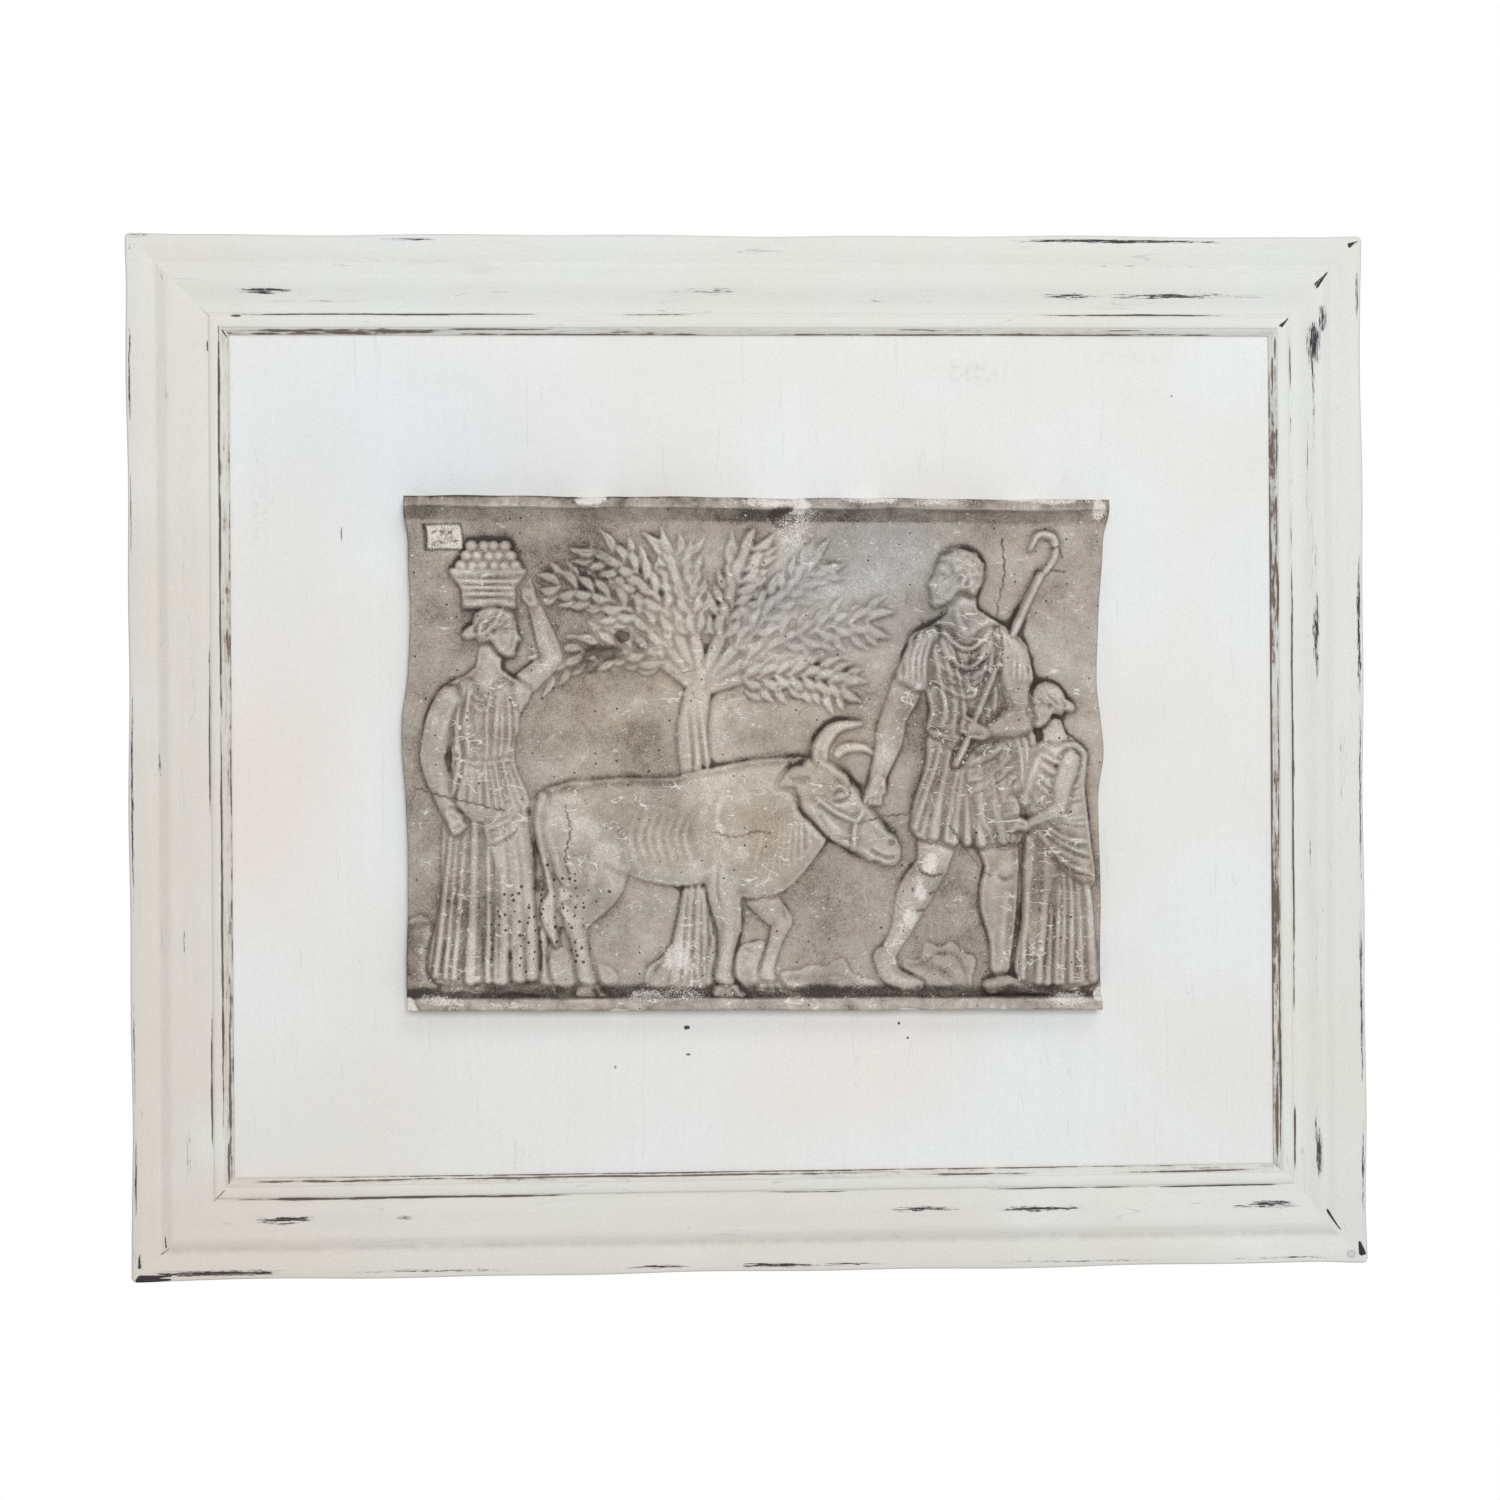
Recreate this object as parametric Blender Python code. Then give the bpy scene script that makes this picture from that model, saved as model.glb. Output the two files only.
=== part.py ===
# A plaster relief plaque on a painted panel, in a moulded and mitred picture frame.
# Metres. +Z is up, the relief faces -Y, and the wall is the plane Y = 0.
# The origin is the middle of the top rail's back, where the frame hangs.
import math

import bmesh
import bpy
import numpy as np
from mathutils import Vector

# The frame: its outer size, and the parts of its rails' section from the outer edge inwards
frame_width = 0.620
frame_height = 0.520
edge_rounding = 0.0015
band_width = 0.0145
band_rise = 0.0018
hump_width = 0.0070
hump_rise = 0.0042
crease_rise = 0.0022
fall_width = 0.0175
groove_width = 0.0015
groove_stand = 0.0037
bead_width = 0.0060
bead_rise = 0.0013
sight_width = 0.0035
sight_sweep = 1.4  # how hollow the slope down to the panel is
lip_flat = 0.0006

# The panel in the frame's rabbet
rabbet_width = 0.0080
panel_thickness = 0.0080
panel_recess = 0.0080
fit_gap = 0.0003

# What follows from those: where each part of the section lies, in from the edge and out from the wall
crease_at = band_width
peak_at = crease_at + hump_width
fall_at = peak_at + fall_width
bead_at = fall_at + groove_width
sight_at = bead_at + bead_width
rail_width = sight_at + sight_width
panel_front = panel_recess + panel_thickness
lip_depth = panel_front + fit_gap
groove_depth = lip_depth + groove_stand
hump_depth = groove_depth + hump_rise
crease_depth = groove_depth + crease_rise
band_depth = crease_depth + band_rise

# The plaster plaque: a slab with a ledge below, a cove and fillet above, and the carved field between
plaque_width = 0.3533
plaque_height = 0.2558
slab_thickness = 0.0100
ledge_height = 0.0060
ledge_proud = 0.0060
fillet_height = 0.0063
fillet_proud = 0.0055
cove_height = 0.0058
cove_proud = 0.0036
relief_proud = 0.0100
rim_rounding = 0.0012

# The sheet that the carving is laid out on, which the plaque's field stretches to its own size
sheet_width = 0.350
sheet_height = 0.2362
sheet_proud = 0.0120
sheet_step = 0.0007
surface_step = 0.0011
plaque_triangles = 8500

# The cast is fixed a little right of the middle and leans a little clockwise
plaque_shift = 0.0015
plaque_lean = math.radians(0.5)

# Where each figure stands from the sheet's left edge, and how tall it is, the ox at its withers
tree_at = 0.146
ox_at = 0.138
ox_size = 0.114
woman_at = 0.040
woman_size = 0.188
herdsman_at = 0.282
herdsman_size = 0.220
girl_at = 0.326
girl_size = 0.152
foot_line = 0.002

# How far the cast's two sides stand in from its full width, at shares of its height
left_wander = [
    (0.0, 0.0036), (0.08, 0.0029), (0.15, 0.0033), (0.29, 0.0033), (0.36, 0.0028), (0.43, 0.0018),
    (0.50, 0.0003), (0.57, 0.0002), (0.64, 0.0027), (0.71, 0.0037), (0.78, 0.0041), (0.85, 0.0032),
    (0.92, 0.0027), (0.955, 0.0010), (1.0, 0.0012)
]
right_wander = [
    (0.0, 0.0030), (0.08, 0.0035), (0.22, 0.0031), (0.36, 0.0042), (0.43, 0.0043), (0.50, 0.0018),
    (0.57, 0.0034), (0.64, 0.0054), (0.72, 0.0050), (0.80, 0.0042), (0.87, 0.0029), (0.93, 0.0020),
    (0.965, 0.0), (1.0, 0.0003)
]

# Breaks along the rim: places as shares of the width and height, then half sizes and depth
chips = [
    (0.268, 1.0, 0.0085, 0.0030, 0.0022), (0.515, 1.0, 0.0160, 0.0024, 0.0014),
    (0.560, 0.985, 0.0060, 0.0050, 0.0020), (0.655, 1.0, 0.0110, 0.0020, 0.0014),
    (0.880, 1.0, 0.0140, 0.0018, 0.0012), (0.985, 0.985, 0.0050, 0.0060, 0.0016),
    (0.004, 0.012, 0.0050, 0.0050, 0.0022), (0.996, 0.030, 0.0040, 0.0050, 0.0020),
    (0.300, 0.0, 0.0060, 0.0020, 0.0012), (0.720, 0.0, 0.0080, 0.0018, 0.0012)
]

paint_color = (0.76, 0.76, 0.72)
panel_color = (0.80, 0.82, 0.82)
plaster_color = (0.36, 0.31, 0.26)


def curve(points, per=8, closed=False):
    """A smooth line through the points (Catmull-Rom)."""
    pts = np.asarray(points, float)
    if len(pts) < 3 and not closed:
        t = np.linspace(0, 1, per + 1)[:, None]
        return pts[0] * (1 - t) + pts[-1] * t
    if closed:
        ring = np.vstack([pts[-1], pts, pts[:2]])
    else:
        ring = np.vstack([2 * pts[0] - pts[1], pts, 2 * pts[-1] - pts[-2]])
    t = np.arange(per)[:, None] / per
    out = []
    for a, b, c, d in zip(ring, ring[1:], ring[2:], ring[3:]):
        bend = (2 * a - 5 * b + 4 * c - d) * t**2 + (3 * b - a - 3 * c + d) * t**3
        out.append(0.5 * (2 * b + (c - a) * t + bend))
    out = np.vstack(out)
    return out if closed else np.vstack([out, pts[-1]])


def along(values, count):
    """Values given at even stations, read smoothly at count stations."""
    values = np.atleast_1d(np.asarray(values, float))
    if len(values) == 1:
        return np.full(count, values[0])
    line = curve(np.column_stack([values, values]), 8)[:, 0] if len(values) > 2 else values
    return np.interp(np.linspace(0, 1, count), np.linspace(0, 1, len(line)), line)


class Clay:
    """One height for each point of a grid, all in metres."""

    def __init__(self, xs, zs, start=-0.02):
        self.xs, self.zs = xs, zs
        self.step = xs[1] - xs[0]
        self.h = np.full((len(zs), len(xs)), float(start))

    def patch(self, low, high):
        """The part of the grid inside a box, as two slices and the X and Z of its points."""
        i0, i1 = np.searchsorted(self.xs, [low[0], high[0]])
        j0, j1 = np.searchsorted(self.zs, [low[1], high[1]])
        part = slice(j0, j1), slice(i0, i1)
        X, Z = np.meshgrid(self.xs[part[1]], self.zs[part[0]])
        return part, X, Z

    def roll(self, path, radii, rise, flat=0.5, draft=2.5):
        """A rounded roll of clay along a smooth path."""
        line = curve(path, 8)
        count = len(line)
        rr, up = along(radii, count), along(rise, count)
        for a, b, ra, rb, ua, ub in zip(line, line[1:], rr, rr[1:], up, up[1:]):
            reach = max(ra, rb) + 2 * self.step
            part, X, Z = self.patch(np.minimum(a, b) - reach, np.maximum(a, b) + reach)
            e = b - a
            t = np.clip(((X - a[0]) * e[0] + (Z - a[1]) * e[1]) / max(e @ e, 1e-18), 0, 1)
            d2 = (X - a[0] - t * e[0]) ** 2 + (Z - a[1] - t * e[1]) ** 2
            r = ra + (rb - ra) * t
            top = ua + (ub - ua) * t + flat * np.sqrt(np.maximum(r * r - d2, 0))
            self.h[part] = np.maximum(self.h[part], top - draft * np.maximum(np.sqrt(d2) - r, 0))

    def gap_to(self, line, reach):
        """Distance to a line, and the share of its length at the nearest point, near it."""
        low, high = line.min(0) - reach, line.max(0) + reach
        part, X, Z = self.patch(low, high)
        best = np.full(X.shape, 1e9)
        share = np.zeros(X.shape)
        n = len(line) - 1
        for i, (a, b) in enumerate(zip(line, line[1:])):
            e = b - a
            ee = max(e @ e, 1e-18)
            t = np.clip(((X - a[0]) * e[0] + (Z - a[1]) * e[1]) / ee, 0, 1)
            d = (X - a[0] - t * e[0]) ** 2 + (Z - a[1] - t * e[1]) ** 2
            near = d < best
            best[near] = d[near]
            share[near] = (i + t[near]) / n
        return part, np.sqrt(best), share

    def pat(self, outline, rise, edge, crown, draft=2.5, smooth=6):
        """A flat pat of clay with a rounded edge."""
        ring = curve(outline, smooth, closed=True)
        ring = np.vstack([ring, ring[:1]])
        part, d, _ = self.gap_to(ring, 3 * self.step)
        X, Z = np.meshgrid(self.xs[part[1]], self.zs[part[0]])
        inside = within(ring, X, Z)
        t = np.clip(d / edge, 0, 1)
        top = rise + crown * np.sqrt(1 - (1 - t) ** 2)
        self.h[part] = np.maximum(self.h[part], np.where(inside, top, rise - draft * d))

    def score(self, path, width, depth, fade=0.5, per=6):
        """A cut line (depth above 0) or a thin ridge (depth under 0), fading at its ends."""
        line = curve(path, per)
        part, d, t = self.gap_to(line, 3 * width)
        ends = np.clip(np.sin(np.pi * np.clip(t, 0.001, 0.999)), 0, 1) ** fade if fade else 1.0
        cut = depth * ends * np.exp(-((d / width) ** 2))
        here = self.h[part]
        self.h[part] = np.where(here > -0.01, here - cut, here)

    def dab(self, center, radii, height, turn=0.0):
        """A soft bump (height above 0) or hollow (under 0)."""
        r = max(radii) * 2.6
        part, X, Z = self.patch((center[0] - r, center[1] - r), (center[0] + r, center[1] + r))
        c, s = math.cos(turn), math.sin(turn)
        u = ((X - center[0]) * c + (Z - center[1]) * s) / radii[0]
        v = (-(X - center[0]) * s + (Z - center[1]) * c) / radii[1]
        here = self.h[part]
        self.h[part] = np.where(here > -0.01, here + height * np.exp(-(u * u + v * v)), here)

    def swell(self, outline, height, edge, smooth=6):
        """Raises (or lowers) what is inside an outline, softly over the width of edge."""
        ring = curve(outline, smooth, closed=True)
        ring = np.vstack([ring, ring[:1]])
        part, d, _ = self.gap_to(ring, 0.0)
        X, Z = np.meshgrid(self.xs[part[1]], self.zs[part[0]])
        t = np.clip(np.where(within(ring, X, Z), d, 0) / edge, 0, 1)
        here = self.h[part]
        self.h[part] = np.where(here > -0.01, here + height * t * t * (3 - 2 * t), here)

    def melt(self, reach, share=1.0):
        """Runs the lumps of clay together."""
        inside = self.h > -0.001
        weight = blur(inside.astype(float), reach, self.step)
        soft = blur(np.where(inside, self.h, 0), reach, self.step) / np.maximum(weight, 1e-6)
        self.h = np.where(inside, self.h * (1 - share) + soft * share, self.h)


def within(ring, X, Z):
    """Which points lie inside a closed line."""
    inside = np.zeros(X.shape, bool)
    for (ax, az), (bx, bz) in zip(ring, ring[1:]):
        if az != bz:
            crosses = (az > Z) != (bz > Z)
            inside ^= crosses & (X < (bx - ax) * (Z - az) / (bz - az) + ax)
    return inside


def blur(field, reach, step):
    """A soft mean over about reach, as three passes of a box."""
    half = int(round(reach / step))
    if half < 1:
        return field
    for axis in (0, 1):
        for _ in range(3):
            pad = [(0, 0), (0, 0)]
            pad[axis] = (half + 1, half)
            total = np.cumsum(np.pad(field, pad, mode="edge"), axis=axis)
            n = field.shape[axis]
            high = np.take(total, np.arange(2 * half + 1, 2 * half + 1 + n), axis=axis)
            low = np.take(total, np.arange(0, n), axis=axis)
            field = (high - low) / (2 * half + 1)
    return field


def lay(ground, clay, lift=0.6, trench=0.0012, reach=0.0012):
    """Lays modelled clay on what is there already, with a soft hollow round it."""
    step = clay.step
    solid = (clay.h > 0).astype(float)
    close = np.clip(2 * blur(solid, 0.8 * reach, step), 0, 1)
    wide = np.clip(2 * blur(solid, 2.4 * reach, step), 0, 1)
    base = blur(np.maximum(ground.h, 0), 0.005, step)
    under = ground.h - trench * (0.55 * close + 0.35 * wide ** 2) * smooth_step(ground.h, 0.0, 0.0012)
    ground.h = np.maximum(under, clay.h + lift * base)


def jitter(i, seed=0.0):
    """An even, repeatable scatter from -1 to 1."""
    return 2 * ((math.sin(i * 12.9898 + seed * 78.233) * 43758.5453) % 1.0) - 1


class Stand:
    """Turns a figure's own shares of height into places on the relief."""

    def __init__(self, x, z, size, facing=1, tilt=0.0):
        self.x, self.z, self.size, self.facing = x, z, size, facing
        self.c, self.s = math.cos(tilt), math.sin(tilt)

    def at(self, *points):
        out = []
        for px, pz in points:
            across = self.facing * (px * self.c - pz * self.s)
            up = px * self.s + pz * self.c
            out.append((self.x + self.size * across, self.z + self.size * up))
        return out if len(out) > 1 else out[0]


def limb(clay, st, points, radii, rise, flat=0.5):
    """A roll of clay whose places and radii are shares of the figure's height."""
    clay.roll(st.at(*points), [r * st.size for r in radii], rise, flat)


def between(a, b, share):
    """The point a share of the way from a to b."""
    return (a[0] + (b[0] - a[0]) * share, a[1] + (b[1] - a[1]) * share)


def arm(clay, st, shoulder, elbow, wrist, rise, thick=1.0):
    """Upper arm and forearm, with the swell of their muscles."""
    limb(
        clay, st, [shoulder, between(shoulder, elbow, 0.28), between(shoulder, elbow, 0.62), elbow],
        [0.034 * thick, 0.0365 * thick, 0.0325 * thick, 0.026 * thick], rise, 0.46
    )
    limb(
        clay, st, [elbow, between(elbow, wrist, 0.28), between(elbow, wrist, 0.65), wrist],
        [0.0265 * thick, 0.0285 * thick, 0.021 * thick, 0.0150 * thick], rise + 0.0002, 0.48
    )


def leg(clay, st, hip, knee, ankle, rise, back, thick=1.0):
    """Thigh, knee and calf. The calf swells towards back, -1 or 1."""
    limb(
        clay, st, [hip, between(hip, knee, 0.45), between(hip, knee, 0.8), knee],
        [0.064 * thick, 0.056 * thick, 0.042 * thick, 0.0355 * thick], rise, 0.42
    )
    calf = between(knee, ankle, 0.34)
    limb(
        clay, st, [knee, (calf[0] + back * 0.010, calf[1]), between(knee, ankle, 0.72), ankle],
        [0.0345 * thick, 0.0395 * thick, 0.024 * thick, 0.0180 * thick], rise, 0.46
    )


def knee_lines(clay, st, knee):
    """A kneecap, and the creases under and over it."""
    size = st.size
    x, z = knee
    clay.dab(st.at((x + 0.004, z + 0.004)), (0.020 * size, 0.022 * size), 0.0009)
    clay.score(
        st.at((x - 0.020, z - 0.020), (x, z - 0.030), (x + 0.020, z - 0.020)), 0.006 * size, 0.0005
    )
    clay.score(
        st.at((x - 0.026, z + 0.032), (x, z + 0.040), (x + 0.024, z + 0.030)), 0.007 * size, 0.0003
    )


def hand(clay, st, wrist, way, size, rise, spread=0.25, grip=False):
    """A palm, four fingers and a thumb. way is the angle that the hand points along."""
    dx, dz = math.cos(way), math.sin(way)
    nx, nz = -dz, dx
    px, pz = wrist[0] + dx * size * 0.4, wrist[1] + dz * size * 0.4
    limb(clay, st, [wrist, (px, pz)], [size * 0.20, size * 0.25], rise, 0.5)
    for i in range(4):
        off = (i - 1.5) * 0.135 * size
        a = way + (i - 1.5) * spread * 0.3
        length = size * (0.42 if grip else 0.55) * (1 - 0.08 * abs(i - 1.2))
        bx, bz = px + nx * off, pz + nz * off
        ex, ez = bx + math.cos(a) * length, bz + math.sin(a) * length
        limb(clay, st, [(bx, bz), (ex, ez)], [size * 0.078, size * 0.06], rise + 0.0002, 0.7)
    tx, tz = wrist[0] + nx * size * 0.18, wrist[1] + nz * size * 0.18
    limb(
        clay, st,
        [
            (tx, tz),
            (tx + dx * size * 0.38 + nx * 0.12 * size, tz + dz * size * 0.38 + nz * 0.12 * size)
        ],
        [size * 0.085, size * 0.062], rise + 0.0004, 0.7
    )


def foot(clay, st, ankle, length, rise):
    """A foot seen from the side, toes forward."""
    ax, az = ankle

    def p(x, z):
        return (ax + x * length, az + z * length)

    limb(
        clay, st, [p(-0.14, -0.22), p(0.1, -0.17), p(0.42, -0.24), p(0.70, -0.29)],
        [0.13 * length, 0.14 * length, 0.10 * length, 0.065 * length], rise, 0.6
    )
    for i in range(4):
        x = 0.56 + 0.05 * i
        limb(
            clay, st, [p(x, -0.29), p(x + 0.16, -0.315)], [0.045 * length, 0.042 * length],
            rise + 0.0001 * i, 0.7
        )


FACE = [
    (-0.05, 0.50), (0.17, 0.445), (0.30, 0.33), (0.365, 0.19), (0.385, 0.07), (0.425, -0.03),
    (0.480, -0.135), (0.425, -0.185), (0.425, -0.235), (0.395, -0.268), (0.415, -0.30),
    (0.372, -0.345), (0.395, -0.41), (0.33, -0.475), (0.20, -0.46), (0.02, -0.36), (-0.10, -0.22),
    (-0.33, -0.24), (-0.455, 0.02), (-0.41, 0.28), (-0.26, 0.44)
]
HAIR_SHORT = [
    (-0.05, 0.535), (0.16, 0.485), (0.30, 0.37), (0.335, 0.30), (0.22, 0.27), (0.12, 0.20),
    (0.04, 0.06), (-0.02, 0.10), (-0.10, 0.12), (-0.17, 0.02), (-0.20, -0.16), (-0.33, -0.27),
    (-0.42, -0.16), (-0.49, 0.04), (-0.44, 0.30), (-0.28, 0.47)
]
HAIR_LONG = [
    (-0.05, 0.53), (0.16, 0.48), (0.30, 0.36), (0.33, 0.27), (0.20, 0.20), (0.10, 0.08),
    (-0.02, -0.02), (-0.14, -0.08), (-0.24, -0.20), (-0.38, -0.18), (-0.485, 0.02), (-0.44, 0.30),
    (-0.28, 0.465)
]


def head(clay, st, rise, hair="short", seed=0.0):
    """A head in profile. st's size is the head's height and its origin the middle of the head."""
    k = st.size
    clay.pat(st.at(*FACE), rise, 0.13 * k, 0.07 * k, smooth=4)
    dome = Clay(clay.xs, clay.zs)
    limb(dome, st, [(-0.06, 0.10), (0.02, 0.06)], [0.45, 0.42], 0.0, 0.42)
    limb(dome, st, [(0.06, -0.02), (0.17, -0.24)], [0.36, 0.25], 0.0, 0.42)
    dome = blur(np.maximum(dome.h, 0), 0.05 * k, clay.step)
    edge = np.clip((clay.h - rise) / (0.07 * k), 0, 1)
    clay.h = np.where(clay.h > rise, clay.h + np.maximum(dome - 0.07 * k, 0) * edge, clay.h)
    # brow, eye and lids
    clay.dab(st.at((0.275, 0.015)), (0.085 * k, 0.055 * k), -0.045 * k)
    clay.score(st.at((0.385, 0.085), (0.30, 0.105), (0.17, 0.075)), 0.030 * k, -0.022 * k)
    clay.dab(st.at((0.275, 0.005)), (0.045 * k, 0.026 * k), 0.038 * k)
    clay.score(st.at((0.19, -0.005), (0.265, 0.038), (0.335, 0.01)), 0.013 * k, -0.018 * k)
    clay.score(st.at((0.20, -0.012), (0.27, -0.030), (0.33, -0.005)), 0.012 * k, -0.012 * k)
    # nose, mouth, chin and cheek
    clay.dab(st.at((0.40, -0.150)), (0.035 * k, 0.028 * k), 0.022 * k)
    clay.score(st.at((0.36, -0.11), (0.345, -0.165), (0.38, -0.19)), 0.016 * k, 0.014 * k)
    clay.score(st.at((0.41, -0.268), (0.36, -0.266), (0.30, -0.275)), 0.014 * k, 0.024 * k, fade=0.3)
    clay.score(st.at((0.41, -0.235), (0.33, -0.250)), 0.018 * k, -0.010 * k)
    clay.score(st.at((0.40, -0.302), (0.33, -0.298)), 0.018 * k, -0.012 * k)
    clay.dab(st.at((0.35, -0.405)), (0.06 * k, 0.055 * k), 0.020 * k)
    clay.dab(st.at((0.20, -0.12)), (0.10 * k, 0.09 * k), 0.016 * k)
    # hair, then the ear over it
    if hair == "short":
        cap = Clay(clay.xs, clay.zs)
        cap.pat(st.at(*HAIR_SHORT), rise, 0.06 * k, 0.02 * k, smooth=4)
        clay.h = np.maximum(clay.h, cap.h)
        clay.swell(st.at(*HAIR_SHORT), 0.042 * k, 0.04 * k, smooth=4)
        curls(clay, st, seed)
    else:
        cap = Clay(clay.xs, clay.zs)
        cap.pat(st.at(*HAIR_LONG), rise, 0.06 * k, 0.02 * k, smooth=4)
        clay.h = np.maximum(clay.h, cap.h)
        clay.swell(st.at(*HAIR_LONG), 0.035 * k, 0.05 * k, smooth=4)
        combed(clay, st, rise)
    clay.dab(st.at((-0.07, -0.03)), (0.050 * k, 0.080 * k), -0.03 * k)
    clay.score(
        st.at((-0.03, 0.055), (-0.085, 0.075), (-0.13, 0.02), (-0.11, -0.06), (-0.065, -0.115)), 0.022 * k,
        -0.055 * k, fade=0.2
    )


def curls(clay, st, seed):
    """Short curved locks over the skull, in rows round its crown, held by a band."""
    k = st.size
    for r, radius in enumerate((0.12, 0.25, 0.38, 0.49)):
        count = 4 + int(radius * 26)
        for i in range(count):
            a = math.radians((i + 0.5 * (r % 2)) * 360 / count + 8 * jitter(i + 9 * r, seed))
            x, z = -0.06 + radius * math.cos(a), 0.07 + radius * math.sin(a)
            if z < 0.30 - 0.9 * (x + 0.06) * (x < 0.1) and x > -0.16 and z < 0.24:
                continue
            if x > 0.20 and z < 0.27:
                continue
            turn = a + 1.3 + 0.4 * jitter(i + 31 * r, seed)
            p = [
                (x, z), (x + 0.06 * math.cos(turn), z + 0.06 * math.sin(turn)),
                (x + 0.09 * math.cos(turn + 0.8), z + 0.09 * math.sin(turn + 0.8))
            ]
            clay.score(st.at(*p), 0.034 * k, -0.052 * k, fade=0.3, per=3)
            clay.score(
                st.at(*[(q[0] + 0.058 * math.cos(a), q[1] + 0.058 * math.sin(a)) for q in p]), 0.018 * k,
                0.034 * k, fade=0.3, per=3
            )
    clay.score(
        st.at((0.30, 0.33), (0.08, 0.36), (-0.20, 0.24), (-0.44, 0.04)), 0.030 * k, -0.040 * k, fade=0.1
    )


def combed(clay, st, rise):
    """Long hair waved back from the brow to a knot, under a band."""
    k = st.size
    limb(clay, st, [(-0.46, -0.05), (-0.54, -0.10)], [0.125, 0.095], rise + 0.03 * k, 0.62)
    for i in range(10):
        s = i / 9
        wave = 0.02 * math.sin(i * 2.4)
        start = (0.31 - 0.34 * s, 0.30 - 0.27 * s)
        middle = (-0.02 - 0.12 * s, 0.46 - 0.42 * s)
        end = (-0.42, 0.02 - 0.10 * s)
        p = [
            start,
            ((start[0] + middle[0]) / 2, (start[1] + middle[1]) / 2 + 0.045 * (1 - s) + wave),
            middle,
            (
                (middle[0] + end[0]) / 2 - 0.05 * (1 - s),
                (middle[1] + end[1]) / 2 + 0.09 * (1 - s) - wave
            ),
            end
        ]
        clay.score(st.at(*p), 0.014 * k, 0.024 * k, fade=0.2)
    for i in range(4):
        z = -0.01 - 0.045 * i
        clay.score(
            st.at((-0.38, z), (-0.46, z + 0.01), (-0.60, z - 0.02)), 0.011 * k, 0.016 * k, fade=0.3
        )
    clay.score(
        st.at((0.13, 0.50), (0.05, 0.30), (-0.04, 0.10), (-0.20, -0.06), (-0.36, -0.12)), 0.026 * k,
        -0.035 * k, fade=0.1
    )


def drop_lines(st, rows, count, seed, spread=0.5):
    """Lines down a garment, evenly scattered over its rows of points."""
    lines = [curve(st.at(*row), 10) for row in rows]
    for i in range(count):
        s = (i + 0.5 + 0.3 * jitter(i, seed)) / count
        p = []
        for j, line in enumerate(lines):
            u = min(max(s + 0.25 * spread / count * jitter(i * 3 + j, seed + 1), 0.01), 0.99)
            q = u * (len(line) - 1)
            a = int(q)
            b = min(a + 1, len(line) - 1)
            p.append(tuple(line[a] + (line[b] - line[a]) * (q - a)))
        yield p, i


def hang(clay, st, rows, count, radii, rise, flat=0.8, seed=0.0, spread=0.9):
    """Pipes of cloth that hang through rows of points across the garment."""
    for p, i in drop_lines(st, rows, count, seed, spread):
        wide = 1 + 0.38 * jitter(i, seed + 2)
        clay.roll(p, [r * st.size * wide for r in radii], rise + 0.0005 * jitter(i, seed + 6), flat)


def pleats(clay, st, rows, count, width, depth, seed=0.0, fade=0.35):
    """Folds pressed into cloth that lies over a body: a ridge and a cut for each."""
    for p, i in drop_lines(st, rows, count, seed, 1.2):
        far = depth * (1 + 0.5 * jitter(i, seed + 3))
        wide = width * st.size * (1 + 0.35 * jitter(i, seed + 4))
        clay.score(p, wide, -far, fade)
        clay.score([(x + st.facing * wide * 1.6, z) for x, z in p], wide * 0.6, far * 0.8, fade)


def swags(clay, st, left, right, count, drop, width, depth, seed=0.0):
    """Folds that hang in curves between two lines of points."""
    a, b = curve(left, 10), curve(right, 10)
    for i in range(count):
        u = (i + 0.5 + 0.25 * jitter(i, seed)) / count
        p, q = a[int(u * (len(a) - 1))], b[int(u * (len(b) - 1))]
        sag = drop * (1 + 0.3 * jitter(i, seed + 1))
        line = [
            tuple(p), (p[0] * 0.72 + q[0] * 0.28, p[1] * 0.72 + q[1] * 0.28 - sag * 0.8),
            (p[0] * 0.4 + q[0] * 0.6, p[1] * 0.4 + q[1] * 0.6 - sag), tuple(q)
        ]
        wide = width * st.size * (1 + 0.3 * jitter(i, seed + 2))
        clay.score(st.at(*line), wide, -depth, fade=0.3)
        clay.score(
            st.at(*[(x, z - wide / st.size * 1.7) for x, z in line]), wide * 0.65, depth * 0.9,
            fade=0.3
        )


def press_leg(clay, st, hip, knee, ankle, rise, thick=1.0):
    """A thigh and knee that show through the cloth over them."""
    form = Clay(clay.xs, clay.zs)
    limb(
        form, st, [hip, between(hip, knee, 0.5), knee],
        [0.066 * thick, 0.062 * thick, 0.050 * thick], rise, 0.42
    )
    limb(
        form, st, [knee, between(knee, ankle, 0.4), ankle],
        [0.050 * thick, 0.044 * thick, 0.030 * thick], rise, 0.38
    )
    form = blur(np.maximum(form.h, 0), 0.0024, clay.step)
    soft = np.clip((form - 0.0006) / 0.0036, 0, 1) ** 1.5
    calm = blur(np.maximum(clay.h, 0), 0.0015, clay.step)
    cloth = np.where(clay.h > 0, clay.h * 0.35 + calm * 0.65, clay.h)
    clay.h = np.where(clay.h > 0, clay.h * (1 - soft) + (cloth * 0.75 + form * 0.5) * soft, clay.h)


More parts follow.
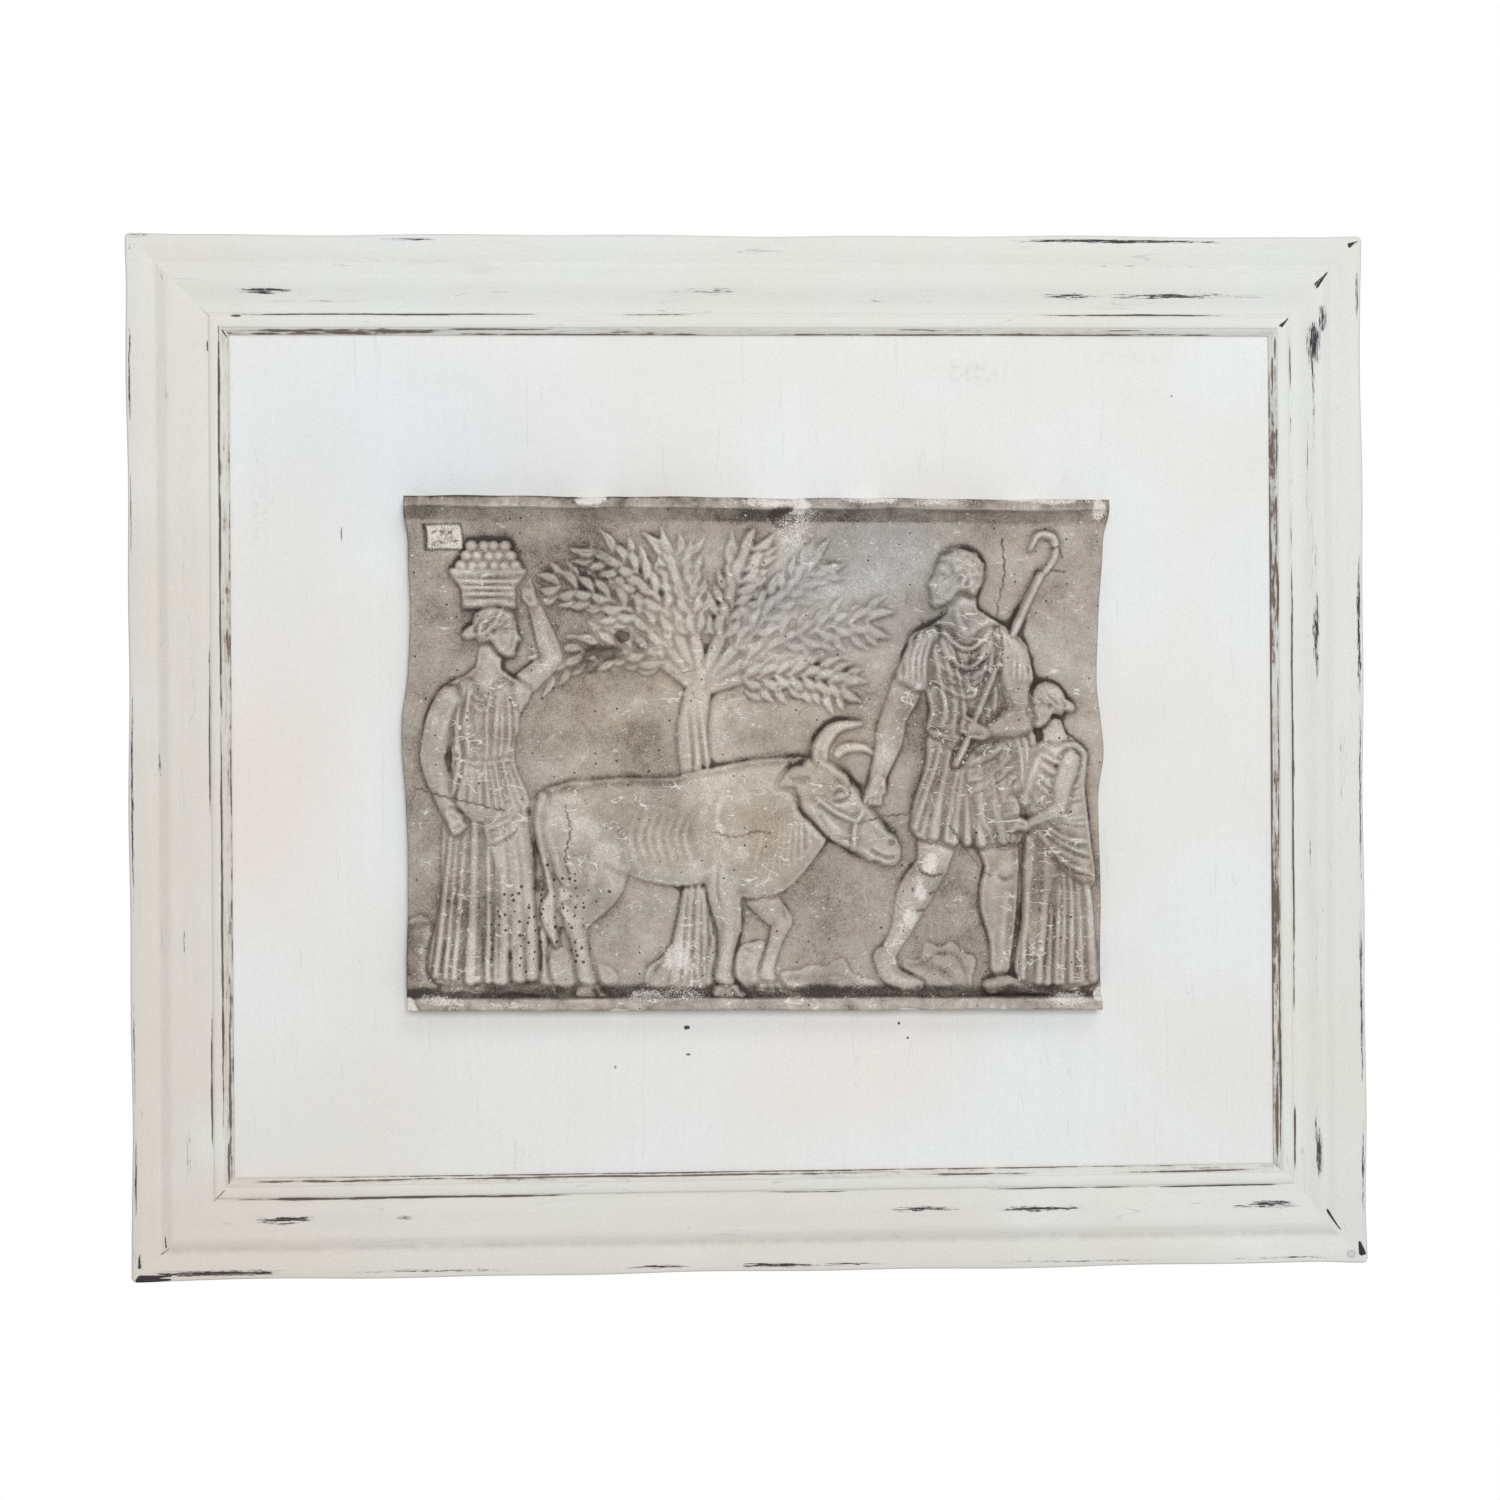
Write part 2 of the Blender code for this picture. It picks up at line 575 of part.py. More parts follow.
def woman_with_basket(ground, x, z, size, xs, zs):
    """A woman facing right, a basket of fruit on her head, in a belted dress with an overfold."""
    st = Stand(x, z, size, 1)
    back = Clay(xs, zs)
    # far arm, raised to the basket
    arm(back, st, (0.075, 0.790), (0.175, 0.880), (0.118, 1.030), 0.0010, 0.88)
    back.melt(0.0012)
    hand(back, st, (0.118, 1.030), 2.0, 0.066, 0.0018)
    lay(ground, back, 0.5)
    body = Clay(xs, zs)
    foot(body, st, (0.050, 0.048), 0.125, 0.0016)
    foot(body, st, (-0.085, 0.048), 0.125, 0.0012)
    # neck, shoulders and breast
    limb(body, st, [(0.008, 0.91), (0.002, 0.86), (0.0, 0.81)], [0.029, 0.029, 0.038], 0.0018, 0.55)
    for side in (-1, 1):
        limb(
            body, st, [(side * 0.088, 0.785), (side * 0.045, 0.812), (side * 0.008, 0.845)],
            [0.031, 0.026, 0.022], 0.0016, 0.42
        )
    limb(body, st, [(-0.05, 0.765), (0.05, 0.765)], [0.055, 0.055], 0.0016, 0.34)
    body.melt(0.0018)
    body.score(st.at((-0.075, 0.808), (-0.03, 0.806), (-0.006, 0.792)), 0.006 * size, -0.0004)
    body.score(st.at((0.075, 0.808), (0.03, 0.806), (0.006, 0.792)), 0.006 * size, -0.0004)
    lay(ground, body, 0.45)
    # skirt: hanging folds, with one leg showing through them
    skirt = Clay(xs, zs)
    skirt.pat(
        st.at(
            (-0.080, 0.62), (-0.118, 0.45), (-0.128, 0.25), (-0.148, 0.045), (0.0, 0.03),
            (0.135, 0.05), (0.125, 0.25), (0.112, 0.45), (0.072, 0.62)
        ),
        0.0012, 0.05 * size, 0.0018
    )
    hang(
        skirt, st,
        [
            [(-0.070, 0.62), (0.066, 0.62)], [(-0.112, 0.35), (0.114, 0.35)],
            [(-0.142, 0.055), (0.0, 0.04), (0.130, 0.055)]
        ],
        11, [0.007, 0.011, 0.0145], 0.0024, 0.85, 3.0
    )
    press_leg(skirt, st, (0.040, 0.52), (0.080, 0.320), (0.060, 0.14), 0.0036)
    swags(
        skirt, st, [(-0.010, 0.49), (0.010, 0.36)], [(0.100, 0.56), (0.122, 0.44)], 3, 0.016,
        0.0055, 0.0006, 5.0
    )
    lay(ground, skirt, 0.4, trench=0.0008)
    # bodice with its overfold
    bodice = Clay(xs, zs)
    bodice.pat(
        st.at(
            (-0.060, 0.818), (-0.076, 0.77), (-0.086, 0.70), (-0.076, 0.61), (-0.108, 0.505),
            (-0.06, 0.478), (0.0, 0.492), (0.06, 0.472), (0.112, 0.505), (0.078, 0.61),
            (0.086, 0.70), (0.078, 0.77), (0.062, 0.818), (0.030, 0.812), (0.0, 0.768),
            (-0.030, 0.812)
        ),
        0.0024, 0.04 * size, 0.0022
    )
    limb(bodice, st, [(-0.040, 0.715), (0.044, 0.712)], [0.050, 0.050], 0.0032, 0.34)
    limb(bodice, st, [(0.0, 0.62), (0.0, 0.54)], [0.072, 0.082], 0.0028, 0.20)
    bodice.melt(0.0022)
    bodice.dab(st.at((-0.042, 0.706)), (0.032 * size, 0.028 * size), 0.0014)
    bodice.dab(st.at((0.046, 0.704)), (0.032 * size, 0.028 * size), 0.0016)
    pleats(
        bodice, st,
        [
            [(-0.062, 0.805), (-0.03, 0.79), (0.03, 0.79), (0.062, 0.805)],
            [(-0.076, 0.70), (0.078, 0.70)], [(-0.066, 0.62), (0.066, 0.62)]
        ],
        12, 0.0060, 0.0006, 7.0, 0.3
    )
    pleats(
        bodice, st,
        [[(-0.068, 0.61), (0.068, 0.61)], [(-0.100, 0.50), (0.0, 0.488), (0.102, 0.50)]], 12,
        0.0070, 0.0008, 8.0, 0.15
    )
    swags(
        bodice, st, [(-0.040, 0.80), (-0.030, 0.75)], [(0.040, 0.80), (0.030, 0.75)], 2, 0.026,
        0.0045, 0.0005, 2.0
    )
    bodice.score(st.at((-0.080, 0.620), (0.0, 0.606), (0.080, 0.620)), 0.014 * size, 0.0012, fade=0)
    bodice.score(
        st.at((-0.080, 0.620), (0.0, 0.606), (0.080, 0.620)), 0.005 * size, -0.0009, fade=0
    )
    lay(ground, bodice, 0.3, trench=0.0007)
    # near arm, drawing a fold of the dress aside
    near = Clay(xs, zs)
    arm(near, st, (-0.092, 0.772), (-0.136, 0.620), (-0.098, 0.475), 0.0034, 0.92)
    near.melt(0.0012)
    hand(near, st, (-0.098, 0.475), -1.0, 0.066, 0.0040, grip=True)
    lay(ground, near, 0.35, trench=0.0008)
    # head and the basket on it
    top = Clay(xs, zs)
    head(top, Stand(*st.at((0.020, 0.955)), size * 0.138, 1, -0.05), 0.0026, "long", 1.0)
    basket(top, st, (0.0, 1.024), 0.165, 0.085)
    lay(ground, top, 0.25)


def basket(clay, st, foot_at, wide, tall):
    """A wicker basket, flaring to its rim, heaped with round fruit."""
    x, z = foot_at
    size = st.size
    for row, many in ((2, 4), (1, 5), (0, 6)):
        for i in range(many):
            fx = x + (i - (many - 1) / 2) * wide * 0.165 + 0.004 * jitter(i + row, 3)
            fz = z + tall + 0.014 + 0.026 * row
            limb(clay, st, [(fx, fz), (fx + 0.002, fz)], [0.017, 0.017], 0.0026 + 0.0004 * (2 - row), 0.8)
    clay.pat(
        st.at(
            (x - wide * 0.36, z), (x - wide * 0.44, z + tall * 0.5), (x - wide * 0.54, z + tall),
            (x + wide * 0.54, z + tall), (x + wide * 0.44, z + tall * 0.5), (x + wide * 0.36, z)
        ),
        0.0026, 0.05 * size, 0.0026, smooth=3
    )
    rows = 5
    many = 10
    for j in range(rows):
        s = (j + 0.5) / rows
        half = wide * (0.36 + 0.18 * s)
        zz = z + tall * s
        for i in range(many):
            c = ((i + 0.5 * (j % 2)) / many * 2 - 1) * half
            clay.dab(st.at((x + c, zz)), (0.0105 * size, 0.0056 * size), 0.0011)
    for s in (0.0, 1.0):
        half = wide * (0.37 + 0.18 * s)
        limb(clay, st, [(x - half, z + tall * s), (x + half, z + tall * s)], [0.0085, 0.0085], 0.0044, 0.8)


def shank(clay, st, knee, middle, fetlock, rise):
    """An ox's cannon bone, fetlock and cloven hoof under its knee or hock."""
    size = st.size
    form = Clay(clay.xs, clay.zs)
    limb(form, st, [knee, middle, fetlock], [0.042, 0.026, 0.029], rise - 0.0004, 0.55)
    fx, fz = fetlock
    limb(form, st, [fetlock, (fx + 0.016, fz - 0.040)], [0.030, 0.028], rise - 0.0004, 0.55)
    form.melt(0.0008)
    hoof = Clay(clay.xs, clay.zs)
    hoof.pat(
        st.at(
            (fx - 0.030, fz - 0.046), (fx + 0.046, fz - 0.040), (fx + 0.074, fz - 0.066), (fx + 0.094, 0.0),
            (fx - 0.040, 0.0)
        ),
        rise, 0.026 * size, 0.0014, smooth=4
    )
    form.h = np.maximum(form.h, hoof.h)
    form.score(st.at((fx - 0.034, fz - 0.044), (fx + 0.054, fz - 0.040)), 0.007 * size, 0.0007, fade=0.2)
    form.score(st.at((fx + 0.034, fz - 0.050), (fx + 0.050, 0.0)), 0.006 * size, 0.0009, fade=0.2)
    form.dab(st.at((fx - 0.026, fz - 0.018)), (0.011 * size, 0.014 * size), 0.0007)
    form.score(st.at(between(knee, middle, 0.5), between(middle, fetlock, 0.8)), 0.007 * size, 0.0003)
    clay.h = np.maximum(clay.h, form.h)


def ox(ground, x, z, size, xs, zs):
    """A haltered ox walking to the right."""
    st = Stand(x, z, size, 1)
    s = size
    far = Clay(xs, zs)
    limb(far, st, [(0.26, 0.60), (0.34, 0.44), (0.435, 0.325)], [0.10, 0.068, 0.045], 0.0008, 0.35)
    limb(far, st, [(-0.42, 0.62), (-0.46, 0.46), (-0.62, 0.31)], [0.15, 0.085, 0.046], 0.0008, 0.3)
    far.melt(0.0014)
    shank(far, st, (0.435, 0.32), (0.405, 0.22), (0.372, 0.105), 0.0010)
    shank(far, st, (-0.62, 0.31), (-0.63, 0.19), (-0.622, 0.088), 0.0010)
    limb(
        far, st, [(0.62, 0.98), (0.70, 1.07), (0.80, 1.08), (0.875, 1.025)], [0.032, 0.027, 0.018, 0.006],
        0.0012, 0.6
    )
    lay(ground, far, 0.4, trench=0.0008)
    clay = Clay(xs, zs)
    # barrel, quarters, shoulder and neck
    limb(
        clay, st, [(-0.50, 0.745), (-0.30, 0.750), (-0.05, 0.715), (0.16, 0.735), (0.29, 0.68)],
        [0.165, 0.190, 0.228, 0.222, 0.165], 0.0016, 0.20
    )
    limb(clay, st, [(-0.575, 0.80), (-0.50, 0.74), (-0.42, 0.62)], [0.085, 0.160, 0.160], 0.0030, 0.20)
    limb(
        clay, st, [(-0.590, 0.830), (-0.46, 0.860), (-0.28, 0.862), (-0.06, 0.868), (0.12, 0.905)],
        [0.052, 0.066, 0.064, 0.066, 0.076], 0.0026, 0.20
    )
    limb(clay, st, [(0.16, 0.90), (0.20, 0.76), (0.20, 0.60)], [0.080, 0.13, 0.12], 0.0034, 0.24)
    limb(clay, st, [(0.14, 0.84), (0.36, 0.88), (0.60, 0.93)], [0.138, 0.142, 0.100], 0.0028, 0.26)
    limb(clay, st, [(0.30, 0.66), (0.46, 0.74), (0.58, 0.82)], [0.165, 0.130, 0.095], 0.0022, 0.20)
    limb(
        clay, st, [(0.31, 0.54), (0.42, 0.55), (0.56, 0.67), (0.63, 0.76)], [0.11, 0.085, 0.055, 0.035],
        0.0018, 0.22
    )
    # thigh and forearm
    limb(clay, st, [(-0.45, 0.66), (-0.36, 0.50), (-0.470, 0.330)], [0.160, 0.094, 0.046], 0.0030, 0.32)
    limb(clay, st, [(0.21, 0.60), (0.185, 0.46), (0.205, 0.305)], [0.11, 0.066, 0.043], 0.0034, 0.36)
    clay.melt(0.0020)
    legs = Clay(xs, zs)
    shank(legs, st, (-0.475, 0.325), (-0.448, 0.20), (-0.425, 0.092), 0.0030)
    shank(legs, st, (0.205, 0.300), (0.192, 0.19), (0.180, 0.092), 0.0034)
    limb(legs, st, [(-0.515, 0.375), (-0.488, 0.330)], [0.024, 0.030], 0.0032, 0.5)
    clay.h = np.maximum(clay.h, legs.h)
    # head
    face = Clay(xs, zs)
    limb(face, st, [(0.60, 0.93), (0.72, 0.83), (0.88, 0.665)], [0.105, 0.086, 0.056], 0.0040, 0.30)
    limb(face, st, [(0.61, 0.86), (0.70, 0.74), (0.84, 0.64)], [0.09, 0.060, 0.045], 0.0034, 0.30)
    limb(face, st, [(0.885, 0.66), (0.91, 0.625)], [0.060, 0.052], 0.0040, 0.34)
    face.melt(0.0010)
    face.dab(st.at((0.705, 0.880)), (0.034 * s, 0.027 * s), -0.0016)
    face.dab(st.at((0.705, 0.875)), (0.020 * s, 0.014 * s), 0.0024)
    face.score(st.at((0.665, 0.895), (0.705, 0.914), (0.742, 0.880)), 0.009 * s, -0.0011)
    face.score(st.at((0.66, 0.850), (0.70, 0.845), (0.735, 0.862)), 0.008 * s, 0.0006)
    face.dab(st.at((0.925, 0.668)), (0.018 * s, 0.012 * s), -0.0016)
    face.score(st.at((0.90, 0.70), (0.94, 0.695), (0.955, 0.66)), 0.009 * s, -0.0007)
    face.score(st.at((0.945, 0.605), (0.89, 0.605), (0.83, 0.635)), 0.009 * s, 0.0015, fade=0.3)
    face.score(st.at((0.60, 0.79), (0.66, 0.71), (0.76, 0.665)), 0.016 * s, 0.0009)
    face.score(st.at((0.74, 0.90), (0.82, 0.80), (0.90, 0.70)), 0.020 * s, -0.0006)
    limb(face, st, [(0.575, 0.945), (0.51, 0.955), (0.44, 0.920)], [0.028, 0.042, 0.011], 0.0052, 0.4)
    face.score(st.at((0.57, 0.946), (0.47, 0.935)), 0.016 * s, 0.0014)
    limb(
        face, st, [(0.605, 1.005), (0.615, 1.09), (0.68, 1.165), (0.79, 1.185)],
        [0.036, 0.033, 0.023, 0.007], 0.0042, 0.6
    )
    for i in range(4):
        face.score(
            st.at((0.575 + 0.004 * i, 1.02 + 0.016 * i), (0.640, 1.015 + 0.014 * i)), 0.006 * s, 0.0005,
            fade=0.2
        )
    for row in range(2):
        for i in range(7):
            p = (0.590 + 0.020 * i - 0.012 * row, 1.030 - 0.013 * i - 0.034 * row)
            q = (p[0] + 0.018, p[1] - 0.028)
            limb(
                face, st, [p, q, (q[0] - 0.006, q[1] - 0.014)], [0.013, 0.012, 0.007],
                0.0058 - 0.0004 * row, 0.8
            )
    # halter
    face.score(st.at((0.80, 0.80), (0.765, 0.74), (0.755, 0.64)), 0.009 * s, -0.0012, fade=0)
    face.score(st.at((0.775, 0.76), (0.68, 0.80), (0.60, 0.86)), 0.008 * s, -0.0011, fade=0.1)
    # muscles and bones under the hide
    clay.dab(st.at((-0.47, 0.865)), (0.050 * s, 0.032 * s), 0.0008)
    clay.dab(st.at((-0.60, 0.82)), (0.030 * s, 0.030 * s), 0.0005)
    clay.dab(st.at((-0.245, 0.75)), (0.055 * s, 0.100 * s), -0.0010)
    clay.score(st.at((-0.40, 0.84), (-0.29, 0.74), (-0.25, 0.60), (-0.22, 0.55)), 0.026 * s, 0.0007)
    clay.score(st.at((0.12, 0.90), (0.045, 0.78), (0.055, 0.64), (0.11, 0.55)), 0.034 * s, 0.0009)
    clay.score(st.at((0.20, 0.90), (0.155, 0.76), (0.21, 0.62)), 0.022 * s, -0.0007)
    clay.score(st.at((0.31, 0.94), (0.335, 0.78), (0.30, 0.62)), 0.030 * s, 0.0006)
    clay.score(st.at((-0.35, 0.58), (-0.26, 0.53), (-0.20, 0.56)), 0.018 * s, 0.0008)
    clay.score(st.at((-0.57, 0.72), (-0.53, 0.58), (-0.49, 0.46)), 0.016 * s, 0.0006)
    clay.score(st.at((-0.44, 0.62), (-0.40, 0.50), (-0.44, 0.38)), 0.022 * s, -0.0004)
    clay.score(st.at((0.155, 0.58), (0.150, 0.46), (0.185, 0.34)), 0.010 * s, 0.0004)
    for i in range(7):
        xx = -0.19 + 0.040 * i
        clay.score(st.at((xx + 0.02, 0.80), (xx - 0.018, 0.69), (xx + 0.012, 0.58)), 0.013 * s, 0.00036)
    for i in range(8):
        u = i / 7
        clay.score(
            st.at(
                (0.36 + 0.17 * u, 0.84 - 0.01 * u), (0.37 + 0.17 * u, 0.70 + 0.03 * u),
                (0.30 + 0.24 * u, 0.47 + 0.16 * u)
            ),
            0.012 * s, 0.00050
        )
    for q in ((-0.462, 0.325), (0.203, 0.305)):
        clay.dab(st.at(q), (0.028 * s, 0.028 * s), 0.0007)
    lay(ground, clay, 0.3)
    tail = Clay(xs, zs)
    limb(
        tail, st, [(-0.605, 0.862), (-0.632, 0.74), (-0.600, 0.56), (-0.580, 0.44)],
        [0.024, 0.017, 0.013, 0.013], 0.0030, 0.7
    )
    limb(tail, st, [(-0.580, 0.44), (-0.598, 0.36), (-0.560, 0.23)], [0.016, 0.032, 0.008], 0.0030, 0.6)
    for i in range(4):
        tail.score(
            st.at((-0.588 + 0.009 * i, 0.41), (-0.612 + 0.018 * i, 0.34), (-0.570 + 0.005 * i, 0.25)),
            0.005 * s, 0.0007
        )
    lay(ground, tail, 0.2, trench=0.0006)
    lay(ground, face, 0.25, trench=0.0012)


def herdsman(ground, x, z, size, xs, zs):
    """A herdsman in a short tunic, who leads the ox and looks back at it."""
    st = Stand(x, z, size, 1)
    # cloak hanging behind the shoulder
    cloak = Clay(xs, zs)
    cloak.pat(
        st.at(
            (0.06, 0.80), (0.118, 0.765), (0.150, 0.62), (0.185, 0.46), (0.170, 0.39), (0.13, 0.41),
            (0.09, 0.36), (0.05, 0.50)
        ),
        0.0008, 0.04 * size, 0.0014
    )
    hang(
        cloak, st,
        [
            [(0.07, 0.78), (0.112, 0.76)], [(0.07, 0.60), (0.142, 0.60)],
            [(0.09, 0.385), (0.14, 0.41), (0.180, 0.43)]
        ],
        5, [0.006, 0.010, 0.012], 0.0018, 0.8, 11.0
    )
    lay(ground, cloak, 0.5, trench=0.0006)
    back = Clay(xs, zs)
    # rear leg, trailing on its toes
    leg(back, st, (-0.035, 0.50), (-0.080, 0.290), (-0.178, 0.098), 0.0012, -1, 0.95)
    limb(back, st, [(-0.190, 0.082), (-0.175, 0.042), (-0.115, 0.018)], [0.023, 0.020, 0.012], 0.0014, 0.5)
    back.melt(0.0012)
    lay(ground, back, 0.5)
    # far arm, reaching back to the halter
    far = Clay(xs, zs)
    arm(far, st, (-0.095, 0.775), (-0.168, 0.622), (-0.206, 0.485), 0.0020, 0.96)
    far.melt(0.0012)
    hand(far, st, (-0.206, 0.485), -1.75, 0.070, 0.0028, grip=True)
    lay(ground, far, 0.4, trench=0.0008)
    body = Clay(xs, zs)
    leg(body, st, (0.042, 0.50), (0.082, 0.290), (0.076, 0.062), 0.0020, -1)
    limb(body, st, [(-0.016, 0.90), (-0.010, 0.85), (-0.004, 0.80)], [0.031, 0.031, 0.042], 0.0022, 0.5)
    for side in (-1, 1):
        limb(
            body, st, [(side * 0.095, 0.785), (side * 0.05, 0.815), (side * 0.008 - 0.006, 0.850)],
            [0.036, 0.029, 0.024], 0.0022, 0.42
        )
    body.melt(0.0018)
    knee_lines(body, st, (0.084, 0.290))
    body.score(st.at((0.088, 0.235), (0.080, 0.16), (0.078, 0.10)), 0.008 * size, -0.0004)
    body.score(st.at((-0.030, 0.875), (-0.016, 0.835), (0.002, 0.805)), 0.007 * size, -0.0006)
    foot(body, st, (0.074, 0.048), 0.145, 0.0020)
    lay(ground, body, 0.5)
    # skirt of the tunic
    skirt = Clay(xs, zs)
    skirt.pat(
        st.at(
            (-0.078, 0.60), (-0.100, 0.50), (-0.128, 0.372), (-0.06, 0.342), (0.0, 0.352), (0.05, 0.335),
            (0.135, 0.356), (0.110, 0.50), (0.078, 0.60)
        ),
        0.0022, 0.05 * size, 0.0022
    )
    hang(
        skirt, st,
        [
            [(-0.066, 0.60), (0.066, 0.60)], [(-0.092, 0.48), (0.098, 0.48)],
            [(-0.122, 0.376), (-0.05, 0.352), (0.05, 0.346), (0.128, 0.366)]
        ],
        11, [0.006, 0.009, 0.0120], 0.0034, 0.75, 5.0
    )
    press_leg(skirt, st, (0.040, 0.53), (0.070, 0.40), (0.074, 0.36), 0.0040, 0.80)
    swags(
        skirt, st, [(-0.010, 0.53), (0.010, 0.44)], [(0.088, 0.585), (0.108, 0.50)], 3, 0.014, 0.0050,
        0.0006, 4.0
    )
    lay(ground, skirt, 0.30, trench=0.0010)
    # upper tunic, bloused over the belt
    chest = Clay(xs, zs)
    chest.pat(
        st.at(
            (-0.098, 0.795), (-0.094, 0.72), (-0.078, 0.645), (-0.088, 0.592), (-0.03, 0.578),
            (0.04, 0.576), (0.090, 0.592), (0.080, 0.645), (0.096, 0.72), (0.100, 0.795), (0.055, 0.826),
            (0.020, 0.805), (-0.006, 0.795), (-0.026, 0.805), (-0.055, 0.826)
        ),
        0.0024, 0.040 * size, 0.0024
    )
    limb(chest, st, [(-0.050, 0.750), (-0.030, 0.735)], [0.054, 0.052], 0.0034, 0.32)
    limb(chest, st, [(0.053, 0.750), (0.036, 0.735)], [0.054, 0.052], 0.0034, 0.32)
    limb(chest, st, [(0.0, 0.67), (0.0, 0.62)], [0.064, 0.072], 0.0032, 0.26)
    chest.melt(0.0028)
    pleats(
        chest, st,
        [
            [(-0.088, 0.79), (-0.05, 0.80), (0.05, 0.80), (0.090, 0.79)], [(-0.080, 0.72), (0.083, 0.72)],
            [(-0.066, 0.65), (0.070, 0.65)], [(-0.078, 0.60), (0.0, 0.588), (0.080, 0.60)]
        ],
        9, 0.0060, 0.0006, 9.0, 0.3
    )
    swags(
        chest, st, [(-0.056, 0.818), (-0.074, 0.70)], [(0.058, 0.818), (0.076, 0.70)], 6, 0.046, 0.0058,
        0.0008, 3.0
    )
    lay(ground, chest, 0.30, trench=0.0009)
    belt = Clay(xs, zs)
    limb(belt, st, [(-0.080, 0.590), (0.0, 0.574), (0.080, 0.590)], [0.006, 0.007, 0.006], 0.0034, 0.7)
    lay(ground, belt, 0.25, trench=0.0005)
    # crook, carried over the shoulder
    crook = Clay(xs, zs)
    limb(
        crook, st, [(-0.032, 0.520), (0.085, 0.765), (0.165, 0.945)], [0.0075, 0.0075, 0.0075], 0.0044, 0.8
    )
    limb(
        crook, st, [(0.160, 0.935), (0.195, 0.985), (0.192, 1.030), (0.158, 1.038), (0.140, 1.008)],
        [0.0080, 0.0085, 0.0085, 0.008, 0.006], 0.0018, 0.9
    )
    lay(ground, crook, 0.42, trench=0.0006)
    # near arm, bent across to the crook, under a short sleeve
    near = Clay(xs, zs)
    arm(near, st, (0.105, 0.768), (0.136, 0.628), (0.034, 0.590), 0.0040, 1.0)
    near.melt(0.0012)
    hand(near, st, (0.034, 0.590), 2.75, 0.066, 0.0050, grip=True)
    lay(ground, near, 0.30, trench=0.0009)
    sleeve = Clay(xs, zs)
    for side in (-1, 1):
        sleeve.pat(
            st.at(
                (side * 0.070, 0.822), (side * 0.118, 0.800), (side * 0.146, 0.735), (side * 0.150, 0.705),
                (side * 0.118, 0.690), (side * 0.088, 0.700), (side * 0.078, 0.76)
            ),
            0.0044, 0.04 * size, 0.0024
        )
    sleeve.melt(0.0015)
    for side in (-1, 1):
        for i in range(5):
            a = 0.072 + 0.014 * i
            sleeve.score(
                st.at((side * a, 0.82 - 0.004 * i), (side * (a + 0.016), 0.76), (side * (a + 0.016), 0.70)),
                0.0045 * size, 0.0007
            )
    lay(ground, sleeve, 0.25, trench=0.0007)
    top = Clay(xs, zs)
    head(top, Stand(*st.at((-0.030, 0.937)), size * 0.132, -1, 0.06), 0.0032, "short", 2.0)
    lay(ground, top, 0.25)


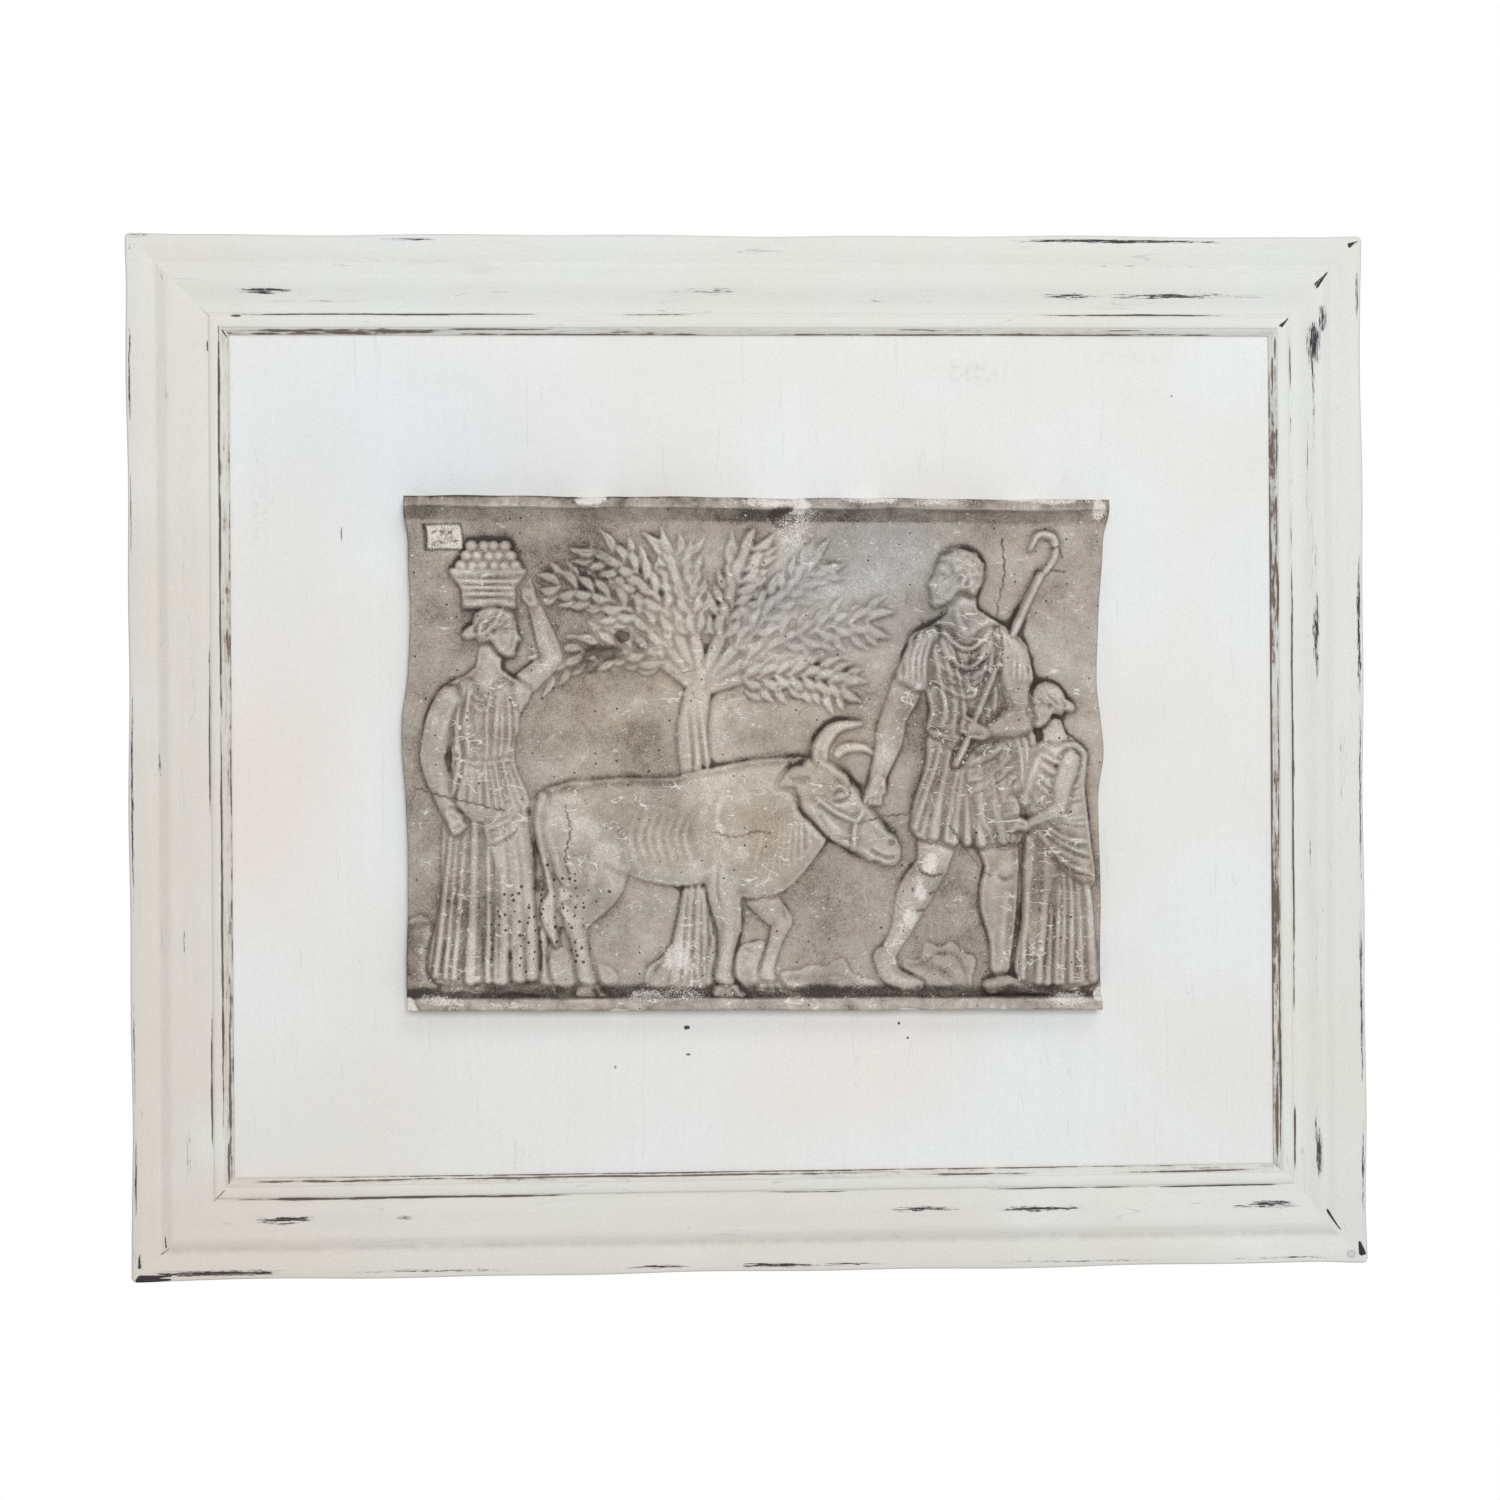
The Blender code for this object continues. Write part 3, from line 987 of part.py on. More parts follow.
def girl_with_jug(ground, x, z, size, xs, zs):
    """A girl facing left in a long dress and shawl, with a jug in her hands."""
    st = Stand(x, z, size, -1)
    body = Clay(xs, zs)
    foot(body, st, (0.06, 0.048), 0.13, 0.0016)
    foot(body, st, (-0.06, 0.048), 0.13, 0.0012)
    limb(body, st, [(0.014, 0.89), (0.004, 0.85), (0.0, 0.80)], [0.031, 0.031, 0.042], 0.0020, 0.5)
    limb(
        body, st, [(-0.065, 0.775), (-0.02, 0.81), (0.055, 0.785)], [0.034, 0.034, 0.032], 0.0020,
        0.42
    )
    body.melt(0.0015)
    body.pat(
        st.at(
            (-0.07, 0.64), (-0.115, 0.48), (-0.125, 0.25), (-0.150, 0.045), (0.0, 0.03),
            (0.125, 0.05), (0.110, 0.25), (0.100, 0.45), (0.065, 0.64)
        ),
        0.0014, 0.05 * size, 0.0020
    )
    hang(
        body, st,
        [
            [(-0.06, 0.64), (0.06, 0.64)], [(-0.115, 0.35), (0.102, 0.35)],
            [(-0.145, 0.055), (0.0, 0.04), (0.12, 0.055)]
        ],
        9, [0.007, 0.012, 0.015], 0.0026, 0.8, 13.0
    )
    press_leg(body, st, (0.035, 0.52), (0.070, 0.320), (0.06, 0.14), 0.0036)
    lay(ground, body, 0.4, trench=0.0009)
    # shawl wrapped across the body
    wrap = Clay(xs, zs)
    wrap.pat(
        st.at(
            (-0.080, 0.80), (-0.102, 0.66), (-0.118, 0.50), (-0.125, 0.36), (-0.03, 0.42),
            (0.07, 0.52), (0.082, 0.62), (0.078, 0.72), (0.062, 0.80), (0.0, 0.815)
        ),
        0.0028, 0.05 * size, 0.0028
    )
    limb(wrap, st, [(-0.02, 0.72), (0.03, 0.70)], [0.058, 0.052], 0.0034, 0.28)
    wrap.melt(0.002)
    swags(
        wrap, st, [(-0.070, 0.80), (-0.105, 0.58), (-0.122, 0.38)],
        [(0.060, 0.80), (0.078, 0.66), (0.068, 0.53)], 9, 0.030, 0.0070, 0.0008, 6.0
    )
    lay(ground, wrap, 0.3, trench=0.0008)
    # a jug held before the body in both hands
    far = Clay(xs, zs)
    arm(far, st, (0.050, 0.765), (0.085, 0.640), (0.150, 0.605), 0.0016, 0.9)
    far.melt(0.0010)
    lay(ground, far, 0.3, trench=0.0006)
    jug = Clay(xs, zs)
    jx, jz = 0.165, 0.520
    jug.pat(
        st.at(
            (jx - 0.022, jz), (jx - 0.055, jz + 0.06), (jx - 0.048, jz + 0.115),
            (jx - 0.020, jz + 0.145), (jx - 0.028, jz + 0.185), (jx + 0.028, jz + 0.185),
            (jx + 0.020, jz + 0.145), (jx + 0.048, jz + 0.115), (jx + 0.055, jz + 0.06),
            (jx + 0.022, jz)
        ),
        0.0020, 0.045 * size, 0.0034, smooth=5
    )
    limb(jug, st, [(jx - 0.03, jz + 0.188), (jx + 0.03, jz + 0.188)], [0.0075, 0.0075], 0.0036, 0.8)
    limb(jug, st, [(jx - 0.028, jz - 0.002), (jx + 0.028, jz - 0.002)], [0.008, 0.008], 0.0030, 0.8)
    for i in range(3):
        jug.score(
            st.at(
                (jx - 0.052, jz + 0.085 + 0.012 * i), (jx, jz + 0.078 + 0.012 * i),
                (jx + 0.052, jz + 0.085 + 0.012 * i)
            ),
            0.003 * size, 0.0006, fade=0
        )
    lay(ground, jug, 0.4)
    near = Clay(xs, zs)
    arm(near, st, (-0.040, 0.765), (-0.020, 0.605), (0.098, 0.548), 0.0038, 0.95)
    near.melt(0.0010)
    hand(near, st, (0.098, 0.548), 0.2, 0.066, 0.0046, grip=True)
    lay(ground, near, 0.35, trench=0.0008)
    top = Clay(xs, zs)
    head(top, Stand(*st.at((0.022, 0.945)), size * 0.142, -1, -0.10), 0.0028, "long", 3.0)
    lay(ground, top, 0.25)


def tree(ground, x, z, xs, zs, top):
    """An olive tree: a twisting trunk with roots, boughs, and slender leaves in overlapping sprays."""
    wood = Clay(xs, zs)
    wood.roll(
        [
            (x - 0.006, z + 0.004), (x - 0.001, z + 0.045), (x + 0.004, z + 0.085), (x - 0.002, z + 0.125),
            (x + 0.002, z + 0.160)
        ],
        [0.0125, 0.0088, 0.0076, 0.0080, 0.0062], 0.0010, 0.36
    )
    for side in (-1, 1):
        wood.roll(
            [(x + side * 0.006, z + 0.026), (x + side * 0.019, z + 0.004)], [0.0060, 0.0030], 0.0008, 0.4
        )
    fork = (x + 0.002, z + 0.154)
    boughs = [
        [fork, (x - 0.026, z + 0.170), (x - 0.052, z + 0.172), (x - 0.080, z + 0.162)],
        [fork, (x - 0.024, z + 0.182), (x - 0.048, z + 0.198), (x - 0.076, z + 0.204)],
        [fork, (x - 0.018, z + 0.192), (x - 0.034, z + 0.212), (x - 0.054, z + 0.224)],
        [fork, (x - 0.004, z + 0.190), (x - 0.010, z + 0.210), (x - 0.014, z + 0.228)],
        [fork, (x + 0.014, z + 0.188), (x + 0.020, z + 0.208), (x + 0.026, z + 0.226)],
        [fork, (x + 0.026, z + 0.182), (x + 0.046, z + 0.202), (x + 0.062, z + 0.218)],
        [fork, (x + 0.034, z + 0.172), (x + 0.062, z + 0.184), (x + 0.090, z + 0.188)],
        [fork, (x + 0.032, z + 0.160), (x + 0.056, z + 0.160), (x + 0.078, z + 0.154)]
    ]
    for b in boughs:
        wood.roll(b, [0.0046, 0.0030, 0.0022, 0.0014], 0.0008, 0.5)
    for i in range(6):
        lean = -0.0058 + 0.0023 * i
        sway = 0.0022 * math.sin(i * 2.1)
        wood.score(
            [
                (x + lean * 1.5, z + 0.008), (x + lean + sway, z + 0.050),
                (x + lean * 0.8 + 0.003 - sway, z + 0.095), (x + lean * 0.7, z + 0.150)
            ],
            0.0008, 0.0007, fade=0.3
        )
    wood.dab((x + 0.003, z + 0.072), (0.0030, 0.0040), 0.0012)
    wood.dab((x + 0.003, z + 0.072), (0.0014, 0.0020), -0.0014)
    lay(ground, wood, 0.3, trench=0.0005)
    leaves = Clay(xs, zs)
    for b in boughs:
        leaves.roll(b[1:], [0.008, 0.012, 0.007], 0.0, 0.05)
    for n, b in enumerate(boughs):
        line = curve(b, 10)
        for i in range(7, len(line), 3):
            d = line[min(i + 1, len(line) - 1)] - line[i - 1]
            a = math.atan2(d[1], d[0])
            for k in range(4):
                code = i * 7 + n * 31 + k * 13
                side = -1 if k % 2 else 1
                turn = a + side * (0.50 + 0.24 * k) + 0.22 * jitter(code, 1)
                size = 0.0128 * (1 + 0.20 * jitter(code, 5))
                out = side * 0.0010 * k
                p = line[i] + out * np.array([-math.sin(a), math.cos(a)])
                mid = p + size * 0.5 * np.array([math.cos(turn), math.sin(turn)])
                tip = p + size * np.array([math.cos(turn - 0.25 * side), math.sin(turn - 0.25 * side)])
                if max(tip[1], mid[1]) > z + top - 0.003:
                    continue
                rise = 0.0019 - 0.0005 * k + 0.0003 * jitter(code, 9)
                leaves.roll([tuple(p), tuple(mid), tuple(tip)], [0.0006, 0.0025, 0.0004], rise, 0.62)
                leaves.score([tuple(p), tuple(mid), tuple(tip)], 0.0005, 0.0005, fade=0.2)
    lay(ground, leaves, 0.3, trench=0.0004)


def rocks(ground, xs, zs, z):
    """Low boulders behind the feet, and the uneven ground they stand on."""
    left, wide = xs[0], xs[-1] - xs[0]
    for i, (share, half, tall) in enumerate(
        (
            (0.02, 0.026, 0.036), (0.235, 0.022, 0.024), (0.45, 0.034, 0.030), (0.60, 0.026, 0.018),
            (0.765, 0.020, 0.026), (0.99, 0.024, 0.032)
        )
    ):
        x = left + share * wide
        stone = Clay(xs, zs)
        ring = []
        for j in range(11):
            a = math.pi * j / 10
            r = 1 + 0.16 * jitter(j, i + 3)
            ring.append((x + half * r * math.cos(a), z + tall * r * math.sin(a) ** 0.8))
        stone.pat(
            ring + [(x - half, z - 0.002), (x + half, z - 0.002)], 0.0003, 0.010, 0.0022, smooth=4
        )
        for j in range(3):
            a = x + half * (0.6 * jitter(j, i + 20))
            b = z + tall * (0.55 + 0.2 * jitter(j, i + 30))
            stone.score(
                [(a - 0.008, b + 0.006 * jitter(j, i + 40)), (a, b), (a + 0.009, b - 0.006)],
                0.0016, 0.0006
            )
        stone.melt(0.0015)
        lay(ground, stone, 0.3, trench=0.0004)
    soil = Clay(xs, zs)
    count = 34
    top = [
        (left + wide * i / (count - 1), z + 0.0042 + 0.0018 * jitter(i, 2) + 0.0014 * math.sin(i * 0.9))
        for i in range(count)
    ]
    soil.pat(
        top + [(left + wide + 0.004, z - 0.004), (left - 0.004, z - 0.004)], 0.0006, 0.006, 0.0022,
        smooth=4
    )
    soil.melt(0.0015)
    lay(ground, soil, 0.3, trench=0.0004)


def carve(width, height, step):
    """The whole scene, on a sheet of its own size."""
    xs = np.linspace(-width / 2, width / 2, round(width / step) + 1)
    zs = np.arange(0, height + step, step)
    ground = Clay(xs, zs, 0.0)
    left = -width / 2
    tree(ground, left + tree_at, 0, xs, zs, height)
    rocks(ground, xs, zs, 0)
    ox(ground, left + ox_at, foot_line / 2, ox_size, xs, zs)
    woman_with_basket(ground, left + woman_at, foot_line, woman_size, xs, zs)
    herdsman(ground, left + herdsman_at, foot_line, herdsman_size, xs, zs)
    girl_with_jug(ground, left + girl_at, foot_line, girl_size, xs, zs)
    # broad masses swell towards their middles, and the modelling is sharpened at two scales
    mass = np.clip(2 * blur((ground.h > 0.0018).astype(float), 0.0045, step) - 1, 0, 1)
    shaped = ground.h + 0.0016 * mass ** 0.8
    shaped = shaped + 0.60 * (
        shaped - blur(shaped, 0.0016, step)
    ) + 0.25 * (shaped - blur(shaped, 0.0042, step))
    ground.h = blur(np.clip(shaped, -0.0012, sheet_proud), 0.0004, step)
    return ground


def sample(clay, x, z):
    """The clay's height at any places on its sheet."""
    i = np.clip((x - clay.xs[0]) / clay.step, 0, len(clay.xs) - 1.001)
    j = np.clip((z - clay.zs[0]) / clay.step, 0, len(clay.zs) - 1.001)
    a = i.astype(int)
    b = j.astype(int)
    u = i - a
    v = j - b
    low = clay.h[b, a] * (1 - u) + clay.h[b, a + 1] * u
    high = clay.h[b + 1, a] * (1 - u) + clay.h[b + 1, a + 1] * u
    return low * (1 - v) + high * v


def smooth_step(value, start, end):
    """0 before start, 1 after end, and an easy rise between them."""
    t = np.clip((value - start) / (end - start), 0, 1)
    return t * t * (3 - 2 * t)


def wander(stations, share):
    """A side's inset, read smoothly between its stations."""
    line = curve(stations, 8)
    return np.interp(share, line[:, 0], line[:, 1])


def plaque_front(u, w):
    """How far the cast stands off its slab's face, at shares u across and w up."""
    z = w * plaque_height
    field_top = plaque_height - fillet_height - cove_height
    sheet = carve(sheet_width, sheet_height, sheet_step)
    share = (z - ledge_height) / (field_top - ledge_height)
    relief = sample(sheet, (u - 0.5) * sheet_width, np.clip(share, 0, 1) * sheet_height)
    proud = relief * relief_proud / sheet_proud
    sway = 0.0003 * np.sin(19 * u + 1.0) + 0.0002 * np.sin(47 * u)
    ledge = ledge_proud * (1 - smooth_step(z, ledge_height + sway, ledge_height + 0.0018 + sway))
    cove = cove_proud * np.clip((z - field_top) / cove_height, 0, 1) ** 1.5
    fillet_foot = plaque_height - fillet_height + sway
    fillet = fillet_proud * smooth_step(z, fillet_foot - 0.0004, fillet_foot + 0.0008)
    front = np.maximum(proud, np.maximum(ledge, np.maximum(cove, fillet)))
    # the rim is rounded, and broken in places
    across = np.minimum(u, 1 - u) * plaque_width
    rim = np.clip(
        rim_rounding - np.minimum(across, np.minimum(z, plaque_height - z)), 0, rim_rounding
    )
    front = front - (rim_rounding - np.sqrt(rim_rounding ** 2 - rim ** 2)) * 0.8
    for chip_u, chip_w, half_x, half_z, depth in chips:
        east = (u - chip_u) * plaque_width / half_x
        north = (w - chip_w) * plaque_height / half_z
        turn = np.arctan2(north, east) + 40 * chip_u
        ragged = np.hypot(east, north) * (1 + 0.14 * np.sin(3 * turn) + 0.07 * np.sin(5 * turn))
        front = front - depth * (1 - smooth_step(ragged, 0.55, 1.05))
    return front


def make_material(name, color, roughness):
    material = bpy.data.materials.new(name)
    material.use_nodes = True
    shader = material.node_tree.nodes["Principled BSDF"]
    shader.inputs["Base Color"].default_value = (*color, 1)
    shader.inputs["Roughness"].default_value = roughness
    shader.inputs["Metallic"].default_value = 0
    material.diffuse_color = (*color, 1)
    return material


def keep(piece, name, material, group):
    """Names a new piece, gives it its finish and files it in its collection."""
    piece.name = name
    piece.data.name = name
    piece.data.materials.clear()
    piece.data.materials.append(material)
    for old in list(piece.users_collection):
        old.objects.unlink(piece)
    group.objects.link(piece)
    return piece


def rail_section():
    """Points of a rail's section, as distance in from the outer edge and depth from the wall."""
    points = [(0.0, 0.0)]
    for i in range(5):
        a = math.pi / 2 * i / 4
        points.append(
            (edge_rounding * (1 - math.cos(a)), band_depth - edge_rounding * (1 - math.sin(a)))
        )
    # the outer band, slightly crowned, down to the crease
    for i in range(1, 5):
        t = i / 4
        crown = band_rise * (1 - t * t) + band_rise / 4 * math.sin(math.pi * t)
        points.append((edge_rounding + (crease_at - edge_rounding) * t, crease_depth + crown))
    # the hump, as an easy rise and a fall
    for start, end, low, high in (
        (crease_at, peak_at, crease_depth, hump_depth),
        (peak_at, fall_at, hump_depth, groove_depth)
    ):
        for i in range(1, 8):
            t = i / 7
            ease = (1 - math.cos(math.pi * t)) / 2
            points.append((start + (end - start) * t, low + (high - low) * ease))
    # the groove, the bead and the slope down to the panel
    points.append((bead_at, groove_depth))
    for i in range(1, 6):
        a = math.pi * i / 6
        across = bead_width * (1 - math.cos(a)) / 2
        points.append((bead_at + across, groove_depth + bead_rise * math.sin(a) ** 0.7))
    sight_fall = groove_depth - lip_depth - lip_flat
    for i in range(5):
        t = i / 4
        points.append((sight_at + sight_width * t, groove_depth - sight_fall * t ** sight_sweep))
    points.append((rail_width, lip_depth))
    points.append((rail_width - rabbet_width, lip_depth))
    points.append((rail_width - rabbet_width, 0.0))
    return points


def make_rail(name, length, middle, turn, material, group):
    """A length of moulding with both ends cut to 45 degrees."""
    mesh = bpy.data.meshes.new(name)
    bm = bmesh.new()
    section = [bm.verts.new((-length / 2, -depth, -inset)) for inset, depth in rail_section()]
    face = bm.faces.new(section)
    swept = bmesh.ops.extrude_face_region(bm, geom=[face])
    ends = [item for item in swept["geom"] if isinstance(item, bmesh.types.BMVert)]
    bmesh.ops.translate(bm, verts=ends, vec=(length, 0, 0))
    for side in (-1, 1):
        normal = Vector((side, 0, -1)).normalized()
        corner = Vector((side * length / 2, 0, 0)) - normal * fit_gap / 2
        cut = bmesh.ops.bisect_plane(
            bm, geom=bm.verts[:] + bm.edges[:] + bm.faces[:], dist=1e-7, plane_co=corner,
            plane_no=normal, clear_outer=True
        )
        rim = [item for item in cut["geom_cut"] if isinstance(item, bmesh.types.BMEdge)]
        bmesh.ops.contextual_create(bm, geom=rim)
    bmesh.ops.recalc_face_normals(bm, faces=bm.faces[:])
    bm.to_mesh(mesh)
    bm.free()
    piece = bpy.data.objects.new(name, mesh)
    piece.location = middle
    piece.rotation_euler = (0, turn, 0)
    return keep(piece, name, material, group)


def make_panel(center, material, group):
    """The flat painted panel, held in the rabbet."""
    side = 2 * (rail_width - rabbet_width + fit_gap)
    bpy.ops.mesh.primitive_cube_add(size=1, location=center)
    piece = bpy.context.object
    piece.scale = (frame_width - side, panel_thickness, frame_height - side)
    bpy.ops.object.transform_apply(location=False, rotation=False, scale=True)
    return keep(piece, "backing_panel", material, group)


def make_plaque(center, material, group):
    """The cast: a grid pushed out to the carving, thinned, then given its sides and flat back."""
    columns = round(plaque_width / surface_step)
    rows = round(plaque_height / surface_step)
    bpy.ops.mesh.primitive_grid_add(x_subdivisions=columns, y_subdivisions=rows, size=1)
    piece = bpy.context.object
    mesh = piece.data
    places = np.empty(len(mesh.vertices) * 3, np.float32)
    mesh.vertices.foreach_get("co", places)
    places = places.reshape(-1, 3)
    u = places[:, 0].astype(float) + 0.5
    w = places[:, 1].astype(float) + 0.5
    left = wander(left_wander, w)
    right = plaque_width - wander(right_wander, w)
    x = left + (right - left) * u - plaque_width / 2
    shaped = np.column_stack([x, -(slab_thickness + plaque_front(u, w)), (w - 0.5) * plaque_height])
    mesh.vertices.foreach_set("co", shaped.astype(np.float32).ravel())
    mesh.update()
    thin = piece.modifiers.new("thin", "DECIMATE")
    thin.ratio = plaque_triangles / (2 * len(mesh.polygons))
    bpy.ops.object.modifier_apply(modifier=thin.name)
    bm = bmesh.new()
    bm.from_mesh(mesh)
    rim = [edge for edge in bm.edges if edge.is_boundary]
    swept = bmesh.ops.extrude_edge_only(bm, edges=rim)
    for item in swept["geom"]:
        if isinstance(item, bmesh.types.BMVert):
            item.co.y = 0
    back = [
        item for item in swept["geom"] if isinstance(item, bmesh.types.BMEdge) and item.is_boundary
    ]
    bmesh.ops.contextual_create(bm, geom=back)
    bmesh.ops.triangulate(bm, faces=bm.faces[:])
    bmesh.ops.recalc_face_normals(bm, faces=bm.faces[:])
    bm.to_mesh(mesh)
    bm.free()
    piece.location = center
    piece.rotation_euler = (0, plaque_lean, 0)
    return keep(piece, "relief_plaque", material, group)


def build():
    for old in list(bpy.data.objects):
        bpy.data.objects.remove(old)
    group = bpy.data.collections.new("framed_relief_plaque")
    bpy.context.scene.collection.children.link(group)
    paint = make_material("frame_paint", paint_color, 0.6)
    panel_paint = make_material("panel_paint", panel_color, 0.65)
    plaster = make_material("aged_plaster", plaster_color, 0.85)

    top = (rail_width - rabbet_width) / 2
    bottom = top - frame_height
    middle = (top + bottom) / 2
    make_rail("frame_rail_top", frame_width, (0, 0, top), 0, paint, group)
    make_rail("frame_rail_bottom", frame_width, (0, 0, bottom), math.pi, paint, group)
    make_rail(
        "frame_rail_right", frame_height, (frame_width / 2, 0, middle), math.pi / 2, paint, group
    )
    make_rail(
        "frame_rail_left", frame_height, (-frame_width / 2, 0, middle), -math.pi / 2, paint, group
    )
    make_panel((0, -(panel_recess + panel_thickness / 2), middle), panel_paint, group)
    make_plaque((plaque_shift, -(panel_front + fit_gap), middle), plaster, group)


build()
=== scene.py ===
# A framed plaster relief: an aged cast on a brushed white panel, in a moulded frame of rubbed chalk paint.
# Metres. +Z is up, the relief faces -Y, and the origin is where the top rail hangs on the wall.
import math

import bpy
import numpy as np
from mathutils import Matrix, Vector


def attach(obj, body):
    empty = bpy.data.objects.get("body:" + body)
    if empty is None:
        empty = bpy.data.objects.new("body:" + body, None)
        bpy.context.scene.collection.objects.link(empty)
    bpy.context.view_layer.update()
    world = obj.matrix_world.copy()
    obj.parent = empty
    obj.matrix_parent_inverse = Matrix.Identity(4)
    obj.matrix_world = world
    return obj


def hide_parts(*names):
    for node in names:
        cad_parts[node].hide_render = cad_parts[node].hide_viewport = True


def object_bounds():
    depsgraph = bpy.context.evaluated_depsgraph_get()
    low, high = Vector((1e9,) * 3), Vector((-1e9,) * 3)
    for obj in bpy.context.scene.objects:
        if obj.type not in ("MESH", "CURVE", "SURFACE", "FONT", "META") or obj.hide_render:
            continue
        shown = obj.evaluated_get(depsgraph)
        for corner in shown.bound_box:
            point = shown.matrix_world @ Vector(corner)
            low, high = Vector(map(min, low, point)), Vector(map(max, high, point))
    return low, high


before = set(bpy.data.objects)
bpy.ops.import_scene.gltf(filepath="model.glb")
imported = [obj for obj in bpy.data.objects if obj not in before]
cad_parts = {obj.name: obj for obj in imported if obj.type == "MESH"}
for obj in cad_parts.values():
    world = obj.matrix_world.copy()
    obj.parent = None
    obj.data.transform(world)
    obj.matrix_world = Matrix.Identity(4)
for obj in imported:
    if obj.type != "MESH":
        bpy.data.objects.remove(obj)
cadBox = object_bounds()
mm = 0.001

# Where the photographer stood: place, turn and tip in degrees, and the lens in mm
cameraView = {
    "place": (-0.0623, -1.2998, -0.236), "turn": -2.72, "tip": -0.05, "roll": 0.376, "lens": 61.26
}

# Soft light from the front and from above, in a white room
studio = {
    "roomForCamera": 1.0,
    "roomLight": 0.385,
    "lamps": {
        "frontLight": {"place": (0.1, -2.6, 0.14), "size": 0.8, "power": 36.5, "color": (1.0, 1.0, 1.0)},
        "keyLight": {"place": (0.45, -1.7, 1.2), "size": 0.9, "power": 6.5, "color": (1.0, 0.99, 0.97)},
    },
    "floorDrop": 1.25,
    "floorSize": 4.2,
}


def setCamera(view):
    data = bpy.data.cameras.new("photoCamera")
    data.lens = view["lens"]
    data.sensor_width = 36
    camera = bpy.data.objects.new("photoCamera", data)
    bpy.context.scene.collection.objects.link(camera)
    turns = (("turn", "Z"), ("tip", "X"), ("roll", "Y"))
    pose = Matrix.Translation(view["place"])
    for name, axis in turns:
        pose = pose @ Matrix.Rotation(math.radians(view[name]), 4, axis)
    # a new camera looks down, so it is turned up to look along +Y
    camera.matrix_world = pose @ Matrix.Rotation(math.pi / 2, 4, "X")
    bpy.context.scene.camera = camera


def addLamp(name, lamp, target):
    data = bpy.data.lights.new(name, "AREA")
    data.shape = "DISK"
    data.size = lamp["size"]
    data.energy = lamp["power"]
    data.color = lamp["color"]
    light = bpy.data.objects.new(name, data)
    bpy.context.scene.collection.objects.link(light)
    light.location = lamp["place"]
    light.rotation_euler = (Vector(target) - light.location).to_track_quat("-Z", "Y").to_euler()


def setStudio(look, floorMaterial):
    bpy.context.scene.view_settings.view_transform = "Standard"
    low, high = cadBox
    middle = (low + high) / 2
    for name, lamp in look["lamps"].items():
        addLamp(name, lamp, middle)
    world = bpy.data.worlds.new("whiteRoom")
    bpy.context.scene.world = world
    world.use_nodes = True
    tree = world.node_tree
    sky = tree.nodes["Background"]
    rays = tree.nodes.new("ShaderNodeLightPath")
    level = tree.nodes.new("ShaderNodeMapRange")
    tree.links.new(rays.outputs["Is Camera Ray"], level.inputs["Value"])
    level.inputs["To Min"].default_value = look["roomLight"]
    level.inputs["To Max"].default_value = look["roomForCamera"]
    sky.inputs["Color"].default_value = (1, 1, 1, 1)
    tree.links.new(level.outputs["Result"], sky.inputs["Strength"])
    deselect()
    bpy.ops.mesh.primitive_plane_add(
        size=look["floorSize"], location=(middle.x, middle.y, low.z - look["floorDrop"])
    )
    floor = bpy.context.object
    floor.name = "floor"
    floor.data.materials.append(floorMaterial)
    return floor


def deselect():
    for thing in bpy.context.selected_objects:
        thing.select_set(False)


# An output of a node. Its sums and products with other outputs and with numbers are new nodes.
class Signal:
    tree = None    # the tree that new nodes go into

    def __init__(self, socket):
        self.socket = socket

    def __add__(self, other):
        return mathOf("ADD", self, other)

    def __radd__(self, other):
        return mathOf("ADD", other, self)

    def __sub__(self, other):
        return mathOf("SUBTRACT", self, other)

    def __rsub__(self, other):
        return mathOf("SUBTRACT", other, self)

    def __mul__(self, other):
        return mathOf("MULTIPLY", self, other)

    def __truediv__(self, other):
        return mathOf("DIVIDE", self, other)

    def __lt__(self, other):
        return mathOf("LESS_THAN", self, other)

    def __gt__(self, other):
        return mathOf("GREATER_THAN", self, other)


# A node's outputs, by name or number
class Outputs:

    def __init__(self, node):
        self.node = node

    def __getitem__(self, name):
        return Signal(self.node.outputs[name])


# Links an output to an input, or gives the input a value
def put(value, socket):
    if isinstance(value, Signal):
        Signal.tree.links.new(value.socket, socket)
    else:
        socket.default_value = (*value, 1.0) if socket.type == "RGBA" else value


# Adds a node with its settings, and values or links for its inputs
def addNode(kind, inputs=None, **settings):
    made = Signal.tree.nodes.new(kind)
    for name, value in settings.items():
        setattr(made, name, value)
    for name, value in (inputs or {}).items():
        put(value, made.inputs[name])
    return Outputs(made)


def mathOf(operation, a, b=0.0, clamp=False):
    return addNode("ShaderNodeMath", {0: a, 1: b}, operation=operation, use_clamp=clamp)[0]


# An easy rise from 0 at low to 1 at high
def riseOf(value, low, high):
    inputs = {"Value": value, "From Min": low, "From Max": high}
    return addNode("ShaderNodeMapRange", inputs, interpolation_type="SMOOTHSTEP")["Result"]


def mixOf(share, a, b, blend="MIX"):
    return addNode("ShaderNodeMix", {0: share, 6: a, 7: b}, data_type="RGBA", blend_type=blend)[2]


def noiseOf(vector, scale, detail=3.0, roughness=0.5):
    inputs = {"Vector": vector, "Scale": scale, "Detail": detail, "Roughness": roughness}
    return addNode("ShaderNodeTexNoise", inputs)["Fac"]


# The place vector stretched or squeezed along each axis, and turned first where turn is given
def stretchOf(vector, scale, turn=(0, 0, 0), shift=(0, 0, 0)):
    inputs = {"Vector": vector, "Scale": scale, "Rotation": turn, "Location": shift}
    return addNode("ShaderNodeMapping", inputs)["Vector"]


def attributeOf(name, output="Fac"):
    return addNode("ShaderNodeAttribute", attribute_name=name)[output]


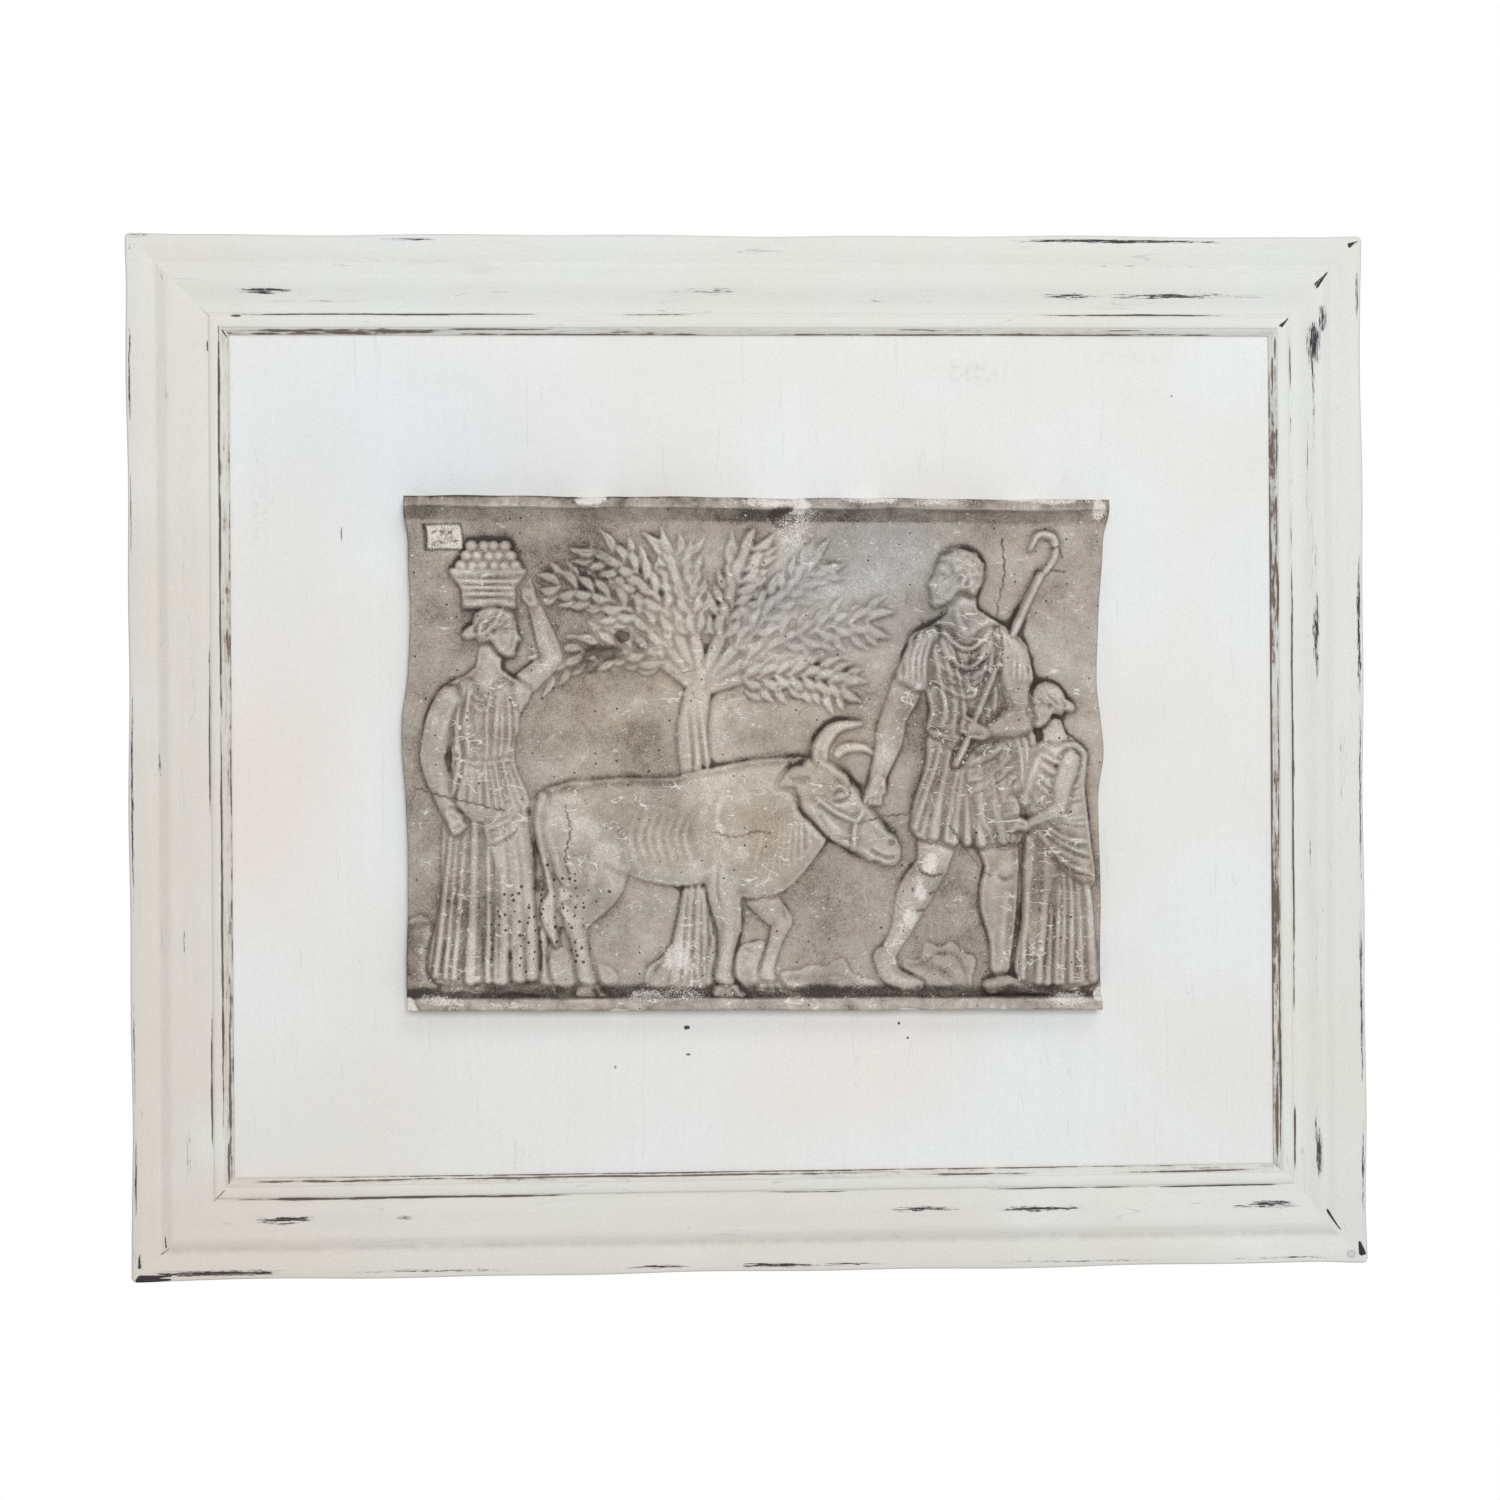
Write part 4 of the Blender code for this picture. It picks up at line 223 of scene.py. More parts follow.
def placeOf():
    return addNode("ShaderNodeTexCoord")["Object"]


# A node group with named inputs and outputs, and its own input and output nodes
def startGroup(name, inputs, outputs):
    tree = Signal.tree = bpy.data.node_groups.new(name, "ShaderNodeTree")
    for label, value in inputs.items():
        kind = "NodeSocketVector" if value is None else "NodeSocketFloat"
        socket = tree.interface.new_socket(name=label, in_out="INPUT", socket_type=kind)
        if value is not None:
            socket.default_value = value
    for label in outputs:
        tree.interface.new_socket(name=label, in_out="OUTPUT", socket_type="NodeSocketFloat")
    return tree, Outputs(tree.nodes.new("NodeGroupInput")), tree.nodes.new("NodeGroupOutput").inputs


def useGroup(group, inputs):
    return addNode("ShaderNodeGroup", inputs, node_tree=group)


# Feathers a painted mask into fine strands, the way rubbed paint lets the wood through
def makeDryBrush():
    tree, given, result = startGroup(
        "rubbedStrands", {"Vector": None, "Mask": 0, "Fine": 2400, "Flecks": 1200, "Ragged": 1},
        ("Core", "Halo")
    )
    strands = noiseOf(stretchOf(given["Vector"], (0.035, 1, 1)), given["Fine"], 3, 0.6)
    flecks = noiseOf(stretchOf(given["Vector"], (0.22, 1, 1)), given["Flecks"], 4, 0.65)
    swing = (strands - 0.5) * 2.7 + (flecks - 0.5) * 1.5
    level = given["Mask"] + swing * given["Ragged"]
    core = riseOf(level, 0.6, 0.84) * riseOf(given["Mask"], 0.06, 0.4)
    halo = riseOf(level, 0.1, 1) * riseOf(given["Mask"], 0.01, 0.55)
    put(core, result["Core"])
    put(halo, result["Halo"])
    return tree


# A soft round or oval spot about a place
def makeSpot():
    tree, given, result = startGroup("softSpot", {"Vector": None, "Center": None, "Radii": None}, ("Mask",))
    away = addNode("ShaderNodeVectorMath", {0: given["Vector"], 1: given["Center"]}, operation="SUBTRACT")
    share = addNode("ShaderNodeVectorMath", {0: away[0], 1: given["Radii"]}, operation="DIVIDE")
    length = addNode("ShaderNodeVectorMath", {0: share[0]}, operation="LENGTH")["Value"]
    put(1.0 - riseOf(length, 0.1, 1), result["Mask"])
    return tree


# Fine streaks along X of the vector it is given, as a value for colour and one for height
def makeBrushing():
    tree, given, result = startGroup(
        "brushedStreaks", {"Vector": None, "Fine": 1400, "Broad": 240}, ("Streak", "Height")
    )
    squeeze = stretchOf(given["Vector"], (0.02, 1, 0.35))
    fine = noiseOf(squeeze, given["Fine"], 3, 0.6)
    broad = noiseOf(squeeze, given["Broad"], 4, 0.6)
    put(fine * 0.4 + broad * 0.6, result["Streak"])
    put(fine * 0.65 + broad * 0.35, result["Height"])
    return tree


# The vector's X and Z alone, so that a pattern lies flat on the front
def flatOf(vector):
    parts = addNode("ShaderNodeSeparateXYZ", {"Vector": vector})
    return addNode("ShaderNodeCombineXYZ", {"X": parts["X"], "Y": parts["Z"]})["Vector"]


# Broken hairlines that curl through the vector's space
def makeHairlines():
    tree, given, result = startGroup(
        "curledHairlines", {"Vector": None, "Scale": 60, "Width": 0.009, "Share": 0.42}, ("Mask",)
    )
    level = noiseOf(given["Vector"], given["Scale"], 1.5, 0.45)
    away = mathOf("ABSOLUTE", level - 0.5)
    line = 1.0 - riseOf(away / given["Width"], 0.3, 1)
    shifted = addNode("ShaderNodeVectorMath", {0: given["Vector"], 1: (5.3, 2.1, 7.7)}, operation="ADD")
    gate = noiseOf(shifted[0], given["Scale"] * 0.9, 2, 0.6)
    shown = gate < given["Share"]
    put(line * shown, result["Mask"])
    return tree


# Round pits, one to a cell, where a mask lets them through
def makePits():
    tree, given, result = startGroup(
        "roundPits", {"Vector": None, "Scale": 330, "Radius": 0.2, "Share": 0.4}, ("Mask",)
    )
    cells = addNode(
        "ShaderNodeTexVoronoi", {"Vector": given["Vector"], "Scale": given["Scale"], "Randomness": 1},
        voronoi_dimensions="2D"
    )
    parts = addNode("ShaderNodeSeparateColor", {"Color": cells["Color"]})
    chosen = parts[0] < given["Share"]
    radius = given["Radius"] * (0.5 + parts[1])
    near = 1.0 - riseOf(cells["Distance"] / radius, 0.7, 1.1)
    put(chosen * near, result["Mask"])
    return tree


def startMaterial(name):
    material = bpy.data.materials.new(name)
    material.use_nodes = True
    Signal.tree = material.node_tree
    return material, Signal.tree.nodes["Principled BSDF"].inputs


def bumpOf(height, distance, strength=1.0, normal=None):
    inputs = {"Height": height, "Distance": distance, "Strength": strength}
    if normal is not None:
        inputs["Normal"] = normal
    return addNode("ShaderNodeBump", inputs)["Normal"]


chalkPaint = {
    "warm": (0.79, 0.785, 0.742),
    "cool": (0.788, 0.808, 0.79),
    "pink": (0.745, 0.69, 0.625),
    "cream": (0.7, 0.665, 0.6),
    "dirt": (0.42, 0.39, 0.35),
    "bare": (0.02, 0.016, 0.02),
    "bareWarm": (0.034, 0.024, 0.02),
    "halo": (0.3, 0.3, 0.36),
    "smear": (0.6, 0.6, 0.6),
    "sightBrown": (0.32, 0.265, 0.22),
    "sightDark": (0.05, 0.038, 0.036),
    "undercoat": (0.12, 0.086, 0.066),
    "rawWood": (0.5, 0.37, 0.22),
    "rawDark": (0.34, 0.23, 0.125),
    # patches of warmer, darker paint low and on the left: the paint's own pink and cream, with painted shade
    # that darkens the bottom and left rails; place and radii in metres, colour, share
    "patches": [
        ((-0.31, 0.0, -0.5), (0.24, 1.0, 0.18), "pink", 1.0),
        ((-0.3, 0.0, -0.3), (0.1, 1.0, 0.42), "pink", 0.8),
        ((0.02, 0.0, -0.49), (0.46, 1.0, 0.075), "cream", 0.62),
        ((-0.3, 0.0, -0.24), (0.06, 1.0, 0.34), "cream", 0.3),
        ((0.3, 0.0, -0.26), (0.06, 1.0, 0.34), "cream", 0.18),
    ],
    "roughness": 0.66,
}


# Attributes of a rail: run is (along, inset, seed) in metres, rub the bared wood, sight the worn inner
# slope, crease the dirt in the hollows with painted shade along the crease beside the outer band, chip the
# broken corners and raw the unpainted back
def makeChalkPaint(look, groups):
    material, shader = startMaterial("frameChalkPaint")
    run = attributeOf("run", "Vector")
    place = placeOf()
    brushing = useGroup(groups["brushing"], {"Vector": run, "Fine": 1300, "Broad": 200})
    clouds = noiseOf(place, 9, 3)
    color = mixOf(riseOf(clouds, 0.35, 0.65), look["cool"], look["warm"])
    patches = noiseOf(place, 14, 3)
    # warmer, darker paint low and on the left, partly painted shade on the bottom and left rails
    for center, radii, name, share in look["patches"]:
        spot = useGroup(groups["spot"], {"Vector": place, "Center": center, "Radii": radii})["Mask"]
        part = spot * riseOf(patches, 0.12, 0.52)
        color = mixOf(part * share, color, look[name])
    streakTone = riseOf(brushing["Streak"], 0.3, 0.72)
    color = mixOf(1.0 - streakTone, color, (0.965, 0.965, 0.962), "MULTIPLY")
    mottle = noiseOf(place, 130, 5, 0.7)
    grain = noiseOf(place, 1500, 2, 0.6)
    color = mixOf(riseOf(grain, 0.7, 0.35), color, (0.91, 0.91, 0.91), "MULTIPLY")
    # faint smudges and hairlines all over the paint, drawn out along the rail
    smears = noiseOf(stretchOf(run, (0.16, 1, 1)), 150, 4, 0.65)
    color = mixOf(riseOf(smears, 0.56, 0.74) * 0.3, color, look["smear"])
    hairs = useGroup(
        groups["hairlines"],
        {"Vector": stretchOf(run, (0.3, 2.6, 1)), "Scale": 60, "Width": 0.01, "Share": 0.38}
    )["Mask"]
    color = mixOf(hairs * 0.3, color, look["halo"])
    # dirt in the hollows, and painted shade in the crease beside the outer band, darkest on the bottom rail
    dirt = attributeOf("crease") * riseOf(mottle, 0.2, 0.75)
    color = mixOf(dirt * 0.55, color, look["dirt"])
    # the inner slope: thin brown undercoat under streaks of white, with a painted shade line at the panel's
    # edge
    sight = useGroup(
        groups["strands"],
        {"Vector": run, "Mask": attributeOf("sight"), "Fine": 1900, "Flecks": 800, "Ragged": 0.72}
    )
    color = mixOf(sight["Halo"] * 0.8, color, look["sightBrown"])
    across = addNode("ShaderNodeSeparateXYZ", {"Vector": run})["Y"]
    worn = riseOf(across + patches * 0.001, 0.059, 0.0597)
    core = mixOf(worn, look["sightDark"], look["undercoat"])
    color = mixOf(sight["Core"] * 0.8, color, core)
    # bared dark wood with a bluish halo
    rub = useGroup(groups["strands"], {"Vector": run, "Mask": attributeOf("rub")})
    bare = mixOf(riseOf(patches, 0.45, 0.6), look["bare"], look["bareWarm"])
    color = mixOf(rub["Halo"] * 0.5, color, look["halo"])
    color = mixOf(rub["Core"] * 0.95, color, bare)
    ragged = (noiseOf(place, 900, 3, 0.6) - 0.5) * 0.8
    chip = attributeOf("chip")
    chipped = riseOf(chip + ragged, 0.5, 0.7) * riseOf(chip, 0.1, 0.4)
    color = mixOf(riseOf(chip + ragged, 0.1, 0.9) * riseOf(chip, 0.02, 0.5), color, look["halo"])
    color = mixOf(chipped * 0.95, color, bare)
    # the unpainted back
    woodGrain = noiseOf(stretchOf(run, (0.03, 1, 0.6)), 420, 5, 0.6)
    rings = noiseOf(stretchOf(run, (0.05, 1, 0.6)), 90, 2)
    wood = mixOf(riseOf(woodGrain, 0.3, 0.7), look["rawDark"], look["rawWood"])
    wood = mixOf(riseOf(rings, 0.45, 0.62) * 0.35, wood, look["rawDark"])
    raw = riseOf(attributeOf("raw"), 0.4, 0.6)
    color = mixOf(raw, color, wood)
    put(color, shader["Base Color"])
    rough = look["roughness"] - 0.08 + brushing["Streak"] * 0.22
    rough = mathOf("ADD", rough, raw * 0.15, True)
    put(rough, shader["Roughness"])
    shader["Specular IOR Level"].default_value = 0.25
    ridges = brushing["Height"] * (1.0 - raw * 0.5)
    bared = mathOf("MAXIMUM", rub["Core"], chipped)
    height = ridges - bared * 0.9
    height = height + grain * 0.35
    put(bumpOf(height, 0.00022, 0.8), shader["Normal"])
    return material


panelPaint = {
    "white": (0.815, 0.838, 0.834),
    "shade": (0.735, 0.755, 0.75),
    "warm": (0.79, 0.77, 0.735),
    "board": (0.235, 0.15, 0.085),
    "boardLight": (0.33, 0.225, 0.135),
    "backFrom": -0.012,
    # place and radii in metres, colour, share
    "tints": {
        "pinkLeft": ((-0.252, 0, -0.262), (0.07, 1, 0.1), (0.8, 0.68, 0.62), 0.7),
        "pinkBelow": ((0.045, 0, -0.397), (0.09, 1, 0.055), (0.83, 0.73, 0.67), 0.5),
        # darker cream towards the lower left: the paint's tint, with painted shade darkening that corner
        "creamAndShadeLow": ((-0.22, 0, -0.44), (0.18, 1, 0.11), (0.755, 0.735, 0.685), 0.62),
        "blueTop": ((-0.18, 0, -0.085), (0.17, 1, 0.07), (0.74, 0.79, 0.83), 0.55),
        "warmTopLeft": ((-0.225, 0, -0.11), (0.05, 1, 0.08), (0.77, 0.755, 0.71), 0.45),
    },
    "smudges": {
        "above": ((0.112, 0, -0.047), (0.03, 1, 0.01), 0.3),
        "topRight": ((0.19, 0, -0.04), (0.04, 1, 0.006), 0.16),
        "left": ((-0.15, 0, -0.33), (0.02, 1, 0.012), 0.12),
        "brushLeft": ((-0.246, 0, -0.112), (0.008, 1, 0.045), 0.2),
        "brushTop": ((-0.16, 0, -0.05), (0.028, 1, 0.016), 0.1),
    },
    "specks": {
        "underCast": ((-0.034, 0, -0.3765), (0.003, 1, 0.0018), 1.0),
        "underCastSmall": ((-0.0335, 0, -0.39), (0.0022, 1, 0.001), 0.9),
        "right": ((0.073, 0, -0.3755), (0.0014, 1, 0.0012), 1.0),
        "rightLow": ((0.0775, 0, -0.383), (0.0012, 1, 0.0012), 0.9),
        "low": ((-0.07, 0, -0.396), (0.001, 1, 0.0016), 0.6),
        "upperLeft": ((-0.205, 0, -0.128), (0.0008, 1, 0.006), 0.7),
        "farRight": ((0.214, 0, -0.059), (0.001, 1, 0.0008), 0.8),
    },
}


def makePanelPaint(look, groups):
    material, shader = startMaterial("panelBrushedPaint")
    place = placeOf()
    upright = stretchOf(place, (1, 1, 1), turn=(0, math.pi / 2, 0))    # so that the streaks run up and down
    swapped = addNode("ShaderNodeSeparateXYZ", {"Vector": upright})
    grainVector = addNode("ShaderNodeCombineXYZ", {0: swapped["X"], 1: swapped["Z"], 2: 0})
    brushing = useGroup(groups["brushing"], {"Vector": grainVector[0], "Fine": 1300, "Broad": 300})
    clouds = noiseOf(place, 8, 3)
    color = mixOf(riseOf(clouds, 0.38, 0.7), look["white"], look["warm"])
    for center, radii, tint, share in look["tints"].values():
        spot = useGroup(groups["spot"], {"Vector": place, "Center": center, "Radii": radii})["Mask"]
        color = mixOf(spot * share, color, tint)
    streaks = riseOf(brushing["Streak"], 0.36, 0.66)
    color = mixOf((1.0 - streaks) * 0.32, color, look["shade"])
    smears = noiseOf(stretchOf(place, (1, 1, 0.55)), 46, 5, 0.65)
    color = mixOf(riseOf(smears, 0.52, 0.74) * 0.32, color, look["shade"])
    dust = noiseOf(place, 1600, 2, 0.6)
    color = mixOf(riseOf(dust, 0.68, 0.36), color, (0.925, 0.925, 0.925), "MULTIPLY")
    # fine marks of the brush and of wear, mostly upright
    upLines = useGroup(
        groups["hairlines"],
        {"Vector": stretchOf(place, (5, 1, 0.45)), "Scale": 34, "Width": 0.01, "Share": 0.36}
    )["Mask"]
    acrossLines = useGroup(
        groups["hairlines"],
        {
            "Vector": stretchOf(place, (0.6, 1, 4), shift=(3, 3, 3)), "Scale": 26, "Width": 0.007,
            "Share": 0.32
        }
    )["Mask"]
    color = mixOf(upLines * 0.22, color, (0.52, 0.52, 0.52))
    color = mixOf(acrossLines * 0.14, color, (0.5, 0.5, 0.52))
    ragged = noiseOf(place, 260, 4, 0.7)
    for center, radii, share in look["smudges"].values():
        spot = useGroup(groups["spot"], {"Vector": place, "Center": center, "Radii": radii})["Mask"]
        patch = spot * riseOf(ragged, 0.4, 0.7)
        color = mixOf(patch * share, color, (0.4, 0.38, 0.38))
    flecks = noiseOf(place, 900, 2, 0.5)
    for center, radii, share in look["specks"].values():
        spot = useGroup(groups["spot"], {"Vector": place, "Center": center, "Radii": radii})["Mask"]
        patch = riseOf(spot + (flecks - 0.5), 0.4, 0.5)
        dark = patch * riseOf(spot, 0.05, 0.3) * share
        color = mixOf(dark, color, (0.05, 0.042, 0.04))
    # the bare board behind
    fibres = noiseOf(place, 700, 5, 0.7)
    patches = noiseOf(place, 16, 3)
    board = mixOf((fibres + patches) * 0.5, look["board"], look["boardLight"])
    depth = addNode("ShaderNodeSeparateXYZ", {"Vector": place})["Y"]
    behind = depth > look["backFrom"]
    color = mixOf(behind, color, board)
    put(color, shader["Base Color"])
    rough = 0.5 + brushing["Streak"] * 0.25
    put(mathOf("ADD", rough, behind * 0.2, True), shader["Roughness"])
    shader["Specular IOR Level"].default_value = 0.4
    height = brushing["Height"] + ragged * 0.3
    height = height - upLines * 0.4
    put(bumpOf(height, 0.0002, 0.7), shader["Normal"])
    return material


agedPlaster = {
    "deep": (0.058, 0.047, 0.04),
    "low": (0.205, 0.172, 0.145),
    "middle": (0.372, 0.325, 0.28),
    "high": (0.475, 0.43, 0.38),
    "peak": (0.7, 0.665, 0.61),
    "cool": (0.86, 0.92, 1.0),
    "tan": (1.05, 0.985, 0.9),
    "fresh": (0.79, 0.765, 0.715),
    "stain": (0.06, 0.042, 0.034),
    "back": (0.64, 0.6, 0.54),
    "roughness": 0.88,
}


# Attributes of the cast: tone from hollows (-1) to heights (1), fresh the bared plaster, stain the black
# dirt, tint from cool to tan, scored where it is scratched, pitted, and raw the unstained back
def makeAgedPlaster(look, groups):
    material, shader = startMaterial("castAgedPlaster")
    place = placeOf()
    broad = noiseOf(place, 30, 4, 0.55)
    mottle = noiseOf(place, 150, 5, 0.7)
    flecks = noiseOf(place, 620, 4, 0.7)
    grain = noiseOf(place, 1700, 2, 0.6)

    def swing(noise, weight):
        return (noise - 0.5) * weight

    fineSwing = swing(flecks, 0.85) + swing(grain, 2.4)
    swings = swing(broad, 1.85) + swing(mottle, 0.95) + fineSwing
    tone = attributeOf("tone") + swings
    ramp = addNode("ShaderNodeValToRGB", {"Fac": mathOf("ADD", tone * 0.4, 0.5, True)})
    stops = ((0, "deep"), (0.22, "low"), (0.5, "middle"), (0.74, "high"), (1, "peak"))
    elements = ramp.node.color_ramp.elements
    while len(elements) < len(stops):
        elements.new(0.5)
    for element, (position, name) in zip(elements, stops):
        element.position = position
        element.color = (*look[name], 1)
    color = ramp["Color"]
    tint = attributeOf("tint")
    color = mixOf(riseOf(tint, 0.5, 0), color, look["cool"], "MULTIPLY")
    color = mixOf(riseOf(tint, 0.5, 1), color, look["tan"], "MULTIPLY")
    # pale hairline scratches, most over the worn figures, and a few dark ones
    flat = flatOf(place)
    pale = None
    for turn, squeeze, scale, width, share in (
        (0.5, 3.2, 30.0, 0.007, 0.42), (-0.8, 3.6, 36.0, 0.0075, 0.42), (1.4, 2.6, 48.0, 0.0085, 0.42),
        (2.3, 3.0, 58.0, 0.01, 0.42), (0.1, 1.8, 90.0, 0.015, 0.4), (1.9, 1.5, 120.0, 0.018, 0.4)
    ):
        lines = useGroup(
            groups["hairlines"],
            {
                "Vector": stretchOf(flat, (1, squeeze, 1), turn=(0, 0, turn), shift=(turn, 0, 0)),
                "Scale": scale, "Width": width, "Share": share
            }
        )["Mask"]
        pale = lines if pale is None else mathOf("MAXIMUM", pale, lines)
    scored = pale * riseOf(attributeOf("scored"), 0.1, 0.8)
    color = mixOf(scored * 0.74, color, look["fresh"])
    dark = useGroup(
        groups["hairlines"],
        {
            "Vector": stretchOf(flat, (1, 2.2, 1), turn=(0, 0, 0.2)), "Scale": 24, "Width": 0.006,
            "Share": 0.4
        }
    )["Mask"]
    color = mixOf(dark * 0.45, color, look["low"])
    # open pits: many in one patch, a few everywhere
    pitted = attributeOf("pitted")
    pits = useGroup(
        groups["pits"], {"Vector": flat, "Scale": 290, "Radius": 0.175, "Share": pitted * 0.55}
    )["Mask"]
    strays = useGroup(groups["pits"], {"Vector": flat, "Scale": 190, "Radius": 0.075, "Share": 0.1})["Mask"]
    pits = mathOf("MAXIMUM", pits, strays)
    color = mixOf(pits * 0.88, color, look["deep"])
    # specks of bare plaster
    chalk = useGroup(groups["pits"], {"Vector": flat, "Scale": 260, "Radius": 0.13, "Share": 0.13})["Mask"]
    chalk = chalk * riseOf(flecks, 0.4, 0.6)
    color = mixOf(chalk * 0.6, color, look["fresh"])
    stain = attributeOf("stain") + swings * 0.45
    color = mixOf(riseOf(stain, 0.42, 0.66) * 0.8, color, look["stain"])
    fresh = attributeOf("fresh") + swings * 0.55
    color = mixOf(riseOf(fresh, 0.3, 0.78) * 0.9, color, look["fresh"])
    backTone = mixOf(riseOf(mottle, 0.3, 0.7), look["high"], look["back"])
    color = mixOf(riseOf(attributeOf("raw"), 0.3, 0.8), color, backTone)
    put(color, shader["Base Color"])
    rough = look["roughness"] - riseOf(tone, 0.3, 1.2) * 0.12
    put(rough, shader["Roughness"])
    shader["Specular IOR Level"].default_value = 0.25
    height = flecks * 0.35 + mottle * 0.65
    height = height + grain * 0.4
    cut = scored * 0.3 + pits * 2.0
    height = height - cut
    put(bumpOf(height, 0.0005, 0.8), shader["Normal"])
    return material


def makeMaterials():
    groups = {
        "strands": makeDryBrush(), "spot": makeSpot(), "brushing": makeBrushing(),
        "hairlines": makeHairlines(), "pits": makePits()
    }
    return {
        "frame": makeChalkPaint(chalkPaint, groups), "panel": makePanelPaint(panelPaint, groups),
        "plaster": makeAgedPlaster(agedPlaster, groups), "floor": makeFloorPaint()
    }


def makeFloorPaint():
    material, shader = startMaterial("paleFloor")
    place = placeOf()
    clouds = noiseOf(place, 3, 4)
    put(mixOf(clouds, (0.74, 0.74, 0.73), (0.8, 0.8, 0.79)), shader["Base Color"])
    shader["Roughness"].default_value = 0.7
    return material


# Where the tree stands from the field's left edge, and for each figure its place, its feet's height, its own
# height, the ox's at its withers, and the way it faces, all in metres
pastoral = {
    "tree": 0.146,
    "ox": (0.138, 0.001, 0.114, 1),
    "woman": (0.040, 0.002, 0.188, 1),
    "herdsman": (0.282, 0.002, 0.220, 1),
    "girl": (0.326, 0.002, 0.152, -1),
}
clayDraft = 2.5    # how steeply the clay falls at its edges
trenchReach = 0.0012    # how wide the hollow round each piece of clay is


# A smooth line through the points
def curve(points, per=8, closed=False):
    pts = np.asarray(points, float)
    if len(pts) < 3 and not closed:
        t = np.linspace(0, 1, per + 1)[:, None]
        return pts[0] * (1 - t) + pts[-1] * t
    ring = np.vstack(
        [pts[-1], pts, pts[:2]] if closed else [2 * pts[0] - pts[1], pts, 2 * pts[-1] - pts[-2]]
    )
    t = np.arange(per)[:, None] / per
    out = []
    for a, b, c, d in zip(ring, ring[1:], ring[2:], ring[3:]):
        bend = (2 * a - 5 * b + 4 * c - d) * t**2 + (3 * b - a - 3 * c + d) * t**3
        out.append(0.5 * (2 * b + (c - a) * t + bend))
    return np.vstack(out + ([] if closed else [pts[-1]]))


# Values given at even stations, read smoothly at count stations
def along(values, count):
    values = np.atleast_1d(np.asarray(values, float))
    line = curve(np.column_stack([values, values]), 8)[:, 0] if len(values) > 2 else values
    return np.interp(np.linspace(0, 1, count), np.linspace(0, 1, len(line)), line)


# How far along the stretch from a to b each place is, and its squared distance from it
def nearest(gx, gz, a, b):
    e = b - a
    t = np.clip(((gx - a[0]) * e[0] + (gz - a[1]) * e[1]) / max(e @ e, 1e-18), 0, 1)
    return t, (gx - a[0] - t * e[0]) ** 2 + (gz - a[1] - t * e[1]) ** 2


# Where a figure stands, its height, the way it faces and how it leans. Its places are given in hundredths
# of its height, so a stand of size 0.1 reads them as mm.
class Stand:

    def __init__(self, x, z, size, facing=1, tilt=0.0):
        self.x, self.z, self.size, self.facing = x, z, size, facing
        self.c, self.s = math.cos(tilt), math.sin(tilt)

    def at(self, points):
        px, pz = np.transpose(points) * self.size / 100
        across, up = self.facing * (px * self.c - pz * self.s), px * self.s + pz * self.c
        return np.transpose([self.x + across, self.z + up])


